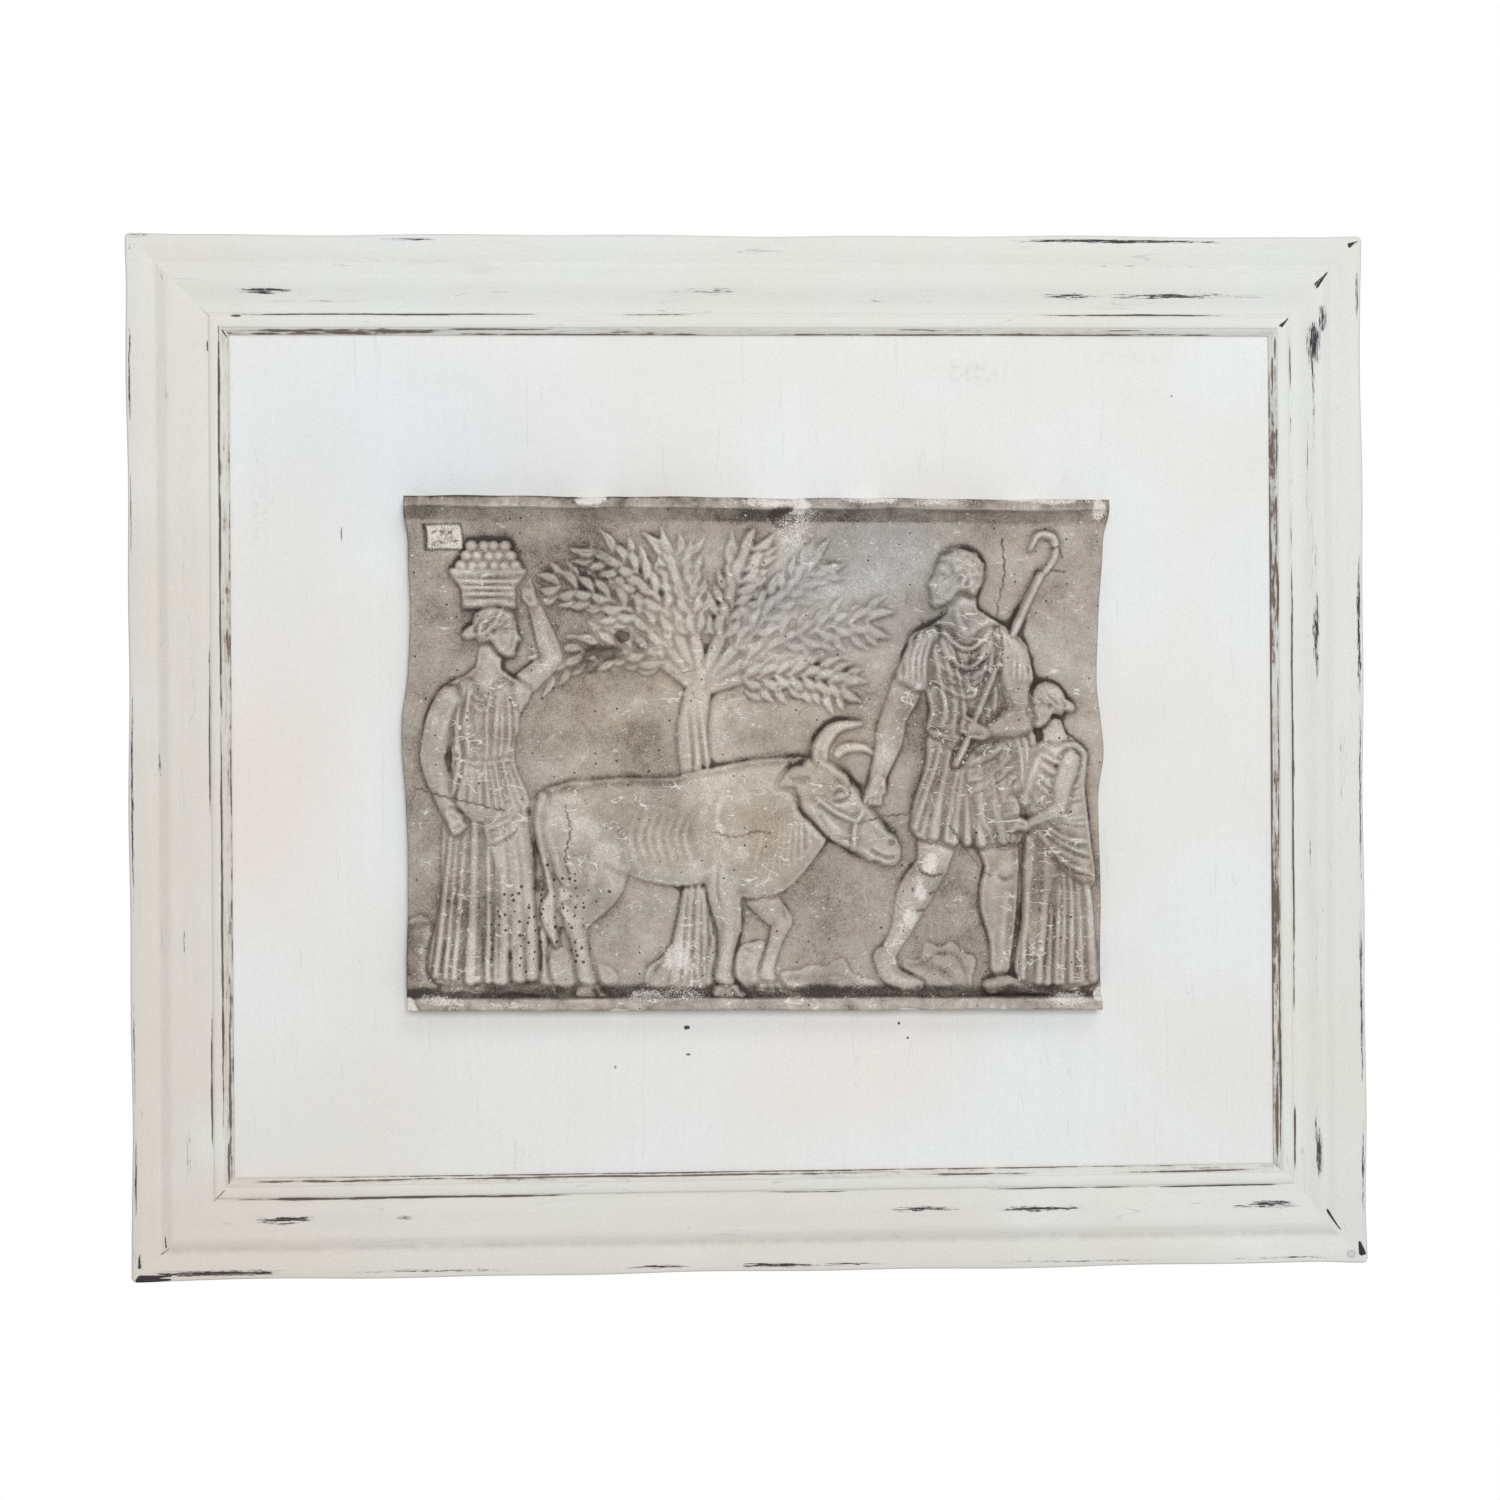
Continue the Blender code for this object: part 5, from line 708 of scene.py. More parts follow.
# A sheet of clay: one height in metres for each point of a grid. Places and widths are in hundredths of the
# figure that is being modelled, rises and depths in mm.
class Clay:

    def __init__(self, xs, zs, st=None, start=-0.02):
        self.xs, self.zs, self.st = xs, zs, st
        self.step = xs[1] - xs[0]
        self.h = np.full((len(zs), len(xs)), float(start))

    def fresh(self):
        return Clay(self.xs, self.zs, self.st)

    # The part of the grid inside a box, as two slices, with its points' places gx and gz
    def patch(self, low, high):
        i0, i1 = np.searchsorted(self.xs, [low[0], high[0]])
        j0, j1 = np.searchsorted(self.zs, [low[1], high[1]])
        return (slice(j0, j1), slice(i0, i1)), *np.meshgrid(self.xs[i0:i1], self.zs[j0:j1])

    # A rounded roll of clay along a smooth path
    def limb(self, points, radii, rise, flat=0.5):
        line = curve(self.st.at(points), 8)
        rr = along(np.multiply(radii, self.st.size / 100), len(line))
        for a, b, ra, rb in zip(line, line[1:], rr, rr[1:]):
            reach = max(ra, rb) + 2 * self.step
            part, gx, gz = self.patch(np.minimum(a, b) - reach, np.maximum(a, b) + reach)
            t, d2 = nearest(gx, gz, a, b)
            r = ra + (rb - ra) * t
            top = rise * mm + flat * np.sqrt(np.maximum(r * r - d2, 0))
            self.h[part] = np.maximum(self.h[part], top - clayDraft * np.maximum(np.sqrt(d2) - r, 0))

    # Distance to a line, and the share of its length at the nearest point, near it
    def gapTo(self, line, reach):
        part, gx, gz = self.patch(line.min(0) - reach, line.max(0) + reach)
        best = np.full(gx.shape, 1e9)
        share = np.zeros(gx.shape)
        for i, (a, b) in enumerate(zip(line, line[1:])):
            t, d = nearest(gx, gz, a, b)
            near = d < best
            best[near] = d[near]
            share[near] = (i + t[near]) / (len(line) - 1)
        return part, np.sqrt(best), share, gx, gz

    # The distance inwards from an outline, and which points are inside
    def inside(self, outline, smooth, reach):
        ring = curve(self.st.at(outline), smooth, closed=True)
        ring = np.vstack([ring, ring[:1]])
        part, d, _, gx, gz = self.gapTo(ring, reach)
        return part, d, within(ring, gx, gz)

    # A flat slab of clay with a rounded edge
    def slab(self, outline, rise, edge, crown, smooth=6):
        part, d, inside = self.inside(outline, smooth, 3 * self.step)
        t = np.clip(d / (edge * self.st.size / 100), 0, 1)
        top = rise * mm + crown * mm * np.sqrt(1 - (1 - t) ** 2)
        self.h[part] = np.maximum(self.h[part], np.where(inside, top, rise * mm - clayDraft * d))

    # Raises what is inside an outline, softly over the width of edge
    def swell(self, outline, height, edge, smooth=6):
        part, d, inside = self.inside(outline, smooth, 0.0)
        t = np.clip(np.where(inside, d, 0) / (edge * self.st.size / 100), 0, 1)
        self.add(part, height * mm * t * t * (3 - 2 * t))

    def add(self, part, height):
        here = self.h[part]
        self.h[part] = np.where(here > -0.01, here + height, here)

    # A cut line (depth above 0) or a thin ridge (depth under 0), fading at its ends
    def cut(self, points, width, depth, fade=0.5, per=6):
        width = width * self.st.size / 100
        part, d, t, _, _ = self.gapTo(curve(self.st.at(points), per), 3 * width)
        ends = np.clip(np.sin(np.pi * np.clip(t, 0.001, 0.999)), 0, 1) ** fade if fade else 1.0
        self.add(part, -depth * mm * ends * np.exp(-((d / width) ** 2)))

    # A soft bump (height above 0) or hollow (under 0)
    def bump(self, center, radii, height):
        x, z = self.st.at(center)
        wide, tall = np.multiply(radii, self.st.size / 100)
        r = max(wide, tall) * 2.6
        part, gx, gz = self.patch((x - r, z - r), (x + r, z + r))
        self.add(part, height * mm * np.exp(-((gx - x) / wide) ** 2 - ((gz - z) / tall) ** 2))

    # Runs the lumps of clay together
    def melt(self, reach):
        inside = self.h > -0.001
        weight = blur(inside.astype(float), reach * mm, self.step)
        soft = blur(np.where(inside, self.h, 0), reach * mm, self.step) / np.maximum(weight, 1e-6)
        self.h = np.where(inside, soft, self.h)


# Which points lie inside a closed line
def within(ring, gx, gz):
    inside = np.zeros(gx.shape, bool)
    for (ax, az), (bx, bz) in zip(ring, ring[1:]):
        if az != bz:
            crosses = (az > gz) != (bz > gz)
            inside ^= crosses & (gx < (bx - ax) * (gz - az) / (bz - az) + ax)
    return inside


# A soft mean over about reach, as three passes of a box
def blur(field, reach, step):
    half = int(round(reach / step))
    if half < 1:
        return field
    for axis in (0, 1):
        for _ in range(3):
            pad = [(0, 0), (0, 0)]
            pad[axis] = (half + 1, half)
            total = np.cumsum(np.pad(field, pad, mode="edge"), axis=axis)
            n = field.shape[axis]
            high = np.take(total, np.arange(2 * half + 1, 2 * half + 1 + n), axis=axis)
            low = np.take(total, np.arange(0, n), axis=axis)
            field = (high - low) / (2 * half + 1)
    return field


# Lays modelled clay on what is there already, with a soft hollow round it that deepens towards its edge
def lay(ground, clay, lift=0.6, trench=1.2):
    step = clay.step
    solid = (clay.h > 0).astype(float)
    close = np.clip(2 * blur(solid, 0.8 * trenchReach, step), 0, 1)
    wide = np.clip(2 * blur(solid, 2.4 * trenchReach, step), 0, 1)
    base = blur(np.maximum(ground.h, 0), 0.005, step)
    under = ground.h - trench * mm * (0.55 * close + 0.35 * wide ** 2) * smoothStep(ground.h, 0.0, 0.0012)
    ground.h = np.maximum(under, clay.h + lift * base)


# An even, repeatable scatter from -1 to 1
def jitter(i, seed=0.0):
    return 2 * ((math.sin(i * 12.9898 + seed * 78.233) * 43758.5453) % 1.0) - 1


# 0 before start, 1 after end, and an easy rise between them
def smoothStep(value, start, end):
    t = np.clip((value - start) / (end - start), 0, 1)
    return t * t * (3 - 2 * t)


# The point a share of the way from a to b
def between(a, b, share):
    return (a[0] + (b[0] - a[0]) * share, a[1] + (b[1] - a[1]) * share)


# Upper arm and forearm, with the swell of their muscles
def arm(clay, shoulder, elbow, wrist, rise, thick=1.0):
    for a, b, share, radii, up, flat in (
        (shoulder, elbow, 0.62, (3.4, 3.65, 3.25, 2.6), 0, 0.46),
        (elbow, wrist, 0.65, (2.65, 2.85, 2.1, 1.5), 0.2, 0.48)
    ):
        clay.limb(
            [a, between(a, b, 0.28), between(a, b, share), b], np.multiply(radii, thick), rise + up, flat
        )


# Thigh, knee and calf. The calf swells towards back, -1 or 1.
def leg(clay, hip, knee, ankle, rise, back, thick=1.0):
    x, z = between(knee, ankle, 0.34)
    thigh, shin = (6.4, 5.6, 4.2, 3.55), (3.45, 3.95, 2.4, 1.8)
    clay.limb(
        [hip, between(hip, knee, 0.45), between(hip, knee, 0.8), knee], np.multiply(thigh, thick), rise,
        0.42
    )
    clay.limb(
        [knee, (x + back, z), between(knee, ankle, 0.72), ankle], np.multiply(shin, thick), rise, 0.46
    )


# A kneecap, and the creases under and over it
def kneeLines(clay, knee):
    x, z = knee
    clay.bump((x + 0.4, z + 0.4), (2, 2.2), 0.9)
    clay.cut([(x - 2, z - 2), (x, z - 3), (x + 2, z - 2)], 0.6, 0.5)
    clay.cut([(x - 2.6, z + 3.2), (x, z + 4), (x + 2.4, z + 3)], 0.7, 0.3)


# A palm, four fingers and a thumb. way is the angle that the hand points along.
def hand(clay, wrist, way, size, rise, grip=False):
    ahead = size * np.array([math.cos(way), math.sin(way)])
    side = np.array([-ahead[1], ahead[0]])
    palm = wrist + 0.4 * ahead
    clay.limb([wrist, palm], (size * 0.20, size * 0.25), rise)
    for i in range(4):
        a = way + (i - 1.5) * 0.075
        length = size * (0.42 if grip else 0.55) * (1 - 0.08 * abs(i - 1.2))
        root = palm + (i - 1.5) * 0.135 * side
        tip = root + length * np.array([math.cos(a), math.sin(a)])
        clay.limb([root, tip], (size * 0.078, size * 0.06), rise + 0.2, 0.7)
    thumb = wrist + 0.18 * side
    clay.limb([thumb, thumb + 0.38 * ahead + 0.12 * side], (size * 0.085, size * 0.062), rise + 0.4, 0.7)


# A foot seen from the side, toes forward
def foot(clay, ankle, length, rise):
    sole = [(-0.14, -0.22), (0.1, -0.17), (0.42, -0.24), (0.70, -0.29)]
    clay.limb(
        np.add(ankle, np.multiply(sole, length)), np.multiply((0.13, 0.14, 0.10, 0.065), length), rise, 0.6
    )
    for i in range(4):
        toe = [(0.56 + 0.05 * i, -0.29), (0.72 + 0.05 * i, -0.315)]
        clay.limb(
            np.add(ankle, np.multiply(toe, length)), (0.045 * length, 0.042 * length), rise + 0.1 * i, 0.7
        )


# Outlines in hundredths of the head's height, about its middle
faceOutline = [
    (-5, 50), (17, 44.5), (30, 33), (36.5, 19), (38.5, 7), (42.5, -3), (48, -13.5), (42.5, -18.5),
    (42.5, -23.5), (39.5, -26.8), (41.5, -30), (37.2, -34.5), (39.5, -41), (33, -47.5), (20, -46), (2, -36),
    (-10, -22), (-33, -24), (-45.5, 2), (-41, 28), (-26, 44)
]
hairShort = [
    (-5, 53.5), (16, 48.5), (30, 37), (33.5, 30), (22, 27), (12, 20), (4, 6), (-2, 10), (-10, 12), (-17, 2),
    (-20, -16), (-33, -27), (-42, -16), (-49, 4), (-44, 30), (-28, 47)
]
hairLong = [
    (-5, 53), (16, 48), (30, 36), (33, 27), (20, 20), (10, 8), (-2, -2), (-14, -8), (-24, -20), (-38, -18),
    (-48.5, 2), (-44, 30), (-28, 46.5)
]


# A head in profile about its middle, tall in hundredths of the figure
def head(clay, middle, tall, facing, tilt, rise, hair, seed):
    body = clay.st
    k = body.size * tall / 100
    u = 10 * k    # a hundredth of the head's height, in mm
    clay.st = Stand(*body.at(middle), k, facing, tilt)
    clay.slab(faceOutline, rise, 13, 7 * u, 4)
    dome = clay.fresh()
    dome.limb([(-6, 10), (2, 6)], [45, 42], 0, 0.42)
    dome.limb([(6, -2), (17, -24)], [36, 25], 0, 0.42)
    dome = blur(np.maximum(dome.h, 0), 0.05 * k, clay.step)
    edge = np.clip((clay.h - rise * mm) / (0.07 * k), 0, 1)
    clay.h = np.where(clay.h > rise * mm, clay.h + np.maximum(dome - 0.07 * k, 0) * edge, clay.h)
    # brow, eye and lids
    clay.bump((27.5, 1.5), (8.5, 5.5), -4.5 * u)
    clay.cut([(38.5, 8.5), (30, 10.5), (17, 7.5)], 3, -2.2 * u)
    clay.bump((27.5, 0.5), (4.5, 2.6), 3.8 * u)
    clay.cut([(19, -0.5), (26.5, 3.8), (33.5, 1)], 1.3, -1.8 * u)
    clay.cut([(20, -1.2), (27, -3), (33, -0.5)], 1.2, -1.2 * u)
    # nose, mouth, chin and cheek
    clay.bump((40, -15), (3.5, 2.8), 2.2 * u)
    clay.cut([(36, -11), (34.5, -16.5), (38, -19)], 1.6, 1.4 * u)
    clay.cut([(41, -26.8), (36, -26.6), (30, -27.5)], 1.4, 2.4 * u, 0.3)
    clay.cut([(41, -23.5), (33, -25)], 1.8, -1 * u)
    clay.cut([(40, -30.2), (33, -29.8)], 1.8, -1.2 * u)
    clay.bump((35, -40.5), (6, 5.5), 2 * u)
    clay.bump((20, -12), (10, 9), 1.6 * u)
    # hair, then the ear over it
    outline, height, edge = (hairShort, 4.2, 4) if hair == "short" else (hairLong, 3.5, 5)
    cap = clay.fresh()
    cap.slab(outline, rise, 6, 2 * u, 4)
    clay.h = np.maximum(clay.h, cap.h)
    clay.swell(outline, height * u, edge, 4)
    if hair == "short":
        curls(clay, seed, u)
    else:
        combed(clay, rise, u)
    clay.bump((-7, -3), (5, 8), -3 * u)
    clay.cut([(-3, 5.5), (-8.5, 7.5), (-13, 2), (-11, -6), (-6.5, -11.5)], 2.2, -5.5 * u, 0.2)
    clay.st = body


# Short curved locks over the skull, in rows round its crown, held by a band
def curls(clay, seed, u):
    for r, radius in enumerate((12, 25, 38, 49)):
        count = 4 + int(radius * 0.26)
        for i in range(count):
            a = math.radians((i + 0.5 * (r % 2)) * 360 / count + 8 * jitter(i + 9 * r, seed))
            x, z = -6 + radius * math.cos(a), 7 + radius * math.sin(a)
            if z < 30 - 0.9 * (x + 6) * (x < 10) and x > -16 and z < 24 or x > 20 and z < 27:
                continue
            turn = a + 1.3 + 0.4 * jitter(i + 31 * r, seed)
            lock = np.array(
                [
                    (x, z), (x + 6 * math.cos(turn), z + 6 * math.sin(turn)),
                    (x + 9 * math.cos(turn + 0.8), z + 9 * math.sin(turn + 0.8))
                ]
            )
            clay.cut(lock, 3.4, -5.2 * u, 0.3, 3)
            clay.cut(lock + 5.8 * np.array([math.cos(a), math.sin(a)]), 1.8, 3.4 * u, 0.3, 3)
    clay.cut([(30, 33), (8, 36), (-20, 24), (-44, 4)], 3, -4 * u, 0.1)


# Long hair waved back from the brow to a knot, under a band
def combed(clay, rise, u):
    clay.limb([(-46, -5), (-54, -10)], [12.5, 9.5], rise + 3 * u, 0.62)
    for i in range(10):
        s = i / 9
        wave = 2 * math.sin(i * 2.4)
        start, middle, end = (31 - 34 * s, 30 - 27 * s), (-2 - 12 * s, 46 - 42 * s), (-42, 2 - 10 * s)
        x, z = between(start, middle, 0.5)
        far, low = between(middle, end, 0.5)
        line = [
            start, (x, z + 4.5 * (1 - s) + wave), middle, (far - 5 * (1 - s), low + 9 * (1 - s) - wave),
            end
        ]
        clay.cut(line, 1.4, 2.4 * u, 0.2)
    for i in range(4):
        z = -1 - 4.5 * i
        clay.cut([(-38, z), (-46, z + 1), (-60, z - 2)], 1.1, 1.6 * u, 0.3)
    clay.cut([(13, 50), (5, 30), (-4, 10), (-20, -6), (-36, -12)], 2.6, -3.5 * u, 0.1)


# Lines down a garment, evenly scattered over its rows of points
def dropLines(rows, count, seed, spread=0.5):
    lines = [curve(row, 10) for row in rows]
    for i in range(count):
        s = (i + 0.5 + 0.3 * jitter(i, seed)) / count
        p = []
        for j, line in enumerate(lines):
            q = min(
                max(s + 0.25 * spread / count * jitter(i * 3 + j, seed + 1), 0.01), 0.99
            ) * (len(line) - 1)
            a = int(q)
            p.append(line[a] + (line[min(a + 1, len(line) - 1)] - line[a]) * (q - a))
        yield np.array(p), i


# Pipes of cloth that hang through rows of points across the garment
def hang(clay, rows, count, radii, rise, flat=0.8, seed=0.0):
    for p, i in dropLines(rows, count, seed, 0.9):
        wide = 1 + 0.38 * jitter(i, seed + 2)
        clay.limb(p, np.multiply(radii, wide), rise + 0.5 * jitter(i, seed + 6), flat)


# Folds pressed into cloth that lies over a body: a ridge and a cut for each
def pleats(clay, rows, count, width, depth, seed=0.0, fade=0.35):
    for p, i in dropLines(rows, count, seed, 1.2):
        far = depth * (1 + 0.5 * jitter(i, seed + 3))
        wide = width * (1 + 0.35 * jitter(i, seed + 4))
        clay.cut(p, wide, -far, fade)
        clay.cut(p + (wide * 1.6, 0), wide * 0.6, far * 0.8, fade)


# Folds that hang in curves between two lines of points
def swags(clay, left, right, count, drop, width, depth, seed=0.0):
    a, b = curve(left, 10), curve(right, 10)
    for i in range(count):
        u = (i + 0.5 + 0.25 * jitter(i, seed)) / count
        p, q = a[int(u * (len(a) - 1))], b[int(u * (len(b) - 1))]
        sag = drop * (1 + 0.3 * jitter(i, seed + 1))
        line = np.array([p, p * 0.72 + q * 0.28 - (0, sag * 0.8), p * 0.4 + q * 0.6 - (0, sag), q])
        wide = width * (1 + 0.3 * jitter(i, seed + 2))
        clay.cut(line, wide, -depth, 0.3)
        clay.cut(line - (0, wide * 1.7), wide * 0.65, depth * 0.9, 0.3)


# A thigh and knee that show through the cloth over them
def pressLeg(clay, hip, knee, ankle, rise, thick=1.0):
    form = clay.fresh()
    form.limb([hip, between(hip, knee, 0.5), knee], np.multiply((6.6, 6.2, 5), thick), rise, 0.42)
    form.limb([knee, between(knee, ankle, 0.4), ankle], np.multiply((5, 4.4, 3), thick), rise, 0.38)
    form = blur(np.maximum(form.h, 0), 0.0024, clay.step)
    soft = np.clip((form - 0.0006) / 0.0036, 0, 1) ** 1.5
    calm = blur(np.maximum(clay.h, 0), 0.0015, clay.step)
    cloth = np.where(clay.h > 0, clay.h * 0.35 + calm * 0.65, clay.h)
    clay.h = np.where(clay.h > 0, clay.h * (1 - soft) + (cloth * 0.75 + form * 0.5) * soft, clay.h)


# A wicker basket, flaring to its rim, heaped with round fruit
def basket(clay, footAt, wide, tall):
    x, z = footAt
    for row, many in ((2, 4), (1, 5), (0, 6)):
        for i in range(many):
            fx = x + (i - (many - 1) / 2) * wide * 0.165 + 0.4 * jitter(i + row, 3)
            fz = z + tall + 1.4 + 2.6 * row
            clay.limb([(fx, fz), (fx + 0.2, fz)], [1.7, 1.7], 2.6 + 0.4 * (2 - row), 0.8)
    shape = ((-0.36, 0), (-0.44, 0.5), (-0.54, 1), (0.54, 1), (0.44, 0.5), (0.36, 0))
    clay.slab([(x + wide * a, z + tall * b) for a, b in shape], 2.6, 5, 2.6, 3)
    rows, many = 5, 10
    for j in range(rows):
        s = (j + 0.5) / rows
        for i in range(many):
            c = ((i + 0.5 * (j % 2)) / many * 2 - 1) * wide * (0.36 + 0.18 * s)
            clay.bump((x + c, z + tall * s), (1.05, 0.56), 1.1)
    for s in (0, 1):
        half = wide * (0.37 + 0.18 * s)
        clay.limb([(x - half, z + tall * s), (x + half, z + tall * s)], [0.85, 0.85], 4.4, 0.8)


# An ox's cannon bone, fetlock and cloven hoof under its knee or hock
def shank(clay, knee, middle, fetlock, rise):
    form, hoof = clay.fresh(), clay.fresh()
    form.limb([knee, middle, fetlock], [4.2, 2.6, 2.9], rise - 0.4, 0.55)
    x, z = fetlock
    form.limb([fetlock, (x + 1.6, z - 4)], [3, 2.8], rise - 0.4, 0.55)
    form.melt(0.8)
    hoof.slab(
        [(x - 3, z - 4.6), (x + 4.6, z - 4), (x + 7.4, z - 6.6), (x + 9.4, 0), (x - 4, 0)], rise, 2.6, 1.4,
        4
    )
    form.h = np.maximum(form.h, hoof.h)
    form.cut([(x - 3.4, z - 4.4), (x + 5.4, z - 4)], 0.7, 0.7, 0.2)
    form.cut([(x + 3.4, z - 5), (x + 5, 0)], 0.6, 0.9, 0.2)
    form.bump((x - 2.6, z - 1.8), (1.1, 1.4), 0.7)
    form.cut([between(knee, middle, 0.5), between(middle, fetlock, 0.8)], 0.7, 0.3)
    clay.h = np.maximum(clay.h, form.h)


# A woman facing right, a basket of fruit on her head, in a belted dress with an overfold
def womanWithBasket(ground):
    back = ground.fresh()
    # far arm, raised to the basket
    arm(back, (7.5, 79), (17.5, 88), (11.8, 103), 1, 0.88)
    back.melt(1.2)
    hand(back, (11.8, 103), 2, 6.6, 1.8)
    lay(ground, back, 0.5)
    body = ground.fresh()
    foot(body, (5, 4.8), 12.5, 1.6)
    foot(body, (-8.5, 4.8), 12.5, 1.2)
    # neck, shoulders and breast
    body.limb([(0.8, 91), (0.2, 86), (0, 81)], [2.9, 2.9, 3.8], 1.8, 0.55)
    for side in (-1, 1):
        body.limb([(side * 8.8, 78.5), (side * 4.5, 81.2), (side * 0.8, 84.5)], [3.1, 2.6, 2.2], 1.6, 0.42)
    body.limb([(-5, 76.5), (5, 76.5)], [5.5, 5.5], 1.6, 0.34)
    body.melt(1.8)
    body.cut([(-7.5, 80.8), (-3, 80.6), (-0.6, 79.2)], 0.6, -0.4)
    body.cut([(7.5, 80.8), (3, 80.6), (0.6, 79.2)], 0.6, -0.4)
    lay(ground, body, 0.45)
    # skirt: hanging folds, with one leg showing through them
    skirt = ground.fresh()
    skirt.slab(
        [
            (-8, 62), (-11.8, 45), (-12.8, 25), (-14.8, 4.5), (0, 3), (13.5, 5), (12.5, 25), (11.2, 45),
            (7.2, 62)
        ],
        1.2, 5, 1.8
    )
    hang(
        skirt, [[(-7, 62), (6.6, 62)], [(-11.2, 35), (11.4, 35)], [(-14.2, 5.5), (0, 4), (13, 5.5)]], 11,
        [0.7, 1.1, 1.45], 2.4, 0.85, 3
    )
    pressLeg(skirt, (4, 52), (8, 32), (6, 14), 3.6)
    swags(skirt, [(-1, 49), (1, 36)], [(10, 56), (12.2, 44)], 3, 1.6, 0.55, 0.6, 5)
    lay(ground, skirt, 0.4, 0.8)
    # bodice with its overfold
    bodice = ground.fresh()
    bodice.slab(
        [
            (-6, 81.8), (-7.6, 77), (-8.6, 70), (-7.6, 61), (-10.8, 50.5), (-6, 47.8), (0, 49.2), (6, 47.2),
            (11.2, 50.5), (7.8, 61), (8.6, 70), (7.8, 77), (6.2, 81.8), (3, 81.2), (0, 76.8), (-3, 81.2)
        ],
        2.4, 4, 2.2
    )
    bodice.limb([(-4, 71.5), (4.4, 71.2)], [5, 5], 3.2, 0.34)
    bodice.limb([(0, 62), (0, 54)], [7.2, 8.2], 2.8, 0.2)
    bodice.melt(2.2)
    bodice.bump((-4.2, 70.6), (3.2, 2.8), 1.4)
    bodice.bump((4.6, 70.4), (3.2, 2.8), 1.6)
    pleats(
        bodice,
        [[(-6.2, 80.5), (-3, 79), (3, 79), (6.2, 80.5)], [(-7.6, 70), (7.8, 70)], [(-6.6, 62), (6.6, 62)]],
        12, 0.6, 0.6, 7, 0.3
    )
    pleats(bodice, [[(-6.8, 61), (6.8, 61)], [(-10, 50), (0, 48.8), (10.2, 50)]], 12, 0.7, 0.8, 8, 0.15)
    swags(bodice, [(-4, 80), (-3, 75)], [(4, 80), (3, 75)], 2, 2.6, 0.45, 0.5, 2)
    bodice.cut([(-8, 62), (0, 60.6), (8, 62)], 1.4, 1.2, 0)
    bodice.cut([(-8, 62), (0, 60.6), (8, 62)], 0.5, -0.9, 0)
    lay(ground, bodice, 0.3, 0.7)
    # near arm, drawing a fold of the dress aside
    near = ground.fresh()
    arm(near, (-9.2, 77.2), (-13.6, 62), (-9.8, 47.5), 3.4, 0.92)
    near.melt(1.2)
    hand(near, (-9.8, 47.5), -1.0, 6.6, 4, True)
    lay(ground, near, 0.35, 0.8)
    # head and the basket on it
    top = ground.fresh()
    head(top, (2, 95.5), 13.8, 1, -0.05, 2.6, "long", 1)
    basket(top, (0, 102.4), 16.5, 8.5)
    lay(ground, top, 0.25)


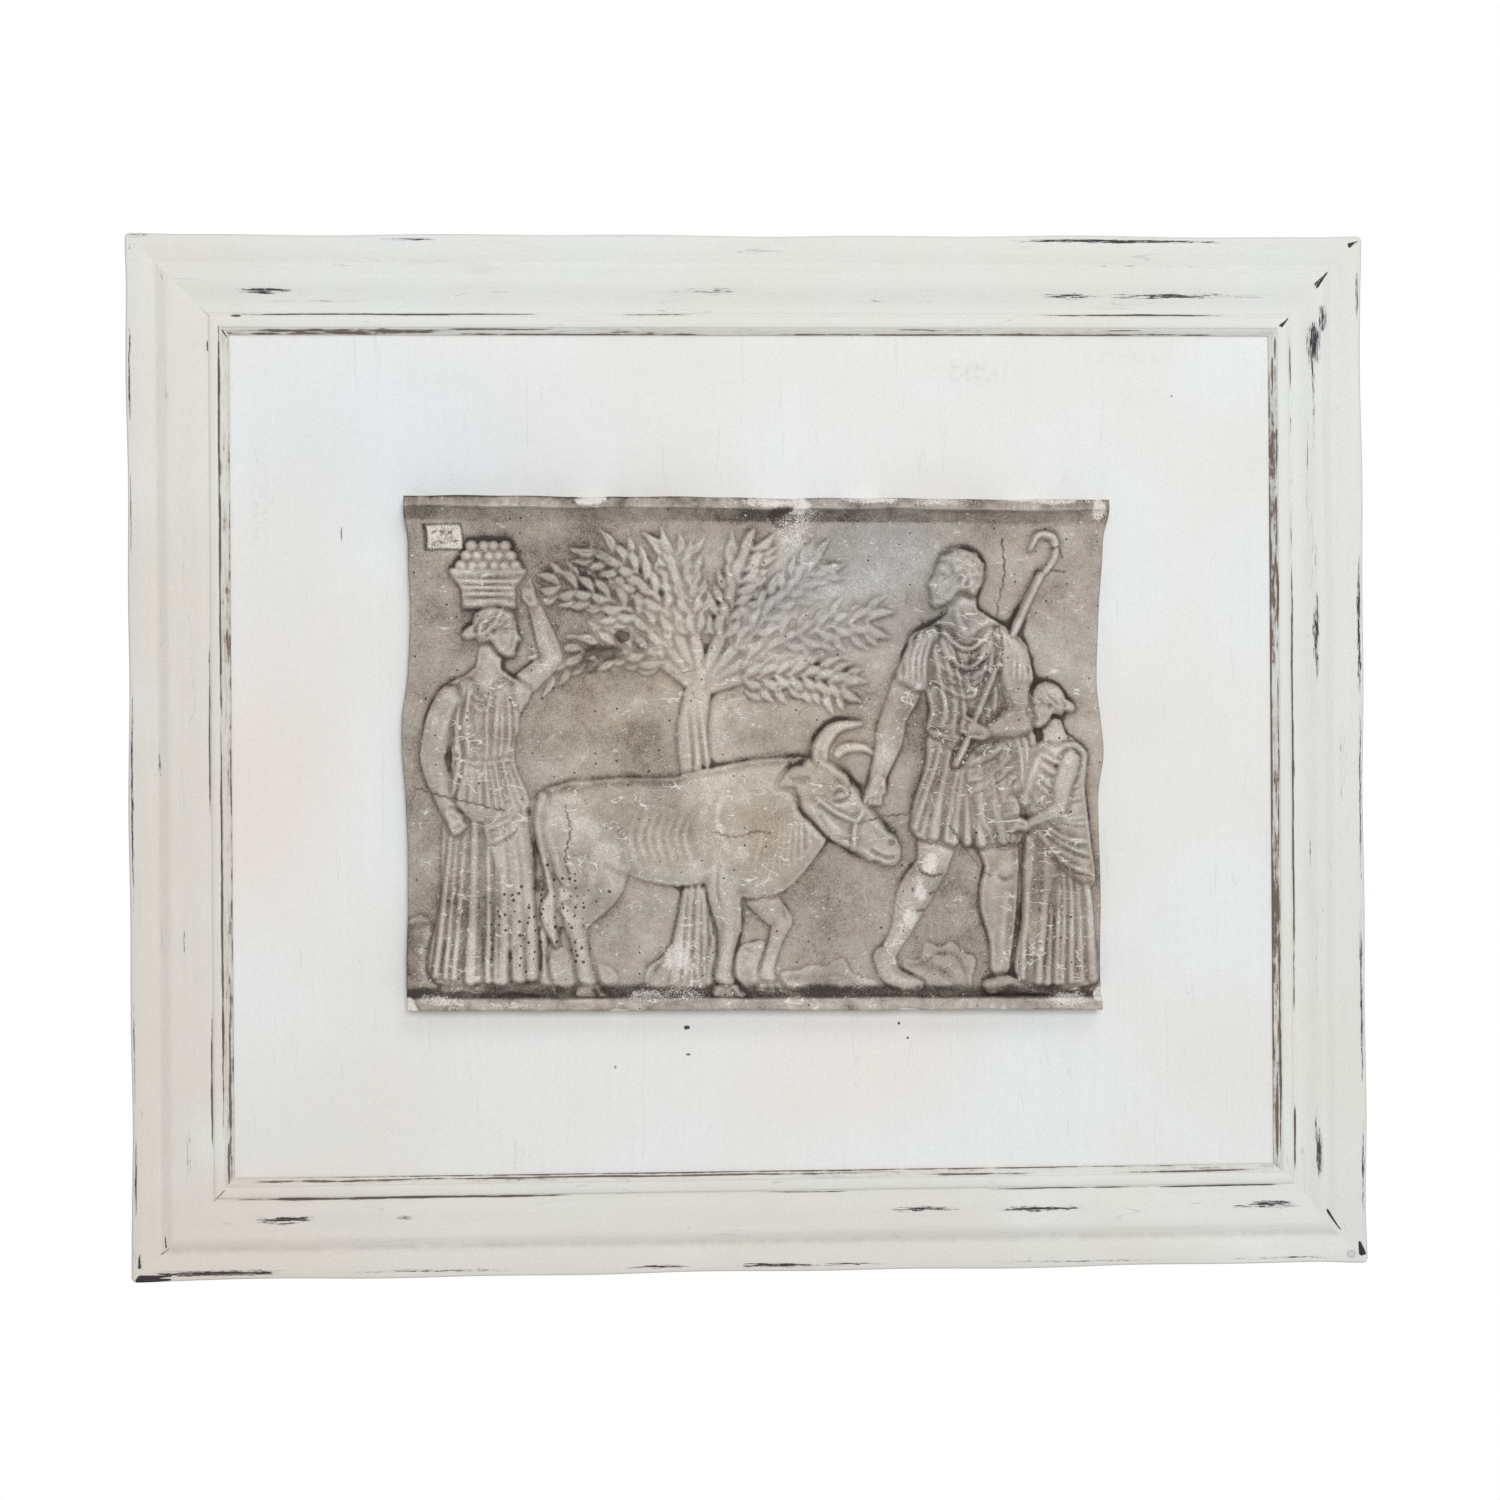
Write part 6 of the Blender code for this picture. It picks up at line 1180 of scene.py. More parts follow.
# A haltered ox walking to the right
def ox(ground):
    far = ground.fresh()
    far.limb([(26, 60), (34, 44), (43.5, 32.5)], [10, 6.8, 4.5], 0.8, 0.35)
    far.limb([(-42, 62), (-46, 46), (-62, 31)], [15, 8.5, 4.6], 0.8, 0.3)
    far.melt(1.4)
    shank(far, (43.5, 32), (40.5, 22), (37.2, 10.5), 1)
    shank(far, (-62, 31), (-63, 19), (-62.2, 8.8), 1)
    far.limb([(62, 98), (70, 107), (80, 108), (87.5, 102.5)], [3.2, 2.7, 1.8, 0.6], 1.2, 0.6)
    lay(ground, far, 0.4, 0.8)
    clay = ground.fresh()
    # barrel, quarters, shoulder and neck
    clay.limb(
        [(-50, 74.5), (-30, 75), (-5, 71.5), (16, 73.5), (29, 68)], [16.5, 19, 22.8, 22.2, 16.5], 1.6, 0.2
    )
    clay.limb([(-57.5, 80), (-50, 74), (-42, 62)], [8.5, 16, 16], 3, 0.2)
    clay.limb(
        [(-59, 83), (-46, 86), (-28, 86.2), (-6, 86.8), (12, 90.5)], [5.2, 6.6, 6.4, 6.6, 7.6], 2.6, 0.2
    )
    clay.limb([(16, 90), (20, 76), (20, 60)], [8, 13, 12], 3.4, 0.24)
    clay.limb([(14, 84), (36, 88), (60, 93)], [13.8, 14.2, 10], 2.8, 0.26)
    clay.limb([(30, 66), (46, 74), (58, 82)], [16.5, 13, 9.5], 2.2, 0.2)
    clay.limb([(31, 54), (42, 55), (56, 67), (63, 76)], [11, 8.5, 5.5, 3.5], 1.8, 0.22)
    # thigh and forearm
    clay.limb([(-45, 66), (-36, 50), (-47, 33)], [16, 9.4, 4.6], 3, 0.32)
    clay.limb([(21, 60), (18.5, 46), (20.5, 30.5)], [11, 6.6, 4.3], 3.4, 0.36)
    clay.melt(2)
    legs = ground.fresh()
    shank(legs, (-47.5, 32.5), (-44.8, 20), (-42.5, 9.2), 3)
    shank(legs, (20.5, 30), (19.2, 19), (18, 9.2), 3.4)
    legs.limb([(-51.5, 37.5), (-48.8, 33)], [2.4, 3], 3.2, 0.5)
    clay.h = np.maximum(clay.h, legs.h)
    # head
    face = ground.fresh()
    face.limb([(60, 93), (72, 83), (88, 66.5)], [10.5, 8.6, 5.6], 4, 0.3)
    face.limb([(61, 86), (70, 74), (84, 64)], [9, 6, 4.5], 3.4, 0.3)
    face.limb([(88.5, 66), (91, 62.5)], [6, 5.2], 4, 0.34)
    face.melt(1)
    face.bump((70.5, 88), (3.4, 2.7), -1.6)
    face.bump((70.5, 87.5), (2, 1.4), 2.4)
    face.cut([(66.5, 89.5), (70.5, 91.4), (74.2, 88)], 0.9, -1.1)
    face.cut([(66, 85), (70, 84.5), (73.5, 86.2)], 0.8, 0.6)
    face.bump((92.5, 66.8), (1.8, 1.2), -1.6)
    face.cut([(90, 70), (94, 69.5), (95.5, 66)], 0.9, -0.7)
    face.cut([(94.5, 60.5), (89, 60.5), (83, 63.5)], 0.9, 1.5, 0.3)
    face.cut([(60, 79), (66, 71), (76, 66.5)], 1.6, 0.9)
    face.cut([(74, 90), (82, 80), (90, 70)], 2, -0.6)
    face.limb([(57.5, 94.5), (51, 95.5), (44, 92)], [2.8, 4.2, 1.1], 5.2, 0.4)
    face.cut([(57, 94.6), (47, 93.5)], 1.6, 1.4)
    face.limb([(60.5, 100.5), (61.5, 109), (68, 116.5), (79, 118.5)], [3.6, 3.3, 2.3, 0.7], 4.2, 0.6)
    for i in range(4):
        face.cut([(57.5 + 0.4 * i, 102 + 1.6 * i), (64, 101.5 + 1.4 * i)], 0.6, 0.5, 0.2)
    for row in range(2):
        for i in range(7):
            p = (59 + 2 * i - 1.2 * row, 103 - 1.3 * i - 3.4 * row)
            q = (p[0] + 1.8, p[1] - 2.8)
            face.limb([p, q, (q[0] - 0.6, q[1] - 1.4)], [1.3, 1.2, 0.7], 5.8 - 0.4 * row, 0.8)
    # halter
    face.cut([(80, 80), (76.5, 74), (75.5, 64)], 0.9, -1.2, 0)
    face.cut([(77.5, 76), (68, 80), (60, 86)], 0.8, -1.1, 0.1)
    # muscles and bones under the hide
    clay.bump((-47, 86.5), (5, 3.2), 0.8)
    clay.bump((-60, 82), (3, 3), 0.5)
    clay.bump((-24.5, 75), (5.5, 10), -1)
    clay.cut([(-40, 84), (-29, 74), (-25, 60), (-22, 55)], 2.6, 0.7)
    clay.cut([(12, 90), (4.5, 78), (5.5, 64), (11, 55)], 3.4, 0.9)
    clay.cut([(20, 90), (15.5, 76), (21, 62)], 2.2, -0.7)
    clay.cut([(31, 94), (33.5, 78), (30, 62)], 3, 0.6)
    clay.cut([(-35, 58), (-26, 53), (-20, 56)], 1.8, 0.8)
    clay.cut([(-57, 72), (-53, 58), (-49, 46)], 1.6, 0.6)
    clay.cut([(-44, 62), (-40, 50), (-44, 38)], 2.2, -0.4)
    clay.cut([(15.5, 58), (15, 46), (18.5, 34)], 1, 0.4)
    for i in range(7):
        xx = -19 + 4 * i
        clay.cut([(xx + 2, 80), (xx - 1.8, 69), (xx + 1.2, 58)], 1.3, 0.36)
    for i in range(8):
        u = i / 7
        clay.cut([(36 + 17 * u, 84 - u), (37 + 17 * u, 70 + 3 * u), (30 + 24 * u, 47 + 16 * u)], 1.2, 0.5)
    for q in ((-46.2, 32.5), (20.3, 30.5)):
        clay.bump(q, (2.8, 2.8), 0.7)
    lay(ground, clay, 0.3)
    tail = ground.fresh()
    tail.limb([(-60.5, 86.2), (-63.2, 74), (-60, 56), (-58, 44)], [2.4, 1.7, 1.3, 1.3], 3, 0.7)
    tail.limb([(-58, 44), (-59.8, 36), (-56, 23)], [1.6, 3.2, 0.8], 3, 0.6)
    for i in range(4):
        tail.cut([(-58.8 + 0.9 * i, 41), (-61.2 + 1.8 * i, 34), (-57 + 0.5 * i, 25)], 0.5, 0.7)
    lay(ground, tail, 0.2, 0.6)
    lay(ground, face, 0.25, 1.2)


# A herdsman in a short tunic, who leads the ox and looks back at it
def herdsman(ground):
    # cloak hanging behind the shoulder
    cloak = ground.fresh()
    cloak.slab(
        [(6, 80), (11.8, 76.5), (15, 62), (18.5, 46), (17, 39), (13, 41), (9, 36), (5, 50)], 0.8, 4, 1.4
    )
    hang(
        cloak, [[(7, 78), (11.2, 76)], [(7, 60), (14.2, 60)], [(9, 38.5), (14, 41), (18, 43)]], 5,
        [0.6, 1, 1.2], 1.8, 0.8, 11
    )
    lay(ground, cloak, 0.5, 0.6)
    back = ground.fresh()
    # rear leg, trailing on its toes
    leg(back, (-3.5, 50), (-8, 29), (-17.8, 9.8), 1.2, -1, 0.95)
    back.limb([(-19, 8.2), (-17.5, 4.2), (-11.5, 1.8)], [2.3, 2, 1.2], 1.4, 0.5)
    back.melt(1.2)
    lay(ground, back, 0.5)
    # far arm, reaching back to the halter
    far = ground.fresh()
    arm(far, (-9.5, 77.5), (-16.8, 62.2), (-20.6, 48.5), 2, 0.96)
    far.melt(1.2)
    hand(far, (-20.6, 48.5), -1.75, 7, 2.8, True)
    lay(ground, far, 0.4, 0.8)
    body = ground.fresh()
    leg(body, (4.2, 50), (8.2, 29), (7.6, 6.2), 2, -1)
    body.limb([(-1.6, 90), (-1, 85), (-0.4, 80)], [3.1, 3.1, 4.2], 2.2, 0.5)
    for side in (-1, 1):
        body.limb(
            [(side * 9.5, 78.5), (side * 5, 81.5), (side * 0.8 - 0.6, 85)], [3.6, 2.9, 2.4], 2.2, 0.42
        )
    body.melt(1.8)
    kneeLines(body, (8.4, 29))
    body.cut([(8.8, 23.5), (8, 16), (7.8, 10)], 0.8, -0.4)
    body.cut([(-3, 87.5), (-1.6, 83.5), (0.2, 80.5)], 0.7, -0.6)
    foot(body, (7.4, 4.8), 14.5, 2)
    lay(ground, body, 0.5)
    # skirt of the tunic
    skirt = ground.fresh()
    skirt.slab(
        [
            (-7.8, 60), (-10, 50), (-12.8, 37.2), (-6, 34.2), (0, 35.2), (5, 33.5), (13.5, 35.6), (11, 50),
            (7.8, 60)
        ],
        2.2, 5, 2.2
    )
    hang(
        skirt,
        [
            [(-6.6, 60), (6.6, 60)], [(-9.2, 48), (9.8, 48)],
            [(-12.2, 37.6), (-5, 35.2), (5, 34.6), (12.8, 36.6)]
        ],
        11, [0.6, 0.9, 1.2], 3.4, 0.75, 5
    )
    pressLeg(skirt, (4, 53), (7, 40), (7.4, 36), 4, 0.8)
    swags(skirt, [(-1, 53), (1, 44)], [(8.8, 58.5), (10.8, 50)], 3, 1.4, 0.5, 0.6, 4)
    lay(ground, skirt, 0.3, 1)
    # upper tunic, bloused over the belt
    chest = ground.fresh()
    chest.slab(
        [
            (-9.8, 79.5), (-9.4, 72), (-7.8, 64.5), (-8.8, 59.2), (-3, 57.8), (4, 57.6), (9, 59.2),
            (8, 64.5), (9.6, 72), (10, 79.5), (5.5, 82.6), (2, 80.5), (-0.6, 79.5), (-2.6, 80.5),
            (-5.5, 82.6)
        ],
        2.4, 4, 2.4
    )
    chest.limb([(-5, 75), (-3, 73.5)], [5.4, 5.2], 3.4, 0.32)
    chest.limb([(5.3, 75), (3.6, 73.5)], [5.4, 5.2], 3.4, 0.32)
    chest.limb([(0, 67), (0, 62)], [6.4, 7.2], 3.2, 0.26)
    chest.melt(2.8)
    pleats(
        chest,
        [
            [(-8.8, 79), (-5, 80), (5, 80), (9, 79)], [(-8, 72), (8.3, 72)], [(-6.6, 65), (7, 65)],
            [(-7.8, 60), (0, 58.8), (8, 60)]
        ],
        9, 0.6, 0.6, 9, 0.3
    )
    swags(chest, [(-5.6, 81.8), (-7.4, 70)], [(5.8, 81.8), (7.6, 70)], 6, 4.6, 0.58, 0.8, 3)
    lay(ground, chest, 0.3, 0.9)
    belt = ground.fresh()
    belt.limb([(-8, 59), (0, 57.4), (8, 59)], [0.6, 0.7, 0.6], 3.4, 0.7)
    lay(ground, belt, 0.25, 0.5)
    # crook, carried over the shoulder
    crook = ground.fresh()
    crook.limb([(-3.2, 52), (8.5, 76.5), (16.5, 94.5)], [0.75, 0.75, 0.75], 4.4, 0.8)
    crook.limb(
        [(16, 93.5), (19.5, 98.5), (19.2, 103), (15.8, 103.8), (14, 100.8)], [0.8, 0.85, 0.85, 0.8, 0.6],
        1.8, 0.9
    )
    lay(ground, crook, 0.42, 0.6)
    # near arm, bent across to the crook, under a short sleeve
    near = ground.fresh()
    arm(near, (10.5, 76.8), (13.6, 62.8), (3.4, 59), 4, 1)
    near.melt(1.2)
    hand(near, (3.4, 59), 2.75, 6.6, 5, True)
    lay(ground, near, 0.3, 0.9)
    sleeve = ground.fresh()
    for side in (-1, 1):
        sleeve.slab(
            [
                (side * 7, 82.2), (side * 11.8, 80), (side * 14.6, 73.5), (side * 15, 70.5),
                (side * 11.8, 69), (side * 8.8, 70), (side * 7.8, 76)
            ],
            4.4, 4, 2.4
        )
    sleeve.melt(1.5)
    for side in (-1, 1):
        for i in range(5):
            a = 7.2 + 1.4 * i
            sleeve.cut(
                [(side * a, 82 - 0.4 * i), (side * (a + 1.6), 76), (side * (a + 1.6), 70)], 0.45, 0.7
            )
    lay(ground, sleeve, 0.25, 0.7)
    top = ground.fresh()
    head(top, (-3, 93.7), 13.2, -1, 0.06, 3.2, "short", 2)
    lay(ground, top, 0.25)


# A girl facing left in a long dress and shawl, with a jug in her hands
def girlWithJug(ground):
    body = ground.fresh()
    foot(body, (6, 4.8), 13, 1.6)
    foot(body, (-6, 4.8), 13, 1.2)
    body.limb([(1.4, 89), (0.4, 85), (0, 80)], [3.1, 3.1, 4.2], 2, 0.5)
    body.limb([(-6.5, 77.5), (-2, 81), (5.5, 78.5)], [3.4, 3.4, 3.2], 2, 0.42)
    body.melt(1.5)
    body.slab(
        [(-7, 64), (-11.5, 48), (-12.5, 25), (-15, 4.5), (0, 3), (12.5, 5), (11, 25), (10, 45), (6.5, 64)],
        1.4, 5, 2
    )
    hang(
        body, [[(-6, 64), (6, 64)], [(-11.5, 35), (10.2, 35)], [(-14.5, 5.5), (0, 4), (12, 5.5)]], 9,
        [0.7, 1.2, 1.5], 2.6, 0.8, 13
    )
    pressLeg(body, (3.5, 52), (7, 32), (6, 14), 3.6)
    lay(ground, body, 0.4, 0.9)
    # shawl wrapped across the body
    wrap = ground.fresh()
    wrap.slab(
        [
            (-8, 80), (-10.2, 66), (-11.8, 50), (-12.5, 36), (-3, 42), (7, 52), (8.2, 62), (7.8, 72),
            (6.2, 80), (0, 81.5)
        ],
        2.8, 5, 2.8
    )
    wrap.limb([(-2, 72), (3, 70)], [5.8, 5.2], 3.4, 0.28)
    wrap.melt(2)
    swags(wrap, [(-7, 80), (-10.5, 58), (-12.2, 38)], [(6, 80), (7.8, 66), (6.8, 53)], 9, 3, 0.7, 0.8, 6)
    lay(ground, wrap, 0.3, 0.8)
    # a jug held before the body in both hands
    far = ground.fresh()
    arm(far, (5, 76.5), (8.5, 64), (15, 60.5), 1.6, 0.9)
    far.melt(1)
    lay(ground, far, 0.3, 0.6)
    jug = ground.fresh()
    jx, jz = 16.5, 52
    jug.slab(
        [
            (jx - 2.2, jz), (jx - 5.5, jz + 6), (jx - 4.8, jz + 11.5), (jx - 2, jz + 14.5),
            (jx - 2.8, jz + 18.5), (jx + 2.8, jz + 18.5), (jx + 2, jz + 14.5), (jx + 4.8, jz + 11.5),
            (jx + 5.5, jz + 6), (jx + 2.2, jz)
        ],
        2, 4.5, 3.4, 5
    )
    jug.limb([(jx - 3, jz + 18.8), (jx + 3, jz + 18.8)], [0.75, 0.75], 3.6, 0.8)
    jug.limb([(jx - 2.8, jz - 0.2), (jx + 2.8, jz - 0.2)], [0.8, 0.8], 3, 0.8)
    for i in range(3):
        jug.cut(
            [(jx - 5.2, jz + 8.5 + 1.2 * i), (jx, jz + 7.8 + 1.2 * i), (jx + 5.2, jz + 8.5 + 1.2 * i)], 0.3,
            0.6, 0
        )
    lay(ground, jug, 0.4)
    near = ground.fresh()
    arm(near, (-4, 76.5), (-2, 60.5), (9.8, 54.8), 3.8, 0.95)
    near.melt(1)
    hand(near, (9.8, 54.8), 0.2, 6.6, 4.6, True)
    lay(ground, near, 0.35, 0.8)
    top = ground.fresh()
    head(top, (2.2, 94.5), 14.2, -1, -0.1, 2.8, "long", 3)
    lay(ground, top, 0.25)


# An olive tree: a twisting trunk with roots, boughs, and slender leaves in overlapping sprays, up to top
def tree(ground, top):
    wood, leaves = ground.fresh(), ground.fresh()
    wood.limb([(-6, 4), (-1, 45), (4, 85), (-2, 125), (2, 160)], [12.5, 8.8, 7.6, 8, 6.2], 1, 0.36)
    for side in (-1, 1):
        wood.limb([(side * 6, 26), (side * 19, 4)], [6, 3], 0.8, 0.4)
    fork = (2, 154)
    boughs = [
        [(-26, 170), (-52, 172), (-80, 162)], [(-24, 182), (-48, 198), (-76, 204)],
        [(-18, 192), (-34, 212), (-54, 224)], [(-4, 190), (-10, 210), (-14, 228)],
        [(14, 188), (20, 208), (26, 226)], [(26, 182), (46, 202), (62, 218)],
        [(34, 172), (62, 184), (90, 188)], [(32, 160), (56, 160), (78, 154)]
    ]
    for b in boughs:
        wood.limb([fork] + b, [4.6, 3, 2.2, 1.4], 0.8)
    for i in range(6):
        lean = -5.8 + 2.3 * i
        sway = 2.2 * math.sin(i * 2.1)
        line = [(lean * 1.5, 8), (lean + sway, 50), (lean * 0.8 + 3 - sway, 95), (lean * 0.7, 150)]
        wood.cut(line, 0.8, 0.7, 0.3)
    wood.bump((3, 72), (3, 4), 1.2)
    wood.bump((3, 72), (1.4, 2), -1.4)
    lay(ground, wood, 0.3, 0.5)
    for b in boughs:
        leaves.limb(b, [8, 12, 7], 0, 0.05)
    for n, b in enumerate(boughs):
        line = curve([fork] + b, 10)
        for i in range(7, len(line), 3):
            d = line[min(i + 1, len(line) - 1)] - line[i - 1]
            a = math.atan2(d[1], d[0])
            for k in range(4):
                code = i * 7 + n * 31 + k * 13
                side = -1 if k % 2 else 1
                turn = a + side * (0.50 + 0.24 * k) + 0.22 * jitter(code, 1)
                size = 12.8 * (1 + 0.20 * jitter(code, 5))
                root = line[i] + side * k * np.array([-math.sin(a), math.cos(a)])
                mid = root + size * 0.5 * np.array([math.cos(turn), math.sin(turn)])
                tip = root + size * np.array([math.cos(turn - 0.25 * side), math.sin(turn - 0.25 * side)])
                if max(tip[1], mid[1]) <= top - 3:
                    rise = 1.9 - 0.5 * k + 0.3 * jitter(code, 9)
                    leaves.limb([root, mid, tip], [0.6, 2.5, 0.4], rise, 0.62)
                    leaves.cut([root, mid, tip], 0.5, 0.5, 0.2)
    lay(ground, leaves, 0.3, 0.4)


# Low boulders behind the feet, and the uneven ground they stand on
def rocks(ground):
    wide = (ground.xs[-1] - ground.xs[0]) / mm
    boulders = (
        (0.02, 26, 36), (0.235, 22, 24), (0.45, 34, 30), (0.60, 26, 18), (0.765, 20, 26), (0.99, 24, 32)
    )
    for i, (share, half, tall) in enumerate(boulders):
        x = share * wide
        stone = ground.fresh()
        ring = []
        for j in range(11):
            a = math.pi * j / 10
            r = 1 + 0.16 * jitter(j, i + 3)
            ring.append((x + half * r * math.cos(a), tall * r * math.sin(a) ** 0.8))
        stone.slab(ring + [(x - half, -2), (x + half, -2)], 0.3, 10, 2.2, 4)
        for j in range(3):
            a = x + half * 0.6 * jitter(j, i + 20)
            b = tall * (0.55 + 0.2 * jitter(j, i + 30))
            stone.cut([(a - 8, b + 6 * jitter(j, i + 40)), (a, b), (a + 9, b - 6)], 1.6, 0.6)
        stone.melt(1.5)
        lay(ground, stone, 0.3, 0.4)
    soil = ground.fresh()
    last = 33
    top = [(wide * i / last, 4.2 + 1.8 * jitter(i, 2) + 1.4 * math.sin(i * 0.9)) for i in range(last + 1)]
    soil.slab(top + [(wide + 4, -4), (-4, -4)], 0.6, 6, 2.2, 4)
    soil.melt(1.5)
    lay(ground, soil, 0.3, 0.4)


# The whole scene, on a sheet of its own size
def carve(width, height, step):
    xs = np.linspace(-width / 2, width / 2, round(width / step) + 1)
    ground = Clay(xs, np.arange(0, height + step, step), start=0.0)
    ground.st = Stand(xs[0] + pastoral["tree"], 0, 0.1)
    tree(ground, height / mm)
    ground.st = Stand(xs[0], 0, 0.1)
    rocks(ground)
    for name, make in (
        ("ox", ox), ("woman", womanWithBasket), ("herdsman", herdsman), ("girl", girlWithJug)
    ):
        at, foot, size, facing = pastoral[name]
        ground.st = Stand(xs[0] + at, foot, size, facing)
        make(ground)
    # broad masses swell towards their middles, and the modelling is sharpened
    mass = np.clip(2 * blur((ground.h > 0.0018).astype(float), 0.0045, step) - 1, 0, 1)
    shaped = blur(ground.h + 0.0016 * mass ** 0.8, 0.0004, step)
    for reach, share in ((0.0042, 0.25), (0.0016, 0.60), (0.0008, 0.70)):
        shaped = shaped + share * (shaped - blur(shaped, reach, step))
    ground.h = np.clip(shaped, -0.0012, 0.0119)
    return ground


# The clay's height at any places on its sheet
def sample(clay, x, z):
    i = np.clip((x - clay.xs[0]) / clay.step, 0, len(clay.xs) - 1.001)
    j = np.clip((z - clay.zs[0]) / clay.step, 0, len(clay.zs) - 1.001)
    a, b = i.astype(int), j.astype(int)
    u, v = i - a, j - b
    low = clay.h[b, a] * (1 - u) + clay.h[b, a + 1] * u
    high = clay.h[b + 1, a] * (1 - u) + clay.h[b + 1, a + 1] * u
    return low * (1 - v) + high * v


# A side's inset, read smoothly between its stations
def wander(stations, share):
    line = curve(stations, 8)
    return np.interp(share, line[:, 0], line[:, 1])


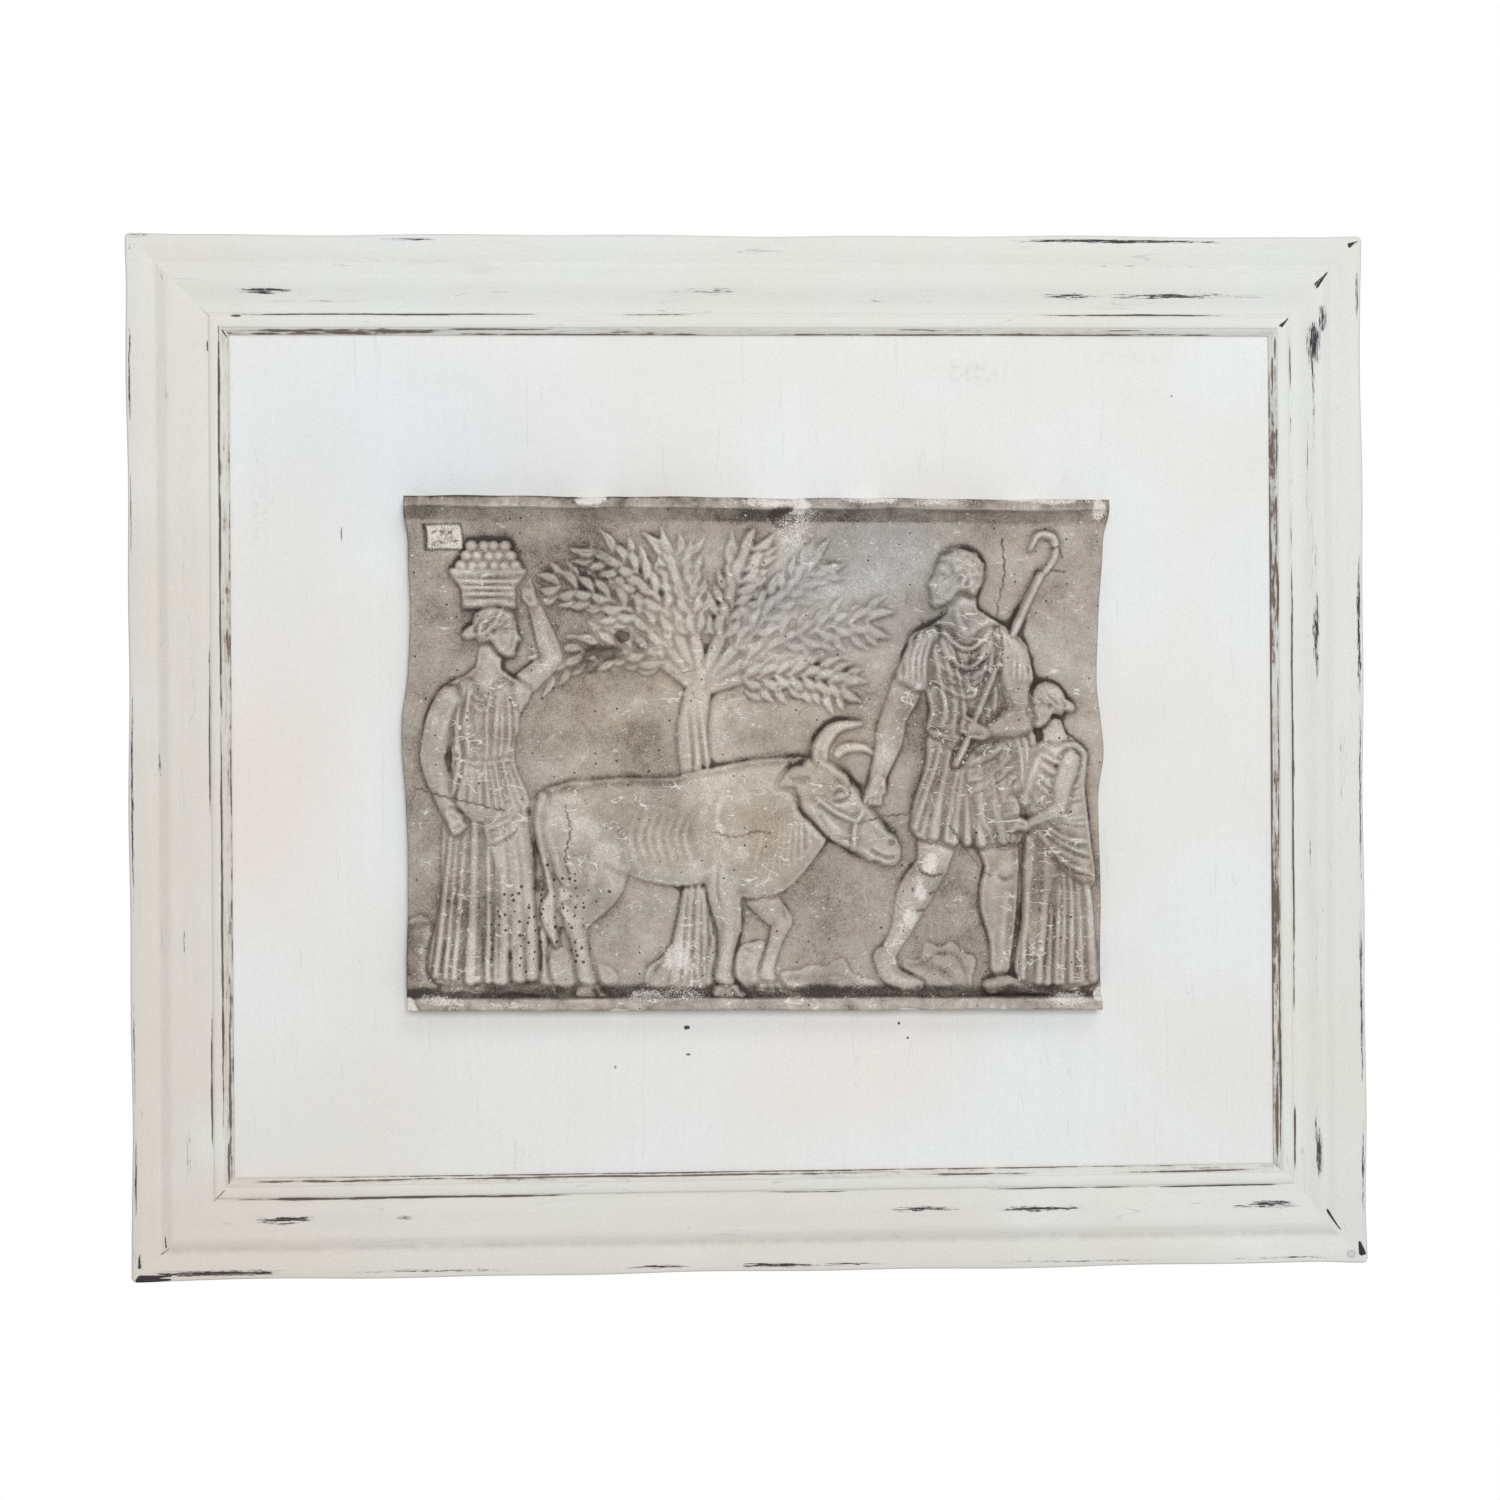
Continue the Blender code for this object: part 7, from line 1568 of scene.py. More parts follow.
# The cast: a slab with a ledge below, a cove and fillet above, and the carved field between them
cast = {
    "width": 0.3533,
    "height": 0.2558,
    "middle": (0.0015, -0.0163, -0.239),
    "lean": 0.5,    # degrees clockwise
    "slab": 0.01,
    "ledgeHeight": 0.006,
    "ledgeProud": 0.006,
    "filletHeight": 0.0063,
    "filletProud": 0.0055,
    "coveHeight": 0.0058,
    "coveProud": 0.0036,
    "reliefProud": 0.01,
    "rimRounding": 0.0012,
    "sheet": (0.35, 0.2362, 0.012),
    "sheetStep": 0.00045,
    "fieldStep": 0.00045,
    "gridStep": 0.0006,
    # how the dirt follows the shape: reach, the height that counts as much, and weight
    "toneScales": [
        (0.0006, 0.00009, 0.43), (0.0014, 0.00034, 0.27), (0.0034, 0.0015, 0.19), (0.009, 0.004, 0.1)
    ],
    "triangles": 183000,
    "leftWander": [
        (0.0, 0.0036), (0.08, 0.0029), (0.15, 0.0033), (0.29, 0.0033), (0.36, 0.0028), (0.43, 0.0018),
        (0.5, 0.0003), (0.57, 0.0002), (0.64, 0.0027), (0.71, 0.0037), (0.78, 0.0041), (0.85, 0.0032),
        (0.92, 0.0027), (0.955, 0.001), (1.0, 0.0012)
    ],
    "rightWander": [
        (0.0, 0.003), (0.08, 0.0035), (0.22, 0.0031), (0.36, 0.0042), (0.43, 0.0043), (0.5, 0.0018),
        (0.57, 0.0034), (0.64, 0.0054), (0.72, 0.005), (0.8, 0.0042), (0.87, 0.0029), (0.93, 0.002),
        (0.965, 0.0), (1.0, 0.0003)
    ],
    # how far the worn top and bottom edges dip
    "edgeDips": (0.0007, 0.0004),
    # breaks along the rim: place as shares of the width and height, half sizes and depth
    "chips": [
        (0.268, 1.0, 0.0085, 0.003, 0.0022), (0.515, 1.0, 0.016, 0.0024, 0.0014),
        (0.56, 0.985, 0.006, 0.005, 0.002), (0.655, 1.0, 0.011, 0.002, 0.0014),
        (0.88, 1.0, 0.014, 0.0018, 0.0012), (0.985, 0.985, 0.005, 0.006, 0.0016),
        (0.004, 0.012, 0.005, 0.005, 0.0022), (0.996, 0.03, 0.004, 0.005, 0.002),
        (0.3, 0.0, 0.006, 0.002, 0.0012), (0.72, 0.0, 0.008, 0.0018, 0.0012)
    ],
    # cracks as lines of shares of the width and height
    "cracks": [
        [(0.735, 0.272), (0.75, 0.262), (0.768, 0.266)], [(0.724, 0.236), (0.74, 0.226), (0.756, 0.23)],
        [(0.714, 0.2), (0.727, 0.193), (0.742, 0.196)],
        [(0.436, 0.35), (0.47, 0.338), (0.5, 0.349), (0.524, 0.346)],
        [(0.014, 0.433), (0.05, 0.418), (0.095, 0.404), (0.141, 0.388)],
        [(0.646, 0.364), (0.68, 0.376), (0.722, 0.383)],
        [(0.229, 0.396), (0.234, 0.35), (0.226, 0.3), (0.231, 0.266)],
        [(0.853, 0.92), (0.858, 0.85), (0.851, 0.78), (0.857, 0.7), (0.853, 0.62)],
        [(0.78, 0.36), (0.795, 0.33), (0.812, 0.3), (0.836, 0.262)],
    ],
    "pinholes": ((0.205, 0.19), (0.085, 0.11)),
    # patches as place, half sizes and strength, in shares
    "freshPatches": [
        ((0.268, 0.99), (0.026, 0.012), 1.0), ((0.515, 0.988), (0.055, 0.012), 0.75),
        ((0.565, 0.96), (0.03, 0.03), 0.5), ((0.655, 0.995), (0.046, 0.008), 0.66),
        ((0.77, 0.991), (0.05, 0.009), 0.46), ((0.915, 0.995), (0.085, 0.008), 0.56),
        ((0.545, 0.93), (0.04, 0.04), 0.4), ((0.985, 0.975), (0.018, 0.024), 0.5),
        ((0.395, 0.1), (0.04, 0.055), 0.62), ((0.37, 0.03), (0.06, 0.014), 0.45),
        ((0.752, 0.285), (0.016, 0.034), 0.8), ((0.736, 0.235), (0.014, 0.04), 0.85),
        ((0.722, 0.185), (0.011, 0.03), 0.7), ((0.035, 0.022), (0.04, 0.014), 0.55),
        ((0.96, 0.022), (0.05, 0.016), 0.6), ((0.7, 0.018), (0.07, 0.01), 0.42),
        ((0.52, 0.62), (0.04, 0.05), 0.26), ((0.24, 0.32), (0.016, 0.08), 0.24),
        ((0.65, 0.06), (0.03, 0.03), 0.4), ((0.15, 0.012), (0.06, 0.008), 0.55),
    ],
    "stains": [
        ((0.533, 0.966), (0.02, 0.026), 1.0), ((0.284, 0.698), (0.034, 0.02), 0.85),
        ((0.305, 0.725), (0.014, 0.016), 0.9), ((0.262, 0.668), (0.016, 0.018), 0.6),
    ],
    # broad lighter and darker washes of the patina
    "washes": [
        ((0.6, 0.74), (0.13, 0.2), 0.42), ((0.06, 0.8), (0.1, 0.2), 0.26),
        ((0.47, 0.35), (0.14, 0.16), 0.22), ((0.7, 0.32), (0.1, 0.18), 0.24),
        ((0.93, 0.6), (0.09, 0.25), 0.18), ((0.3, 0.45), (0.12, 0.22), -0.22),
        ((0.43, 0.63), (0.1, 0.16), -0.22), ((0.14, 0.22), (0.14, 0.16), -0.2),
        ((0.9, 0.2), (0.12, 0.16), -0.24), ((0.78, 0.62), (0.08, 0.22), -0.26),
    ],
    "blueGrey": ((0.62, 0.78), (0.24, 0.22)),
    "tan": ((0.44, 0.52), (0.3, 0.3)),
    "stamp": {"from": (0.0087, 0.2287), "to": (0.0282, 0.242), "depth": 0.0005},
    "mark": {"from": (0.326, 0.2197), "to": (0.3344, 0.2321), "depth": 0.0004},
}


# Smooth random values from -1 to 1 over a grid, with bumps a given number of cells across
def cloud(shape, cell, seed):
    chance = np.random.default_rng(seed)
    rows = int(shape[0] / cell) + 3
    columns = int(shape[1] / cell) + 3
    lattice = chance.uniform(-1, 1, (rows, columns))
    y = np.arange(shape[0]) / cell
    x = np.arange(shape[1]) / cell
    b, a = y.astype(int), x.astype(int)
    v, u = y - b, x - a
    v, u = v * v * (3 - 2 * v), u * u * (3 - 2 * u)
    low = lattice[b][:, a] * (1 - u) + lattice[b][:, a + 1] * u
    high = lattice[b + 1][:, a] * (1 - u) + lattice[b + 1][:, a + 1] * u
    return low * (1 - v[:, None]) + high * v[:, None]


def clouds(shape, cell, seed, octaves=4, fade=0.55):
    total = np.zeros(shape)
    weight = 1.0
    for i in range(octaves):
        total += weight * cloud(shape, max(cell / 2 ** i, 1.5), seed + i)
        weight *= fade
    return total


# How near a line each point of the grid lies, from 1 on it to 0 at its reach, over the cast's own metres
def lineMask(gx, gz, line, reach):
    mask = np.zeros(gx.shape)
    for (ax, az), (bx, bz) in zip(line, line[1:]):
        east, north = bx - ax, bz - az
        span = max(east * east + north * north, 1e-12)
        t = np.clip(((gx - ax) * east + (gz - az) * north) / span, 0, 1)
        away = np.hypot(gx - ax - t * east, gz - az - t * north)
        mask = np.maximum(mask, 1 - smoothStep(away, 0.15 * reach, reach))
    return mask


def patchMask(gu, gw, center, half, wobble):
    away = np.hypot((gu - center[0]) / half[0], (gw - center[1]) / half[1]) + wobble
    return 1 - smoothStep(away, 0.45, 1.15)


# The stamp's frame and its few strokes, which are no letters
def stampStrokes(look):
    (x0, z0), (x1, z1) = look["from"], look["to"]
    wide, tall = x1 - x0, z1 - z0
    corners = [
        (x0, z0), (x1, z0 + 0.03 * tall), (x1 - 0.02 * wide, z1), (x0 + 0.02 * wide, z1 - 0.04 * tall)
    ]
    lines = [corners + corners[:1], [corners[0], corners[3]], [corners[1], corners[2]]]
    for shift in (-0.0004, 0.0004, 0.0009):    # the left side is cut wide
        lines.append([(x0 + shift, z0 + 0.02 * tall), (x0 + 0.02 * wide + shift, z1 - 0.10 * tall)])
    for across, up, tilt in (
        (0.22, 0.66, 0.04), (0.42, 0.7, -0.05), (0.63, 0.64, 0.06), (0.34, 0.34, -0.04), (0.74, 0.32, 0.03)
    ):
        x, z = x0 + across * wide, z0 + up * tall
        lines.append([(x, z), (x + 0.09 * wide, z + tilt * tall)])
    return lines


def markStrokes(look):
    (x0, z0), (x1, z1) = look["from"], look["to"]
    wide, tall = x1 - x0, z1 - z0
    return [
        [(x0, z1 - 0.1 * tall), (x0 + 0.5 * wide, z1), (x0 + 0.8 * wide, z0 + 0.55 * tall)],
        [(x0 + 0.1 * wide, z0 + 0.05 * tall), (x1, z0)],
    ]


# The height of the cast's front, and what each place shows of dirt, wear and fresh plaster, as even grids.
# gx and gz are each place in metres, gu and gw the same as shares of the cast's width and height.
def castFields(look):
    columns = round(look["width"] / look["fieldStep"]) + 1
    rows = round(look["height"] / look["fieldStep"]) + 1
    gu, gw = np.meshgrid(np.linspace(0, 1, columns), np.linspace(0, 1, rows))
    gx, gz = gu * look["width"], gw * look["height"]
    shape = gx.shape
    cell = look["fieldStep"]
    sheetWidth, sheetHeight, sheetProud = look["sheet"]
    sheet = carve(sheetWidth, sheetHeight, look["sheetStep"])
    print("  the field is carved")
    fieldTop = look["height"] - look["filletHeight"] - look["coveHeight"]
    share = np.clip((gz - look["ledgeHeight"]) / (fieldTop - look["ledgeHeight"]), 0, 1)
    relief = sample(sheet, (gu - 0.5) * sheetWidth, share * sheetHeight) * look["reliefProud"] / sheetProud
    sway = 0.0003 * np.sin(19 * gu + 1.0) + 0.0002 * np.sin(47 * gu)
    ledgeTop = look["ledgeHeight"] + sway
    ledge = look["ledgeProud"] * (1 - smoothStep(gz, ledgeTop, ledgeTop + 0.0018))
    cove = look["coveProud"] * np.clip((gz - fieldTop) / look["coveHeight"], 0, 1) ** 1.5
    filletFoot = look["height"] - look["filletHeight"] + sway
    fillet = look["filletProud"] * smoothStep(gz, filletFoot - 0.0004, filletFoot + 0.0008)
    front = np.maximum(relief, np.maximum(ledge, np.maximum(cove, fillet)))

    # how far each place stands over or under what is round it, from fine to broad
    tone = np.zeros(shape)
    for reach, strong, weight in look["toneScales"]:
        tone += weight * np.tanh((front - blur(front, reach, cell)) / strong)
    coarse = clouds(shape, 0.030 / cell, 11)
    middling = clouds(shape, 0.009 / cell, 23)
    fine = clouds(shape, 0.0028 / cell, 37, 3)
    broad = clouds(shape, 0.075 / cell, 53, 2)
    # dirt lies in some hollows and is rubbed out of others
    dirty = np.clip(0.70 + 0.85 * coarse + 0.30 * middling, 0.1, 1.6)
    tone = np.maximum(tone, 0) + np.minimum(tone, 0) * dirty
    # painted shade: darker on the slopes that face up in the low relief, so the dark is wider above a form
    # than below it
    rise = np.gradient(blur(front, 0.0016, cell), cell, axis=0)
    lowDown = 1 - smoothStep(relief, 0.004, 0.0075)
    tone -= 0.85 * smoothStep(-rise, 0.1, 0.75) * lowDown * (1 + 0.5 * middling)
    tone += 0.10 + 0.38 * broad + 0.30 * coarse + 0.12 * middling + 0.10 * fine
    for center, half, strength in look["washes"]:
        tone += strength * patchMask(gu, gw, center, half, 0.35 * coarse + 0.15 * middling)
    # the strip of dirt over the ledge, and the shade under the fillet
    onLedge = 1 - smoothStep(gz, look["ledgeHeight"] - 0.001, look["ledgeHeight"] + 0.001)
    onFillet = smoothStep(gz, filletFoot, filletFoot + 0.001)
    overLedge = (1 - smoothStep(gz - look["ledgeHeight"] + 0.0012 * middling, 0.0044, 0.008)) * (1 - onLedge)
    overLedge *= 1 - 0.45 * smoothStep(relief, 0.005, 0.0075)
    tone = tone * (1 - 0.85 * overLedge) + overLedge * (-1.12 + 0.20 * coarse + 0.10 * middling)
    onCove = smoothStep(gz, fieldTop - 0.0003, fieldTop + 0.0005) * (1 - onFillet)
    darkest = 1 - smoothStep(np.abs(gu - 0.565), 0.03, 0.12)
    coveTone = -0.42 - 0.34 * darkest + 0.22 * coarse + 0.18 * middling + 0.12 * fine
    tone = tone * (1 - 0.85 * onCove) + onCove * coveTone
    tone *= 1 - 0.5 * np.maximum(onLedge, onFillet)
    tone += (0.22 + 0.35 * middling + 0.3 * fine) * onLedge
    tone += (-0.30 + 0.45 * middling + 0.3 * fine) * onFillet
    atTop = smoothStep(gz, look["height"] - 0.0016, look["height"] - 0.0006)
    tone -= 1.1 * atTop * (1 - smoothStep(gu, 0.34, 0.44))

    # lumps of the old mould, open grain, then breaks, cracks, pinholes and strokes
    front = front + 0.00012 * coarse + 0.00010 * middling + 0.00005 * fine
    across = np.minimum(gu, 1 - gu) * look["width"]
    rounding = look["rimRounding"]
    rim = np.clip(rounding - np.minimum(across, np.minimum(gz, look["height"] - gz)), 0, rounding)
    front = front - (rounding - np.sqrt(rounding ** 2 - rim ** 2)) * 0.8
    fresh = np.zeros(shape)
    for atU, atW, halfX, halfZ, depth in look["chips"]:
        east, north = (gu - atU) * look["width"] / halfX, (gw - atW) * look["height"] / halfZ
        turn = np.arctan2(north, east) + 40 * atU
        uneven = 1 + 0.14 * np.sin(3 * turn) + 0.07 * np.sin(5 * turn)
        ragged = np.hypot(east, north) * uneven + 0.10 * fine
        chipped = 1 - smoothStep(ragged, 0.55, 1.05)
        front = front - depth * chipped
        fresh = np.maximum(fresh, 0.75 * chipped)
    for center, half, strength in look["freshPatches"]:
        fresh = np.maximum(fresh, strength * patchMask(gu, gw, center, half, 0.30 * middling + 0.12 * fine))
    # black dirt in the deepest corners, here and there
    sunk = blur(front, 0.003, cell) - front
    stain = smoothStep(sunk, 0.0009, 0.0022) * np.clip(0.25 + 1.1 * coarse + 0.5 * middling, 0, 1)
    stain *= 1 - 0.9 * np.maximum(overLedge, onCove)
    for center, half, strength in look["stains"]:
        stain = np.maximum(stain, strength * patchMask(gu, gw, center, half, 0.35 * middling + 0.15 * fine))
    cracked = np.zeros(shape)
    for crack in look["cracks"]:
        line = curve([(a * look["width"], b * look["height"]) for a, b in crack], 10)
        n = np.arange(len(line))
        line = line + 0.0005 * np.column_stack([np.sin(17 * n), np.cos(23 * n)])
        cracked = np.maximum(cracked, lineMask(gx, gz, line, 0.00085))
    front = front - 0.00035 * cracked
    tone = np.minimum(tone, 0.8 - 1.7 * cracked)
    pitted = patchMask(gu, gw, *look["pinholes"], 0.3 * middling)
    (x0, z0), (x1, z1) = look["stamp"]["from"], look["stamp"]["to"]
    inwards = np.minimum(np.minimum(gx - x0, x1 - gx), np.minimum(gz - z0, z1 - gz))
    stamped, halo = smoothStep(inwards, 0.0002, 0.0012), smoothStep(inwards, -0.0022, 0.0004)
    bared = (0.26 + 0.12 * middling) * halo + (0.34 + 0.14 * middling + 0.10 * fine) * stamped
    fresh = np.maximum(fresh, bared)
    for name, strokesOf in (("stamp", stampStrokes), ("mark", markStrokes)):
        for stroke in strokesOf(look[name]):
            cut = lineMask(gx, gz, stroke, 0.001)
            front = front - look[name]["depth"] * cut
            tone = np.minimum(tone, 0.7 - 1.8 * cut)
            fresh = fresh * (1 - 0.8 * cut)
    tint = 0.5 + 0.16 * clouds(shape, 0.045 / cell, 71, 3)
    tint -= 0.36 * patchMask(gu, gw, *look["blueGrey"], 0.25 * coarse)
    tint += 0.22 * patchMask(gu, gw, *look["tan"], 0.25 * coarse)
    scored = np.clip(0.25 + 0.8 * smoothStep(relief, 0.0022, 0.005) + 0.35 * middling + 0.5 * tone, 0, 1)
    return {
        "front": front, "tone": np.clip(tone, -1.5, 1.3), "fresh": fresh, "stain": stain,
        "tint": np.clip(tint, 0, 1), "scored": scored, "pitted": pitted,
    }


# A field's values at shares of the cast's width and height
def readField(field, u, w):
    y = np.clip(w, 0, 1) * (field.shape[0] - 1.001)
    x = np.clip(u, 0, 1) * (field.shape[1] - 1.001)
    b, a = y.astype(int), x.astype(int)
    v, s = y - b, x - a
    low = field[b, a] * (1 - s) + field[b, a + 1] * s
    high = field[b + 1, a] * (1 - s) + field[b + 1, a + 1] * s
    return low * (1 - v) + high * v


def getPlaces(mesh):
    places = np.empty(len(mesh.vertices) * 3, np.float32)
    mesh.vertices.foreach_get("co", places)
    return places.reshape(-1, 3).astype(float)


def setPlaces(mesh, places):
    mesh.vertices.foreach_set("co", places.astype(np.float32).ravel())
    mesh.update()


def setAttribute(mesh, name, values):
    made = mesh.attributes.new(name, "FLOAT_VECTOR" if values.ndim == 2 else "FLOAT", "POINT")
    made.data.foreach_set("vector" if values.ndim == 2 else "value", values.astype(np.float32).ravel())


def dress(piece, name, node, material):
    piece.name = name
    piece.data.name = name
    piece.data.materials.clear()
    piece.data.materials.append(material)
    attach(piece, "root")
    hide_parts(node)


def castSides(look, w):
    left = wander(look["leftWander"], w) - look["width"] / 2
    right = look["width"] / 2 - wander(look["rightWander"], w)
    return left, right


def makeCast(look, material):
    fields = castFields(look)
    print("  the dirt and wear are laid out")
    deselect()
    bpy.ops.mesh.primitive_grid_add(
        x_subdivisions=round(look["width"] / look["gridStep"]),
        y_subdivisions=round(look["height"] / look["gridStep"]), size=1
    )
    piece = bpy.context.object
    mesh = piece.data
    places = getPlaces(mesh)
    u, w = places[:, 0] + 0.5, places[:, 1] + 0.5
    left, right = castSides(look, w)
    front = readField(fields["front"], u, w)
    atTop, atBottom = smoothStep(w, 0.96, 1.0), smoothStep(w, 0.03, 0.0)
    dip = look["edgeDips"][0] * atTop * (0.5 + 0.3 * np.sin(23 * u + 2) + 0.2 * np.sin(61 * u))
    dip -= look["edgeDips"][1] * atBottom * (0.5 + 0.3 * np.sin(17 * u) + 0.2 * np.sin(53 * u + 1))
    setPlaces(mesh, np.column_stack([
        left + (right - left) * u, -look["slab"] - front, (w - 0.5) * look["height"] - dip
    ]))
    thin = piece.modifiers.new("thin", "DECIMATE")
    thin.ratio = look["triangles"] / (2 * len(mesh.polygons))
    bpy.ops.object.modifier_apply(modifier=thin.name)
    # the rim drawn back to the flat rear in three steps, the last one closed
    bpy.ops.object.mode_set(mode="EDIT")
    bpy.ops.mesh.select_mode(type="EDGE")
    bpy.ops.mesh.select_all(action="DESELECT")
    bpy.ops.mesh.select_non_manifold()
    for share in (0.35, 0.75, 1.0):
        bpy.ops.mesh.extrude_edges_move()
        bpy.ops.object.mode_set(mode="OBJECT")
        for vertex in mesh.vertices:
            if vertex.select:
                vertex.co.y = vertex.co.y * (1 - share)
        bpy.ops.object.mode_set(mode="EDIT")
    bpy.ops.mesh.edge_face_add()
    bpy.ops.mesh.select_all(action="SELECT")
    bpy.ops.mesh.quads_convert_to_tris(quad_method="BEAUTY", ngon_method="BEAUTY")
    bpy.ops.mesh.normals_make_consistent(inside=False)
    bpy.ops.object.mode_set(mode="OBJECT")
    places = getPlaces(mesh)
    w = places[:, 2] / look["height"] + 0.5
    left, right = castSides(look, w)
    u = (places[:, 0] - left) / (right - left)
    for name in ("tone", "fresh", "stain", "tint", "scored", "pitted"):
        setAttribute(mesh, name, readField(fields[name], u, w))
    setAttribute(mesh, "raw", (places[:, 1] > -0.0008).astype(float))
    # a little askew, as it hangs
    lean = math.radians(look["lean"])
    x, z = places[:, 0].copy(), places[:, 2].copy()
    places[:, 0] = x * math.cos(lean) + z * math.sin(lean)
    places[:, 2] = z * math.cos(lean) - x * math.sin(lean)
    setPlaces(mesh, places + np.array(look["middle"]))
    bpy.ops.object.shade_smooth_by_angle(angle=math.radians(50))
    dress(piece, "reliefCast", "relief_plaque", material)
    return piece


# The moulding's section, as widths in from the outer edge and depths out from the wall
moulding = {
    "frame": (0.62, 0.52),
    "top": 0.021,
    "edgeRounding": 0.0015,
    "bandWidth": 0.0145,
    "humpWidth": 0.007,
    "fallWidth": 0.0175,
    "grooveWidth": 0.0015,
    "beadWidth": 0.006,
    "sightWidth": 0.0035,
    "rabbetWidth": 0.008,
    "lipDepth": 0.0163,
    "lipFlat": 0.0006,
    "grooveDepth": 0.02,
    "creaseDepth": 0.0222,
    "bandRise": 0.0018,
    "humpDepth": 0.0242,
    "beadRise": 0.0013,
    # the right rail is planed narrower within its hump, the top one on its inner slope: where that starts
    # and ends in from the edge, and by how much
    "rightNarrowing": (0.018, 0.036, 0.0036),
    "topNarrowing": (0.0462, 0.05, 0.0005),
    # cuts along each rail, and how much they crowd towards its ends
    "cuts": (100, 3),
    "crowding": 0.6,
    "edgeWave": 0.0011,
    "cornerRounding": 0.0028,
    "paintDepth": 0.00016,
}

# Rubbed marks of each rail: from and to along it, distance in from its edge, width and strength. Lengths in
# mm, from the left end on the level rails and from the top on the upright ones.
railMarks = {
    "top": [
        (437, 551, 3.0, 0.75, 1.25), (452, 530, 3.6, 0.5, 0.9), (124, 156, 3.0, 0.9, 0.75),
        (0, 14, 1.3, 1.0, 0.7), (54, 84, 28.3, 1.2, 1.0), (60, 76, 29.6, 0.8, 0.8),
        (262, 316, 28.6, 1.8, 0.5), (280, 308, 27.2, 0.8, 0.45), (452, 487, 30.3, 1.2, 0.78),
        (458, 480, 31.2, 0.6, 0.7), (486, 556, 30.3, 1.3, 0.82), (498, 542, 29.6, 0.8, 0.8),
        (545, 568, 30.4, 0.8, 0.5), (300, 330, 9.0, 1.4, 0.35), (470, 545, 15.4, 0.7, 0.4),
        (96, 122, 15.6, 0.6, 0.45), (340, 420, 33.0, 0.8, 0.36),
    ],
    "right": [
        (16, 44, 2.5, 1.0, 0.85), (158, 236, 2.5, 1.1, 1.05), (232, 334, 2.4, 0.9, 0.85),
        (334, 437, 2.5, 0.9, 0.92), (446, 504, 2.2, 0.9, 0.8), (42, 67, 26.4, 4.6, 1.0),
        (34, 50, 20.8, 2.8, 0.95), (58, 86, 26.8, 1.1, 0.8), (60, 120, 26.6, 1.0, 0.55),
        (176, 228, 25.6, 1.3, 1.0), (186, 216, 27.2, 0.9, 0.85), (150, 180, 26.0, 0.9, 0.45),
        (450, 478, 26.2, 2.0, 1.05), (440, 470, 28.0, 0.9, 0.8), (296, 322, 30.5, 0.8, 0.65),
        (82, 154, 31.0, 0.7, 0.55), (330, 400, 27.0, 1.0, 0.36), (240, 300, 12.0, 0.8, 0.34),
    ],
    "left": [
        (44, 97, 2.1, 0.5, 1.2), (116, 164, 2.1, 0.5, 0.9), (218, 340, 2.2, 0.6, 1.1),
        (376, 434, 2.2, 0.5, 0.85), (446, 490, 2.4, 0.7, 1.1), (254, 274, 15.6, 0.8, 0.75),
        (140, 190, 28.0, 1.0, 0.34), (330, 380, 27.0, 0.9, 0.34), (440, 478, 28.0, 1.6, 0.42),
    ],
    "bottom": [
        (60, 92, 30.0, 1.6, 1.0), (66, 84, 28.6, 0.8, 0.8), (129, 141, 30.0, 1.1, 0.9),
        (376, 412, 30.2, 1.2, 0.92), (384, 404, 31.2, 0.7, 0.75), (428, 474, 30.2, 1.2, 1.0),
        (440, 464, 29.0, 0.8, 0.7), (554, 582, 30.4, 2.0, 0.86), (545, 568, 29.4, 0.8, 0.7),
        (8, 76, 4.4, 1.6, 1.1), (243, 278, 3.8, 0.9, 0.9), (298, 340, 4.0, 1.2, 1.05),
        (336, 376, 4.0, 0.8, 0.7), (106, 194, 3.8, 0.7, 0.7), (420, 520, 3.6, 0.7, 0.55),
        (200, 260, 22.0, 0.7, 0.34), (540, 610, 3.4, 0.7, 0.6),
    ],
}

# Wedges broken out at the mitres: from the thin tip and to the thick end as (along, inset), width, strength
cornerMarks = {
    "top": [
        ((617.6, 3.2), (613.0, 5.2), 1.5, 1.5), ((603.4, 18.2), (594.6, 25.2), 1.15, 1.5),
        ((580.0, 41.0), (574.8, 45.6), 0.9, 1.5), ((36, 36), (41, 41), 0.5, 0.7),
        ((603, 16.8), (607, 15.6), 0.4, 0.6),
    ],
    "right": [
        ((18.0, 17.2), (26.0, 24.4), 1.1, 1.5), ((41.0, 40.6), (45.4, 44.6), 0.9, 1.5),
        ((3.6, 5.6), (2.0, 2.4), 1.4, 1.3), ((503.4, 13.4), (492.4, 21.4), 0.8, 1.45),
        ((508.6, 4.6), (515.8, 2.8), 2.1, 1.6), ((497, 12.0), (504, 11.0), 0.4, 0.6),
    ],
    "bottom": [
        ((617.2, 4.0), (618.2, 8.5), 1.0, 1.3), ((20.0, 1.2), (2.5, 1.2), 1.7, 1.8),
        ((20.5, 3.2), (3.5, 2.9), 1.0, 1.7), ((19, 17), (14.5, 13.6), 0.5, 0.8),
        ((40, 39), (46, 45), 0.5, 0.8),
    ],
    "left": [
        ((505.4, 4.2), (513.0, 4.3), 1.4, 0.85), ((496, 16.4), (503.5, 17.2), 0.6, 1.0),
        ((52.0, 49.4), (47.4, 46.9), 0.7, 0.85), ((4.5, 2.8), (8.5, 2.9), 0.35, 1.0),
        ((20, 17.6), (23.4, 18.6), 0.4, 0.7),
    ],
}
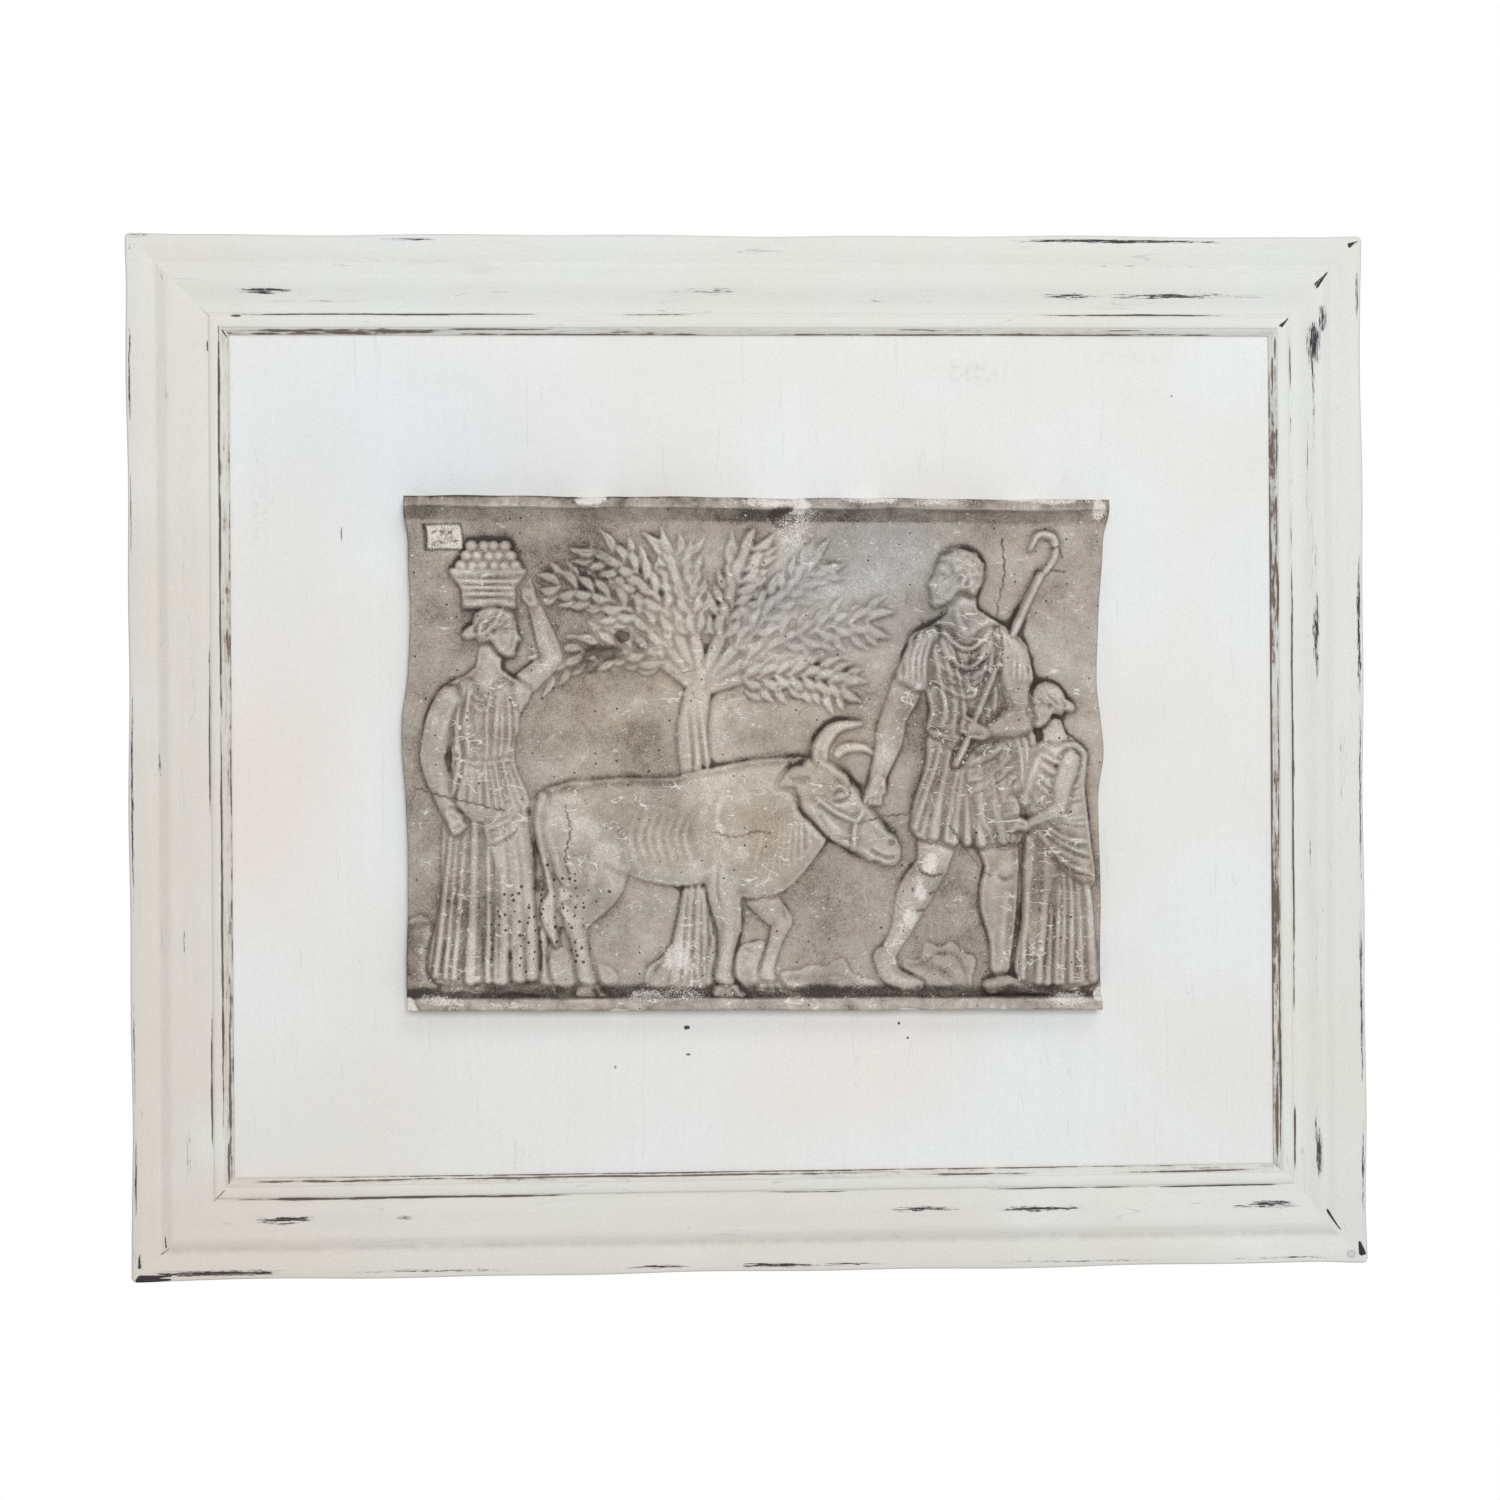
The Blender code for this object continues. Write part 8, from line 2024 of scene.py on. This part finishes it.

# Thin dark lines along the groove and the inner slope, given as the marks are. Most are worn paint; the long
# ones at the panel's edge, about 49.7 mm in, are painted shade where the lip meets the panel
wornAndShadeLines = {
    "top": [
        (51, 206, 39.7, 0.44, 1.54), (51, 57, 40.4, 0.61, 1.36), (233, 288, 39.7, 0.34, 0.9),
        (450, 552, 39.7, 0.44, 1.42), (38, 172, 48.0, 1.3, 0.98), (42, 150, 49.2, 0.95, 1.00),
        (150, 214, 47.2, 0.52, 1.3), (146, 300, 49.7, 0.52, 1.06), (290, 572, 49.7, 0.44, 1.18),
        (380, 401, 47.0, 0.42, 1.18), (483, 506, 47.5, 0.42, 1.12), (56, 130, 33.5, 0.52, 0.46),
    ],
    "right": [
        (46, 80, 39.6, 0.36, 1.06), (88, 103, 39.6, 0.31, 0.88), (136, 160, 39.6, 0.31, 0.94),
        (150, 398, 39.6, 0.49, 1.58), (438, 474, 39.6, 0.55, 1.54), (50, 64, 47.2, 0.52, 1.3),
        (128, 158, 46.9, 0.47, 1.3), (160, 204, 46.9, 0.49, 1.3), (204, 350, 46.9, 0.42, 0.94),
        (346, 472, 47.0, 0.55, 1.48), (46, 480, 49.8, 0.51, 1.42), (418, 474, 48.4, 0.77, 1.3),
        (60, 78, 48.4, 0.45, 1.25), (64, 76, 47.2, 0.32, 1.1),
    ],
    "left": [
        (40, 262, 45.6, 0.46, 1.6), (40, 128, 45.6, 0.4, 2.1), (236, 450, 45.5, 0.55, 1.6),
        (53, 59, 39.7, 0.44, 1.24), (203, 292, 39.7, 0.42, 1.42), (386, 457, 39.7, 0.47, 1.5),
        (50, 470, 49.7, 0.47, 0.78), (380, 474, 48.5, 0.77, 1.12), (450, 476, 47.6, 0.58, 1.36),
        (456, 474, 48.8, 0.51, 1.2),
    ],
    "bottom": [
        (48, 226, 39.8, 0.62, 1.58), (70, 94, 39.9, 0.84, 1.54), (310, 370, 39.7, 0.34, 0.9),
        (420, 511, 39.7, 0.4, 1.24), (508, 574, 39.7, 0.51, 1.54), (52, 150, 48.4, 0.63, 1.06),
        (104, 372, 48.6, 0.47, 1.42), (50, 572, 49.9, 0.52, 1.1), (392, 447, 47.4, 0.58, 1.18),
        (486, 562, 47.2, 0.54, 1.22), (520, 572, 47.6, 0.42, 0.88),
    ],
}

# How brown the worn inner slope is, and how dark the crease beside the outer band is painted, with the
# reach of that darkening: dirt, and painted shade that is strongest on the bottom rail, where the slope
# there faces down away from the light
sightWear = {"top": 0.36, "right": 0.74, "left": 0.48, "bottom": 0.36}
creaseDirtAndShade = {"top": (0.1, 3.0), "right": (0.12, 3.0), "left": (0.32, 1.7), "bottom": (0.7, 3.0)}


def sectionLine(look):
    rounding, band = look["edgeRounding"], look["bandWidth"]
    bandDepth = look["creaseDepth"] + look["bandRise"]
    line = [(0, depth) for depth in (0, 0.0003, 0.004, 0.009, 0.014, 0.019)]
    for i in range(7):
        a = math.pi / 2 * i / 6
        line.append((rounding * (1 - math.cos(a)), bandDepth - rounding * (1 - math.sin(a))))
    for i in range(1, 23):
        t = i / 22
        crown = look["bandRise"] * (1 - t * t) + look["bandRise"] / 4 * math.sin(math.pi * t)
        line.append((rounding + (band - rounding) * t, look["creaseDepth"] + crown))
    peak = band + look["humpWidth"]
    fall = peak + look["fallWidth"]
    hump, groove = look["humpDepth"], look["grooveDepth"]
    for start, end, low, high in ((band, peak, look["creaseDepth"], hump), (peak, fall, hump, groove)):
        for i in range(1, 20):
            t = i / 19
            line.append((start + (end - start) * t, low + (high - low) * (1 - math.cos(math.pi * t)) / 2))
    bead = fall + look["grooveWidth"]
    for i in range(1, 6):
        t = i / 6
        line.append((fall + look["grooveWidth"] * t, groove - 0.0003 * math.sin(math.pi * t)))
    line.append((bead, groove))
    for i in range(1, 11):
        a = math.pi * i / 11
        depth = groove + look["beadRise"] * math.sin(a) ** 0.7
        line.append((bead + look["beadWidth"] * (1 - math.cos(a)) / 2, depth))
    sight = bead + look["beadWidth"]
    edge = sight + look["sightWidth"]
    foot = look["lipDepth"] + look["lipFlat"]
    for i in range(15):
        t = i / 14
        line.append((sight + (edge - sight) * t, groove + (foot - groove) * t ** 1.4))
    rabbet = edge - look["rabbetWidth"]
    line += [(edge, look["lipDepth"]), (edge - 0.0003, look["lipDepth"]), (rabbet, look["lipDepth"])]
    line += [(rabbet, 0.01), (rabbet, 0.005), (rabbet, 0.0), (0.028, 0.0), (0.014, 0.0), (0.0003, 0.0)]
    return line


# How far along the stretch from start to end each place is, and how far off its line
def offStretch(along, inset, start, end):
    east, north = end[0] - start[0], end[1] - start[1]
    span = math.hypot(east, north)
    t = ((along - start[0]) * east + (inset - start[1]) * north) / span ** 2
    return t, np.abs((along - start[0]) * north - (inset - start[1]) * east) / span


# A mark between two places, from 1 along its middle to 0 past its width, thinning towards its ends
def strokeMask(along, inset, start, end, width):
    t, away = offStretch(along, inset, start, end)
    ends = np.sin(np.pi * np.clip(t, 0, 1)) ** 0.55
    return ends * np.exp(-((away / width) ** 2) * 1.1)


# A wedge from a thin tip to a blunt end
def wedgeMask(along, inset, start, end, width):
    t, away = offStretch(along, inset, start, end)
    half = width * (0.25 + 0.75 * np.clip(t, 0, 1))
    ends = smoothStep(t, -0.02, 0.08) * (1 - smoothStep(t, 0.92, 1.08))
    return ends * np.exp(-((away / half) ** 2) * 1.1)


def selectLong(mesh, least):
    bpy.ops.object.mode_set(mode="OBJECT")
    places = getPlaces(mesh)
    for part in (mesh.vertices, mesh.edges, mesh.polygons):
        part.foreach_set("select", [False] * len(part))
    for edge in mesh.edges:
        a, b = edge.vertices
        edge.select = abs(places[a, 0] - places[b, 0]) > least and abs(places[a, 1] - places[b, 1]) < 1e-6
    bpy.ops.object.mode_set(mode="EDIT")


# Draws the section out to the rail's length, cuts both mitres and divides it along
def makeRail(side, look, origin, forward, inward, length, seed, material):
    line = sectionLine(look)
    deselect()
    bpy.ops.mesh.primitive_circle_add(vertices=len(line), fill_type="NGON")
    piece = bpy.context.object
    mesh = piece.data
    spare = 0.01
    setPlaces(mesh, np.array([(-spare, inset, depth) for inset, depth in line]))
    bpy.ops.object.mode_set(mode="EDIT")
    bpy.ops.mesh.select_all(action="SELECT")
    bpy.ops.mesh.extrude_region_move(TRANSFORM_OT_translate={"value": (length + 2 * spare, 0, 0)})
    for start, normal in ((0, (-1, 1, 0)), (length, (1, 1, 0))):
        bpy.ops.mesh.select_all(action="SELECT")
        bpy.ops.mesh.bisect(
            plane_co=(start, 0, 0), plane_no=Vector(normal).normalized(), clear_outer=True, use_fill=True,
            threshold=1e-6
        )
    bpy.ops.mesh.select_mode(type="EDGE")
    for cuts in look["cuts"]:
        selectLong(mesh, 0.0012)
        bpy.ops.mesh.subdivide(number_cuts=cuts)
    bpy.ops.object.mode_set(mode="OBJECT")

    places = getPlaces(mesh)
    along, inset, depth = places.T
    # the cuts crowd towards the mitres, where the chips are
    room = length - 2 * inset
    t = (along - inset) / room
    along = inset + room * (t - look["crowding"] / (2 * math.pi) * np.sin(2 * math.pi * t))
    # in millimetres, and with the mask of each mark
    alongMm, insetMm = along / mm, inset / mm
    rng = np.random.default_rng(seed)
    phases = rng.uniform(0, 6.28, 6)
    painted = (depth > 0.0002) & ~((inset > 0.0415) & (depth < look["lipDepth"] + 0.0001))
    rub = np.zeros(len(places))
    for start, end, at, width, strength in railMarks[side]:
        drift = 0.35 * np.sin(alongMm / 23 + phases[0] + at) + 0.2 * np.sin(alongMm / 7 + at)
        spread = strokeMask(alongMm, insetMm + drift * min(width, 1.2) * 0.6, (start, at), (end, at), width)
        rub = np.maximum(rub, 1.05 * strength * spread)
    chip = np.zeros(len(places))
    for start, end, width, strength in cornerMarks[side]:
        chip = np.maximum(chip, strength * wedgeMask(alongMm, insetMm, start, end, width))
    rub *= painted
    wave = np.sin(alongMm / 31 + phases[1]) + 0.7 * np.sin(alongMm / 12.7 + phases[2])
    wave += 0.5 * np.sin(alongMm / 5.3)
    sightAt = smoothStep(insetMm, 46.0, 46.9)
    sight = sightWear[side] * sightAt * (0.80 + 0.20 * wave)
    # worn lines, and the painted shade line along the panel's edge
    for start, end, at, width, strength in wornAndShadeLines[side]:
        broken = 0.92 + 0.12 * np.sin(alongMm / 9.7 + 3 * at) + 0.08 * np.sin(alongMm / 3.1 + at)
        line = strokeMask(alongMm, insetMm + 0.10 * np.sin(alongMm / 13), (start, at), (end, at), width)
        sight = np.maximum(sight, 1.15 * strength * line * broken)
    # the crease beside the outer band, darkened with dirt and with painted shade, by the rail's side
    dirt, reach = creaseDirtAndShade[side]
    crease = dirt * (1 - smoothStep(np.abs(insetMm - 15.4), 0.2, reach))
    crease = np.maximum(crease, 0.16 * (1 - smoothStep(np.abs(insetMm - 39.6), 0.3, 1.3)))
    crease = np.maximum(crease, 0.16 * (1 - smoothStep(np.abs(insetMm - 46.5), 0.2, 0.8)))
    if side == "bottom":    # a filled nail hole
        away = np.hypot(alongMm - 611.3, 1.2 * (insetMm - 4.9))
        ring = 0.9 * (1 - smoothStep(np.abs(away - 2.1), 0.2, 0.7))
        crease = np.maximum(crease, 1.3 * (1 - smoothStep(away, 1.9, 2.6)) + ring)
    crease = np.maximum(crease, 0.20 * (1 - smoothStep(insetMm, 0.2, 1.2)))
    run = np.column_stack([along, inset + depth * 0.6, np.full(len(places), 0.37 * seed)])
    marks = {
        "rub": rub, "chip": chip * painted, "sight": sight * painted, "crease": crease * painted,
        "raw": 1.0 - painted, "run": run
    }
    for name, values in marks.items():
        setAttribute(mesh, name, values)

    # the hand-planed edge waves a little, and bared wood lies under the paint
    edge = 1 - smoothStep(insetMm, 0.0, 4.0)
    ends = smoothStep(np.minimum(along, length - along) - inset, 0.0, 0.03)
    ripple = 0.5 + 0.25 * np.sin(alongMm / 41 + phases[3]) + 0.25 * np.sin(alongMm / 17 + phases[4])
    inset = inset + look["edgeWave"] * edge * ripple * ends
    # the outer corners are worn round
    rounding = look["cornerRounding"]
    for turned in (False, True):
        fromEnd = length - along if turned else along
        u = np.clip(1 - fromEnd / rounding, 0, 1)
        v = np.clip(1 - inset / rounding, 0, 1)
        shift = rounding * u * (1 - np.sqrt(1 - v * v / 2))
        along = along - shift if turned else along + shift
        inset = inset + rounding * v * (1 - np.sqrt(1 - u * u / 2))
    sag = 0.00012 * np.sin(alongMm / 29 + phases[5]) + 0.00006 * np.sin(alongMm / 9.1 + insetMm / 3)
    worn = look["paintDepth"] * smoothStep(rub, 0.4, 0.9)
    depth = depth + (sag * ends - worn) * smoothStep(depth, 0.017, 0.0195)
    world = origin + np.outer(along, forward) + np.outer(inset, inward) + np.outer(depth, (0, -1, 0))
    for axis, edge, name in ((0, look["frame"][0] / 2, "rightNarrowing"), (2, look["top"], "topNarrowing")):
        start, full, shift = look[name]
        fromEdge = edge - world[:, axis]
        world[:, axis] += shift * smoothStep(fromEdge, start, full) * (1 - smoothStep(fromEdge, 0.055, 0.3))
    setPlaces(mesh, world)
    bpy.ops.object.mode_set(mode="EDIT")
    bpy.ops.mesh.select_all(action="SELECT")
    bpy.ops.mesh.normals_make_consistent(inside=False)
    bpy.ops.object.mode_set(mode="OBJECT")
    bpy.ops.object.shade_smooth_by_angle(angle=math.radians(42))
    dress(piece, side + "Rail", "frame_rail_" + side, material)
    return piece


def makeFrame(look, material):
    width, height = look["frame"]
    left, right, top = -width / 2, width / 2, look["top"]
    bottom = top - height
    rails = {
        "top": ((left, 0, top), (1, 0, 0), (0, 0, -1), width),
        "bottom": ((left, 0, bottom), (1, 0, 0), (0, 0, 1), width),
        "left": ((left, 0, top), (0, 0, -1), (1, 0, 0), height),
        "right": ((right, 0, top), (0, 0, -1), (-1, 0, 0), height),
    }
    for seed, (side, (origin, forward, inward, length)) in enumerate(rails.items(), 1):
        makeRail(side, look, origin, forward, inward, length, seed, material)
        print("  " + side + " rail")


materials = makeMaterials()
print("materials made")
setCamera(cameraView)
setStudio(studio, materials["floor"])
makeFrame(moulding, materials["frame"])
print("frame made")
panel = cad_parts["backing_panel"]
for place in panel.material_slots:
    place.material = materials["panel"]
makeCast(cast, materials["plaster"])
print("cast made")
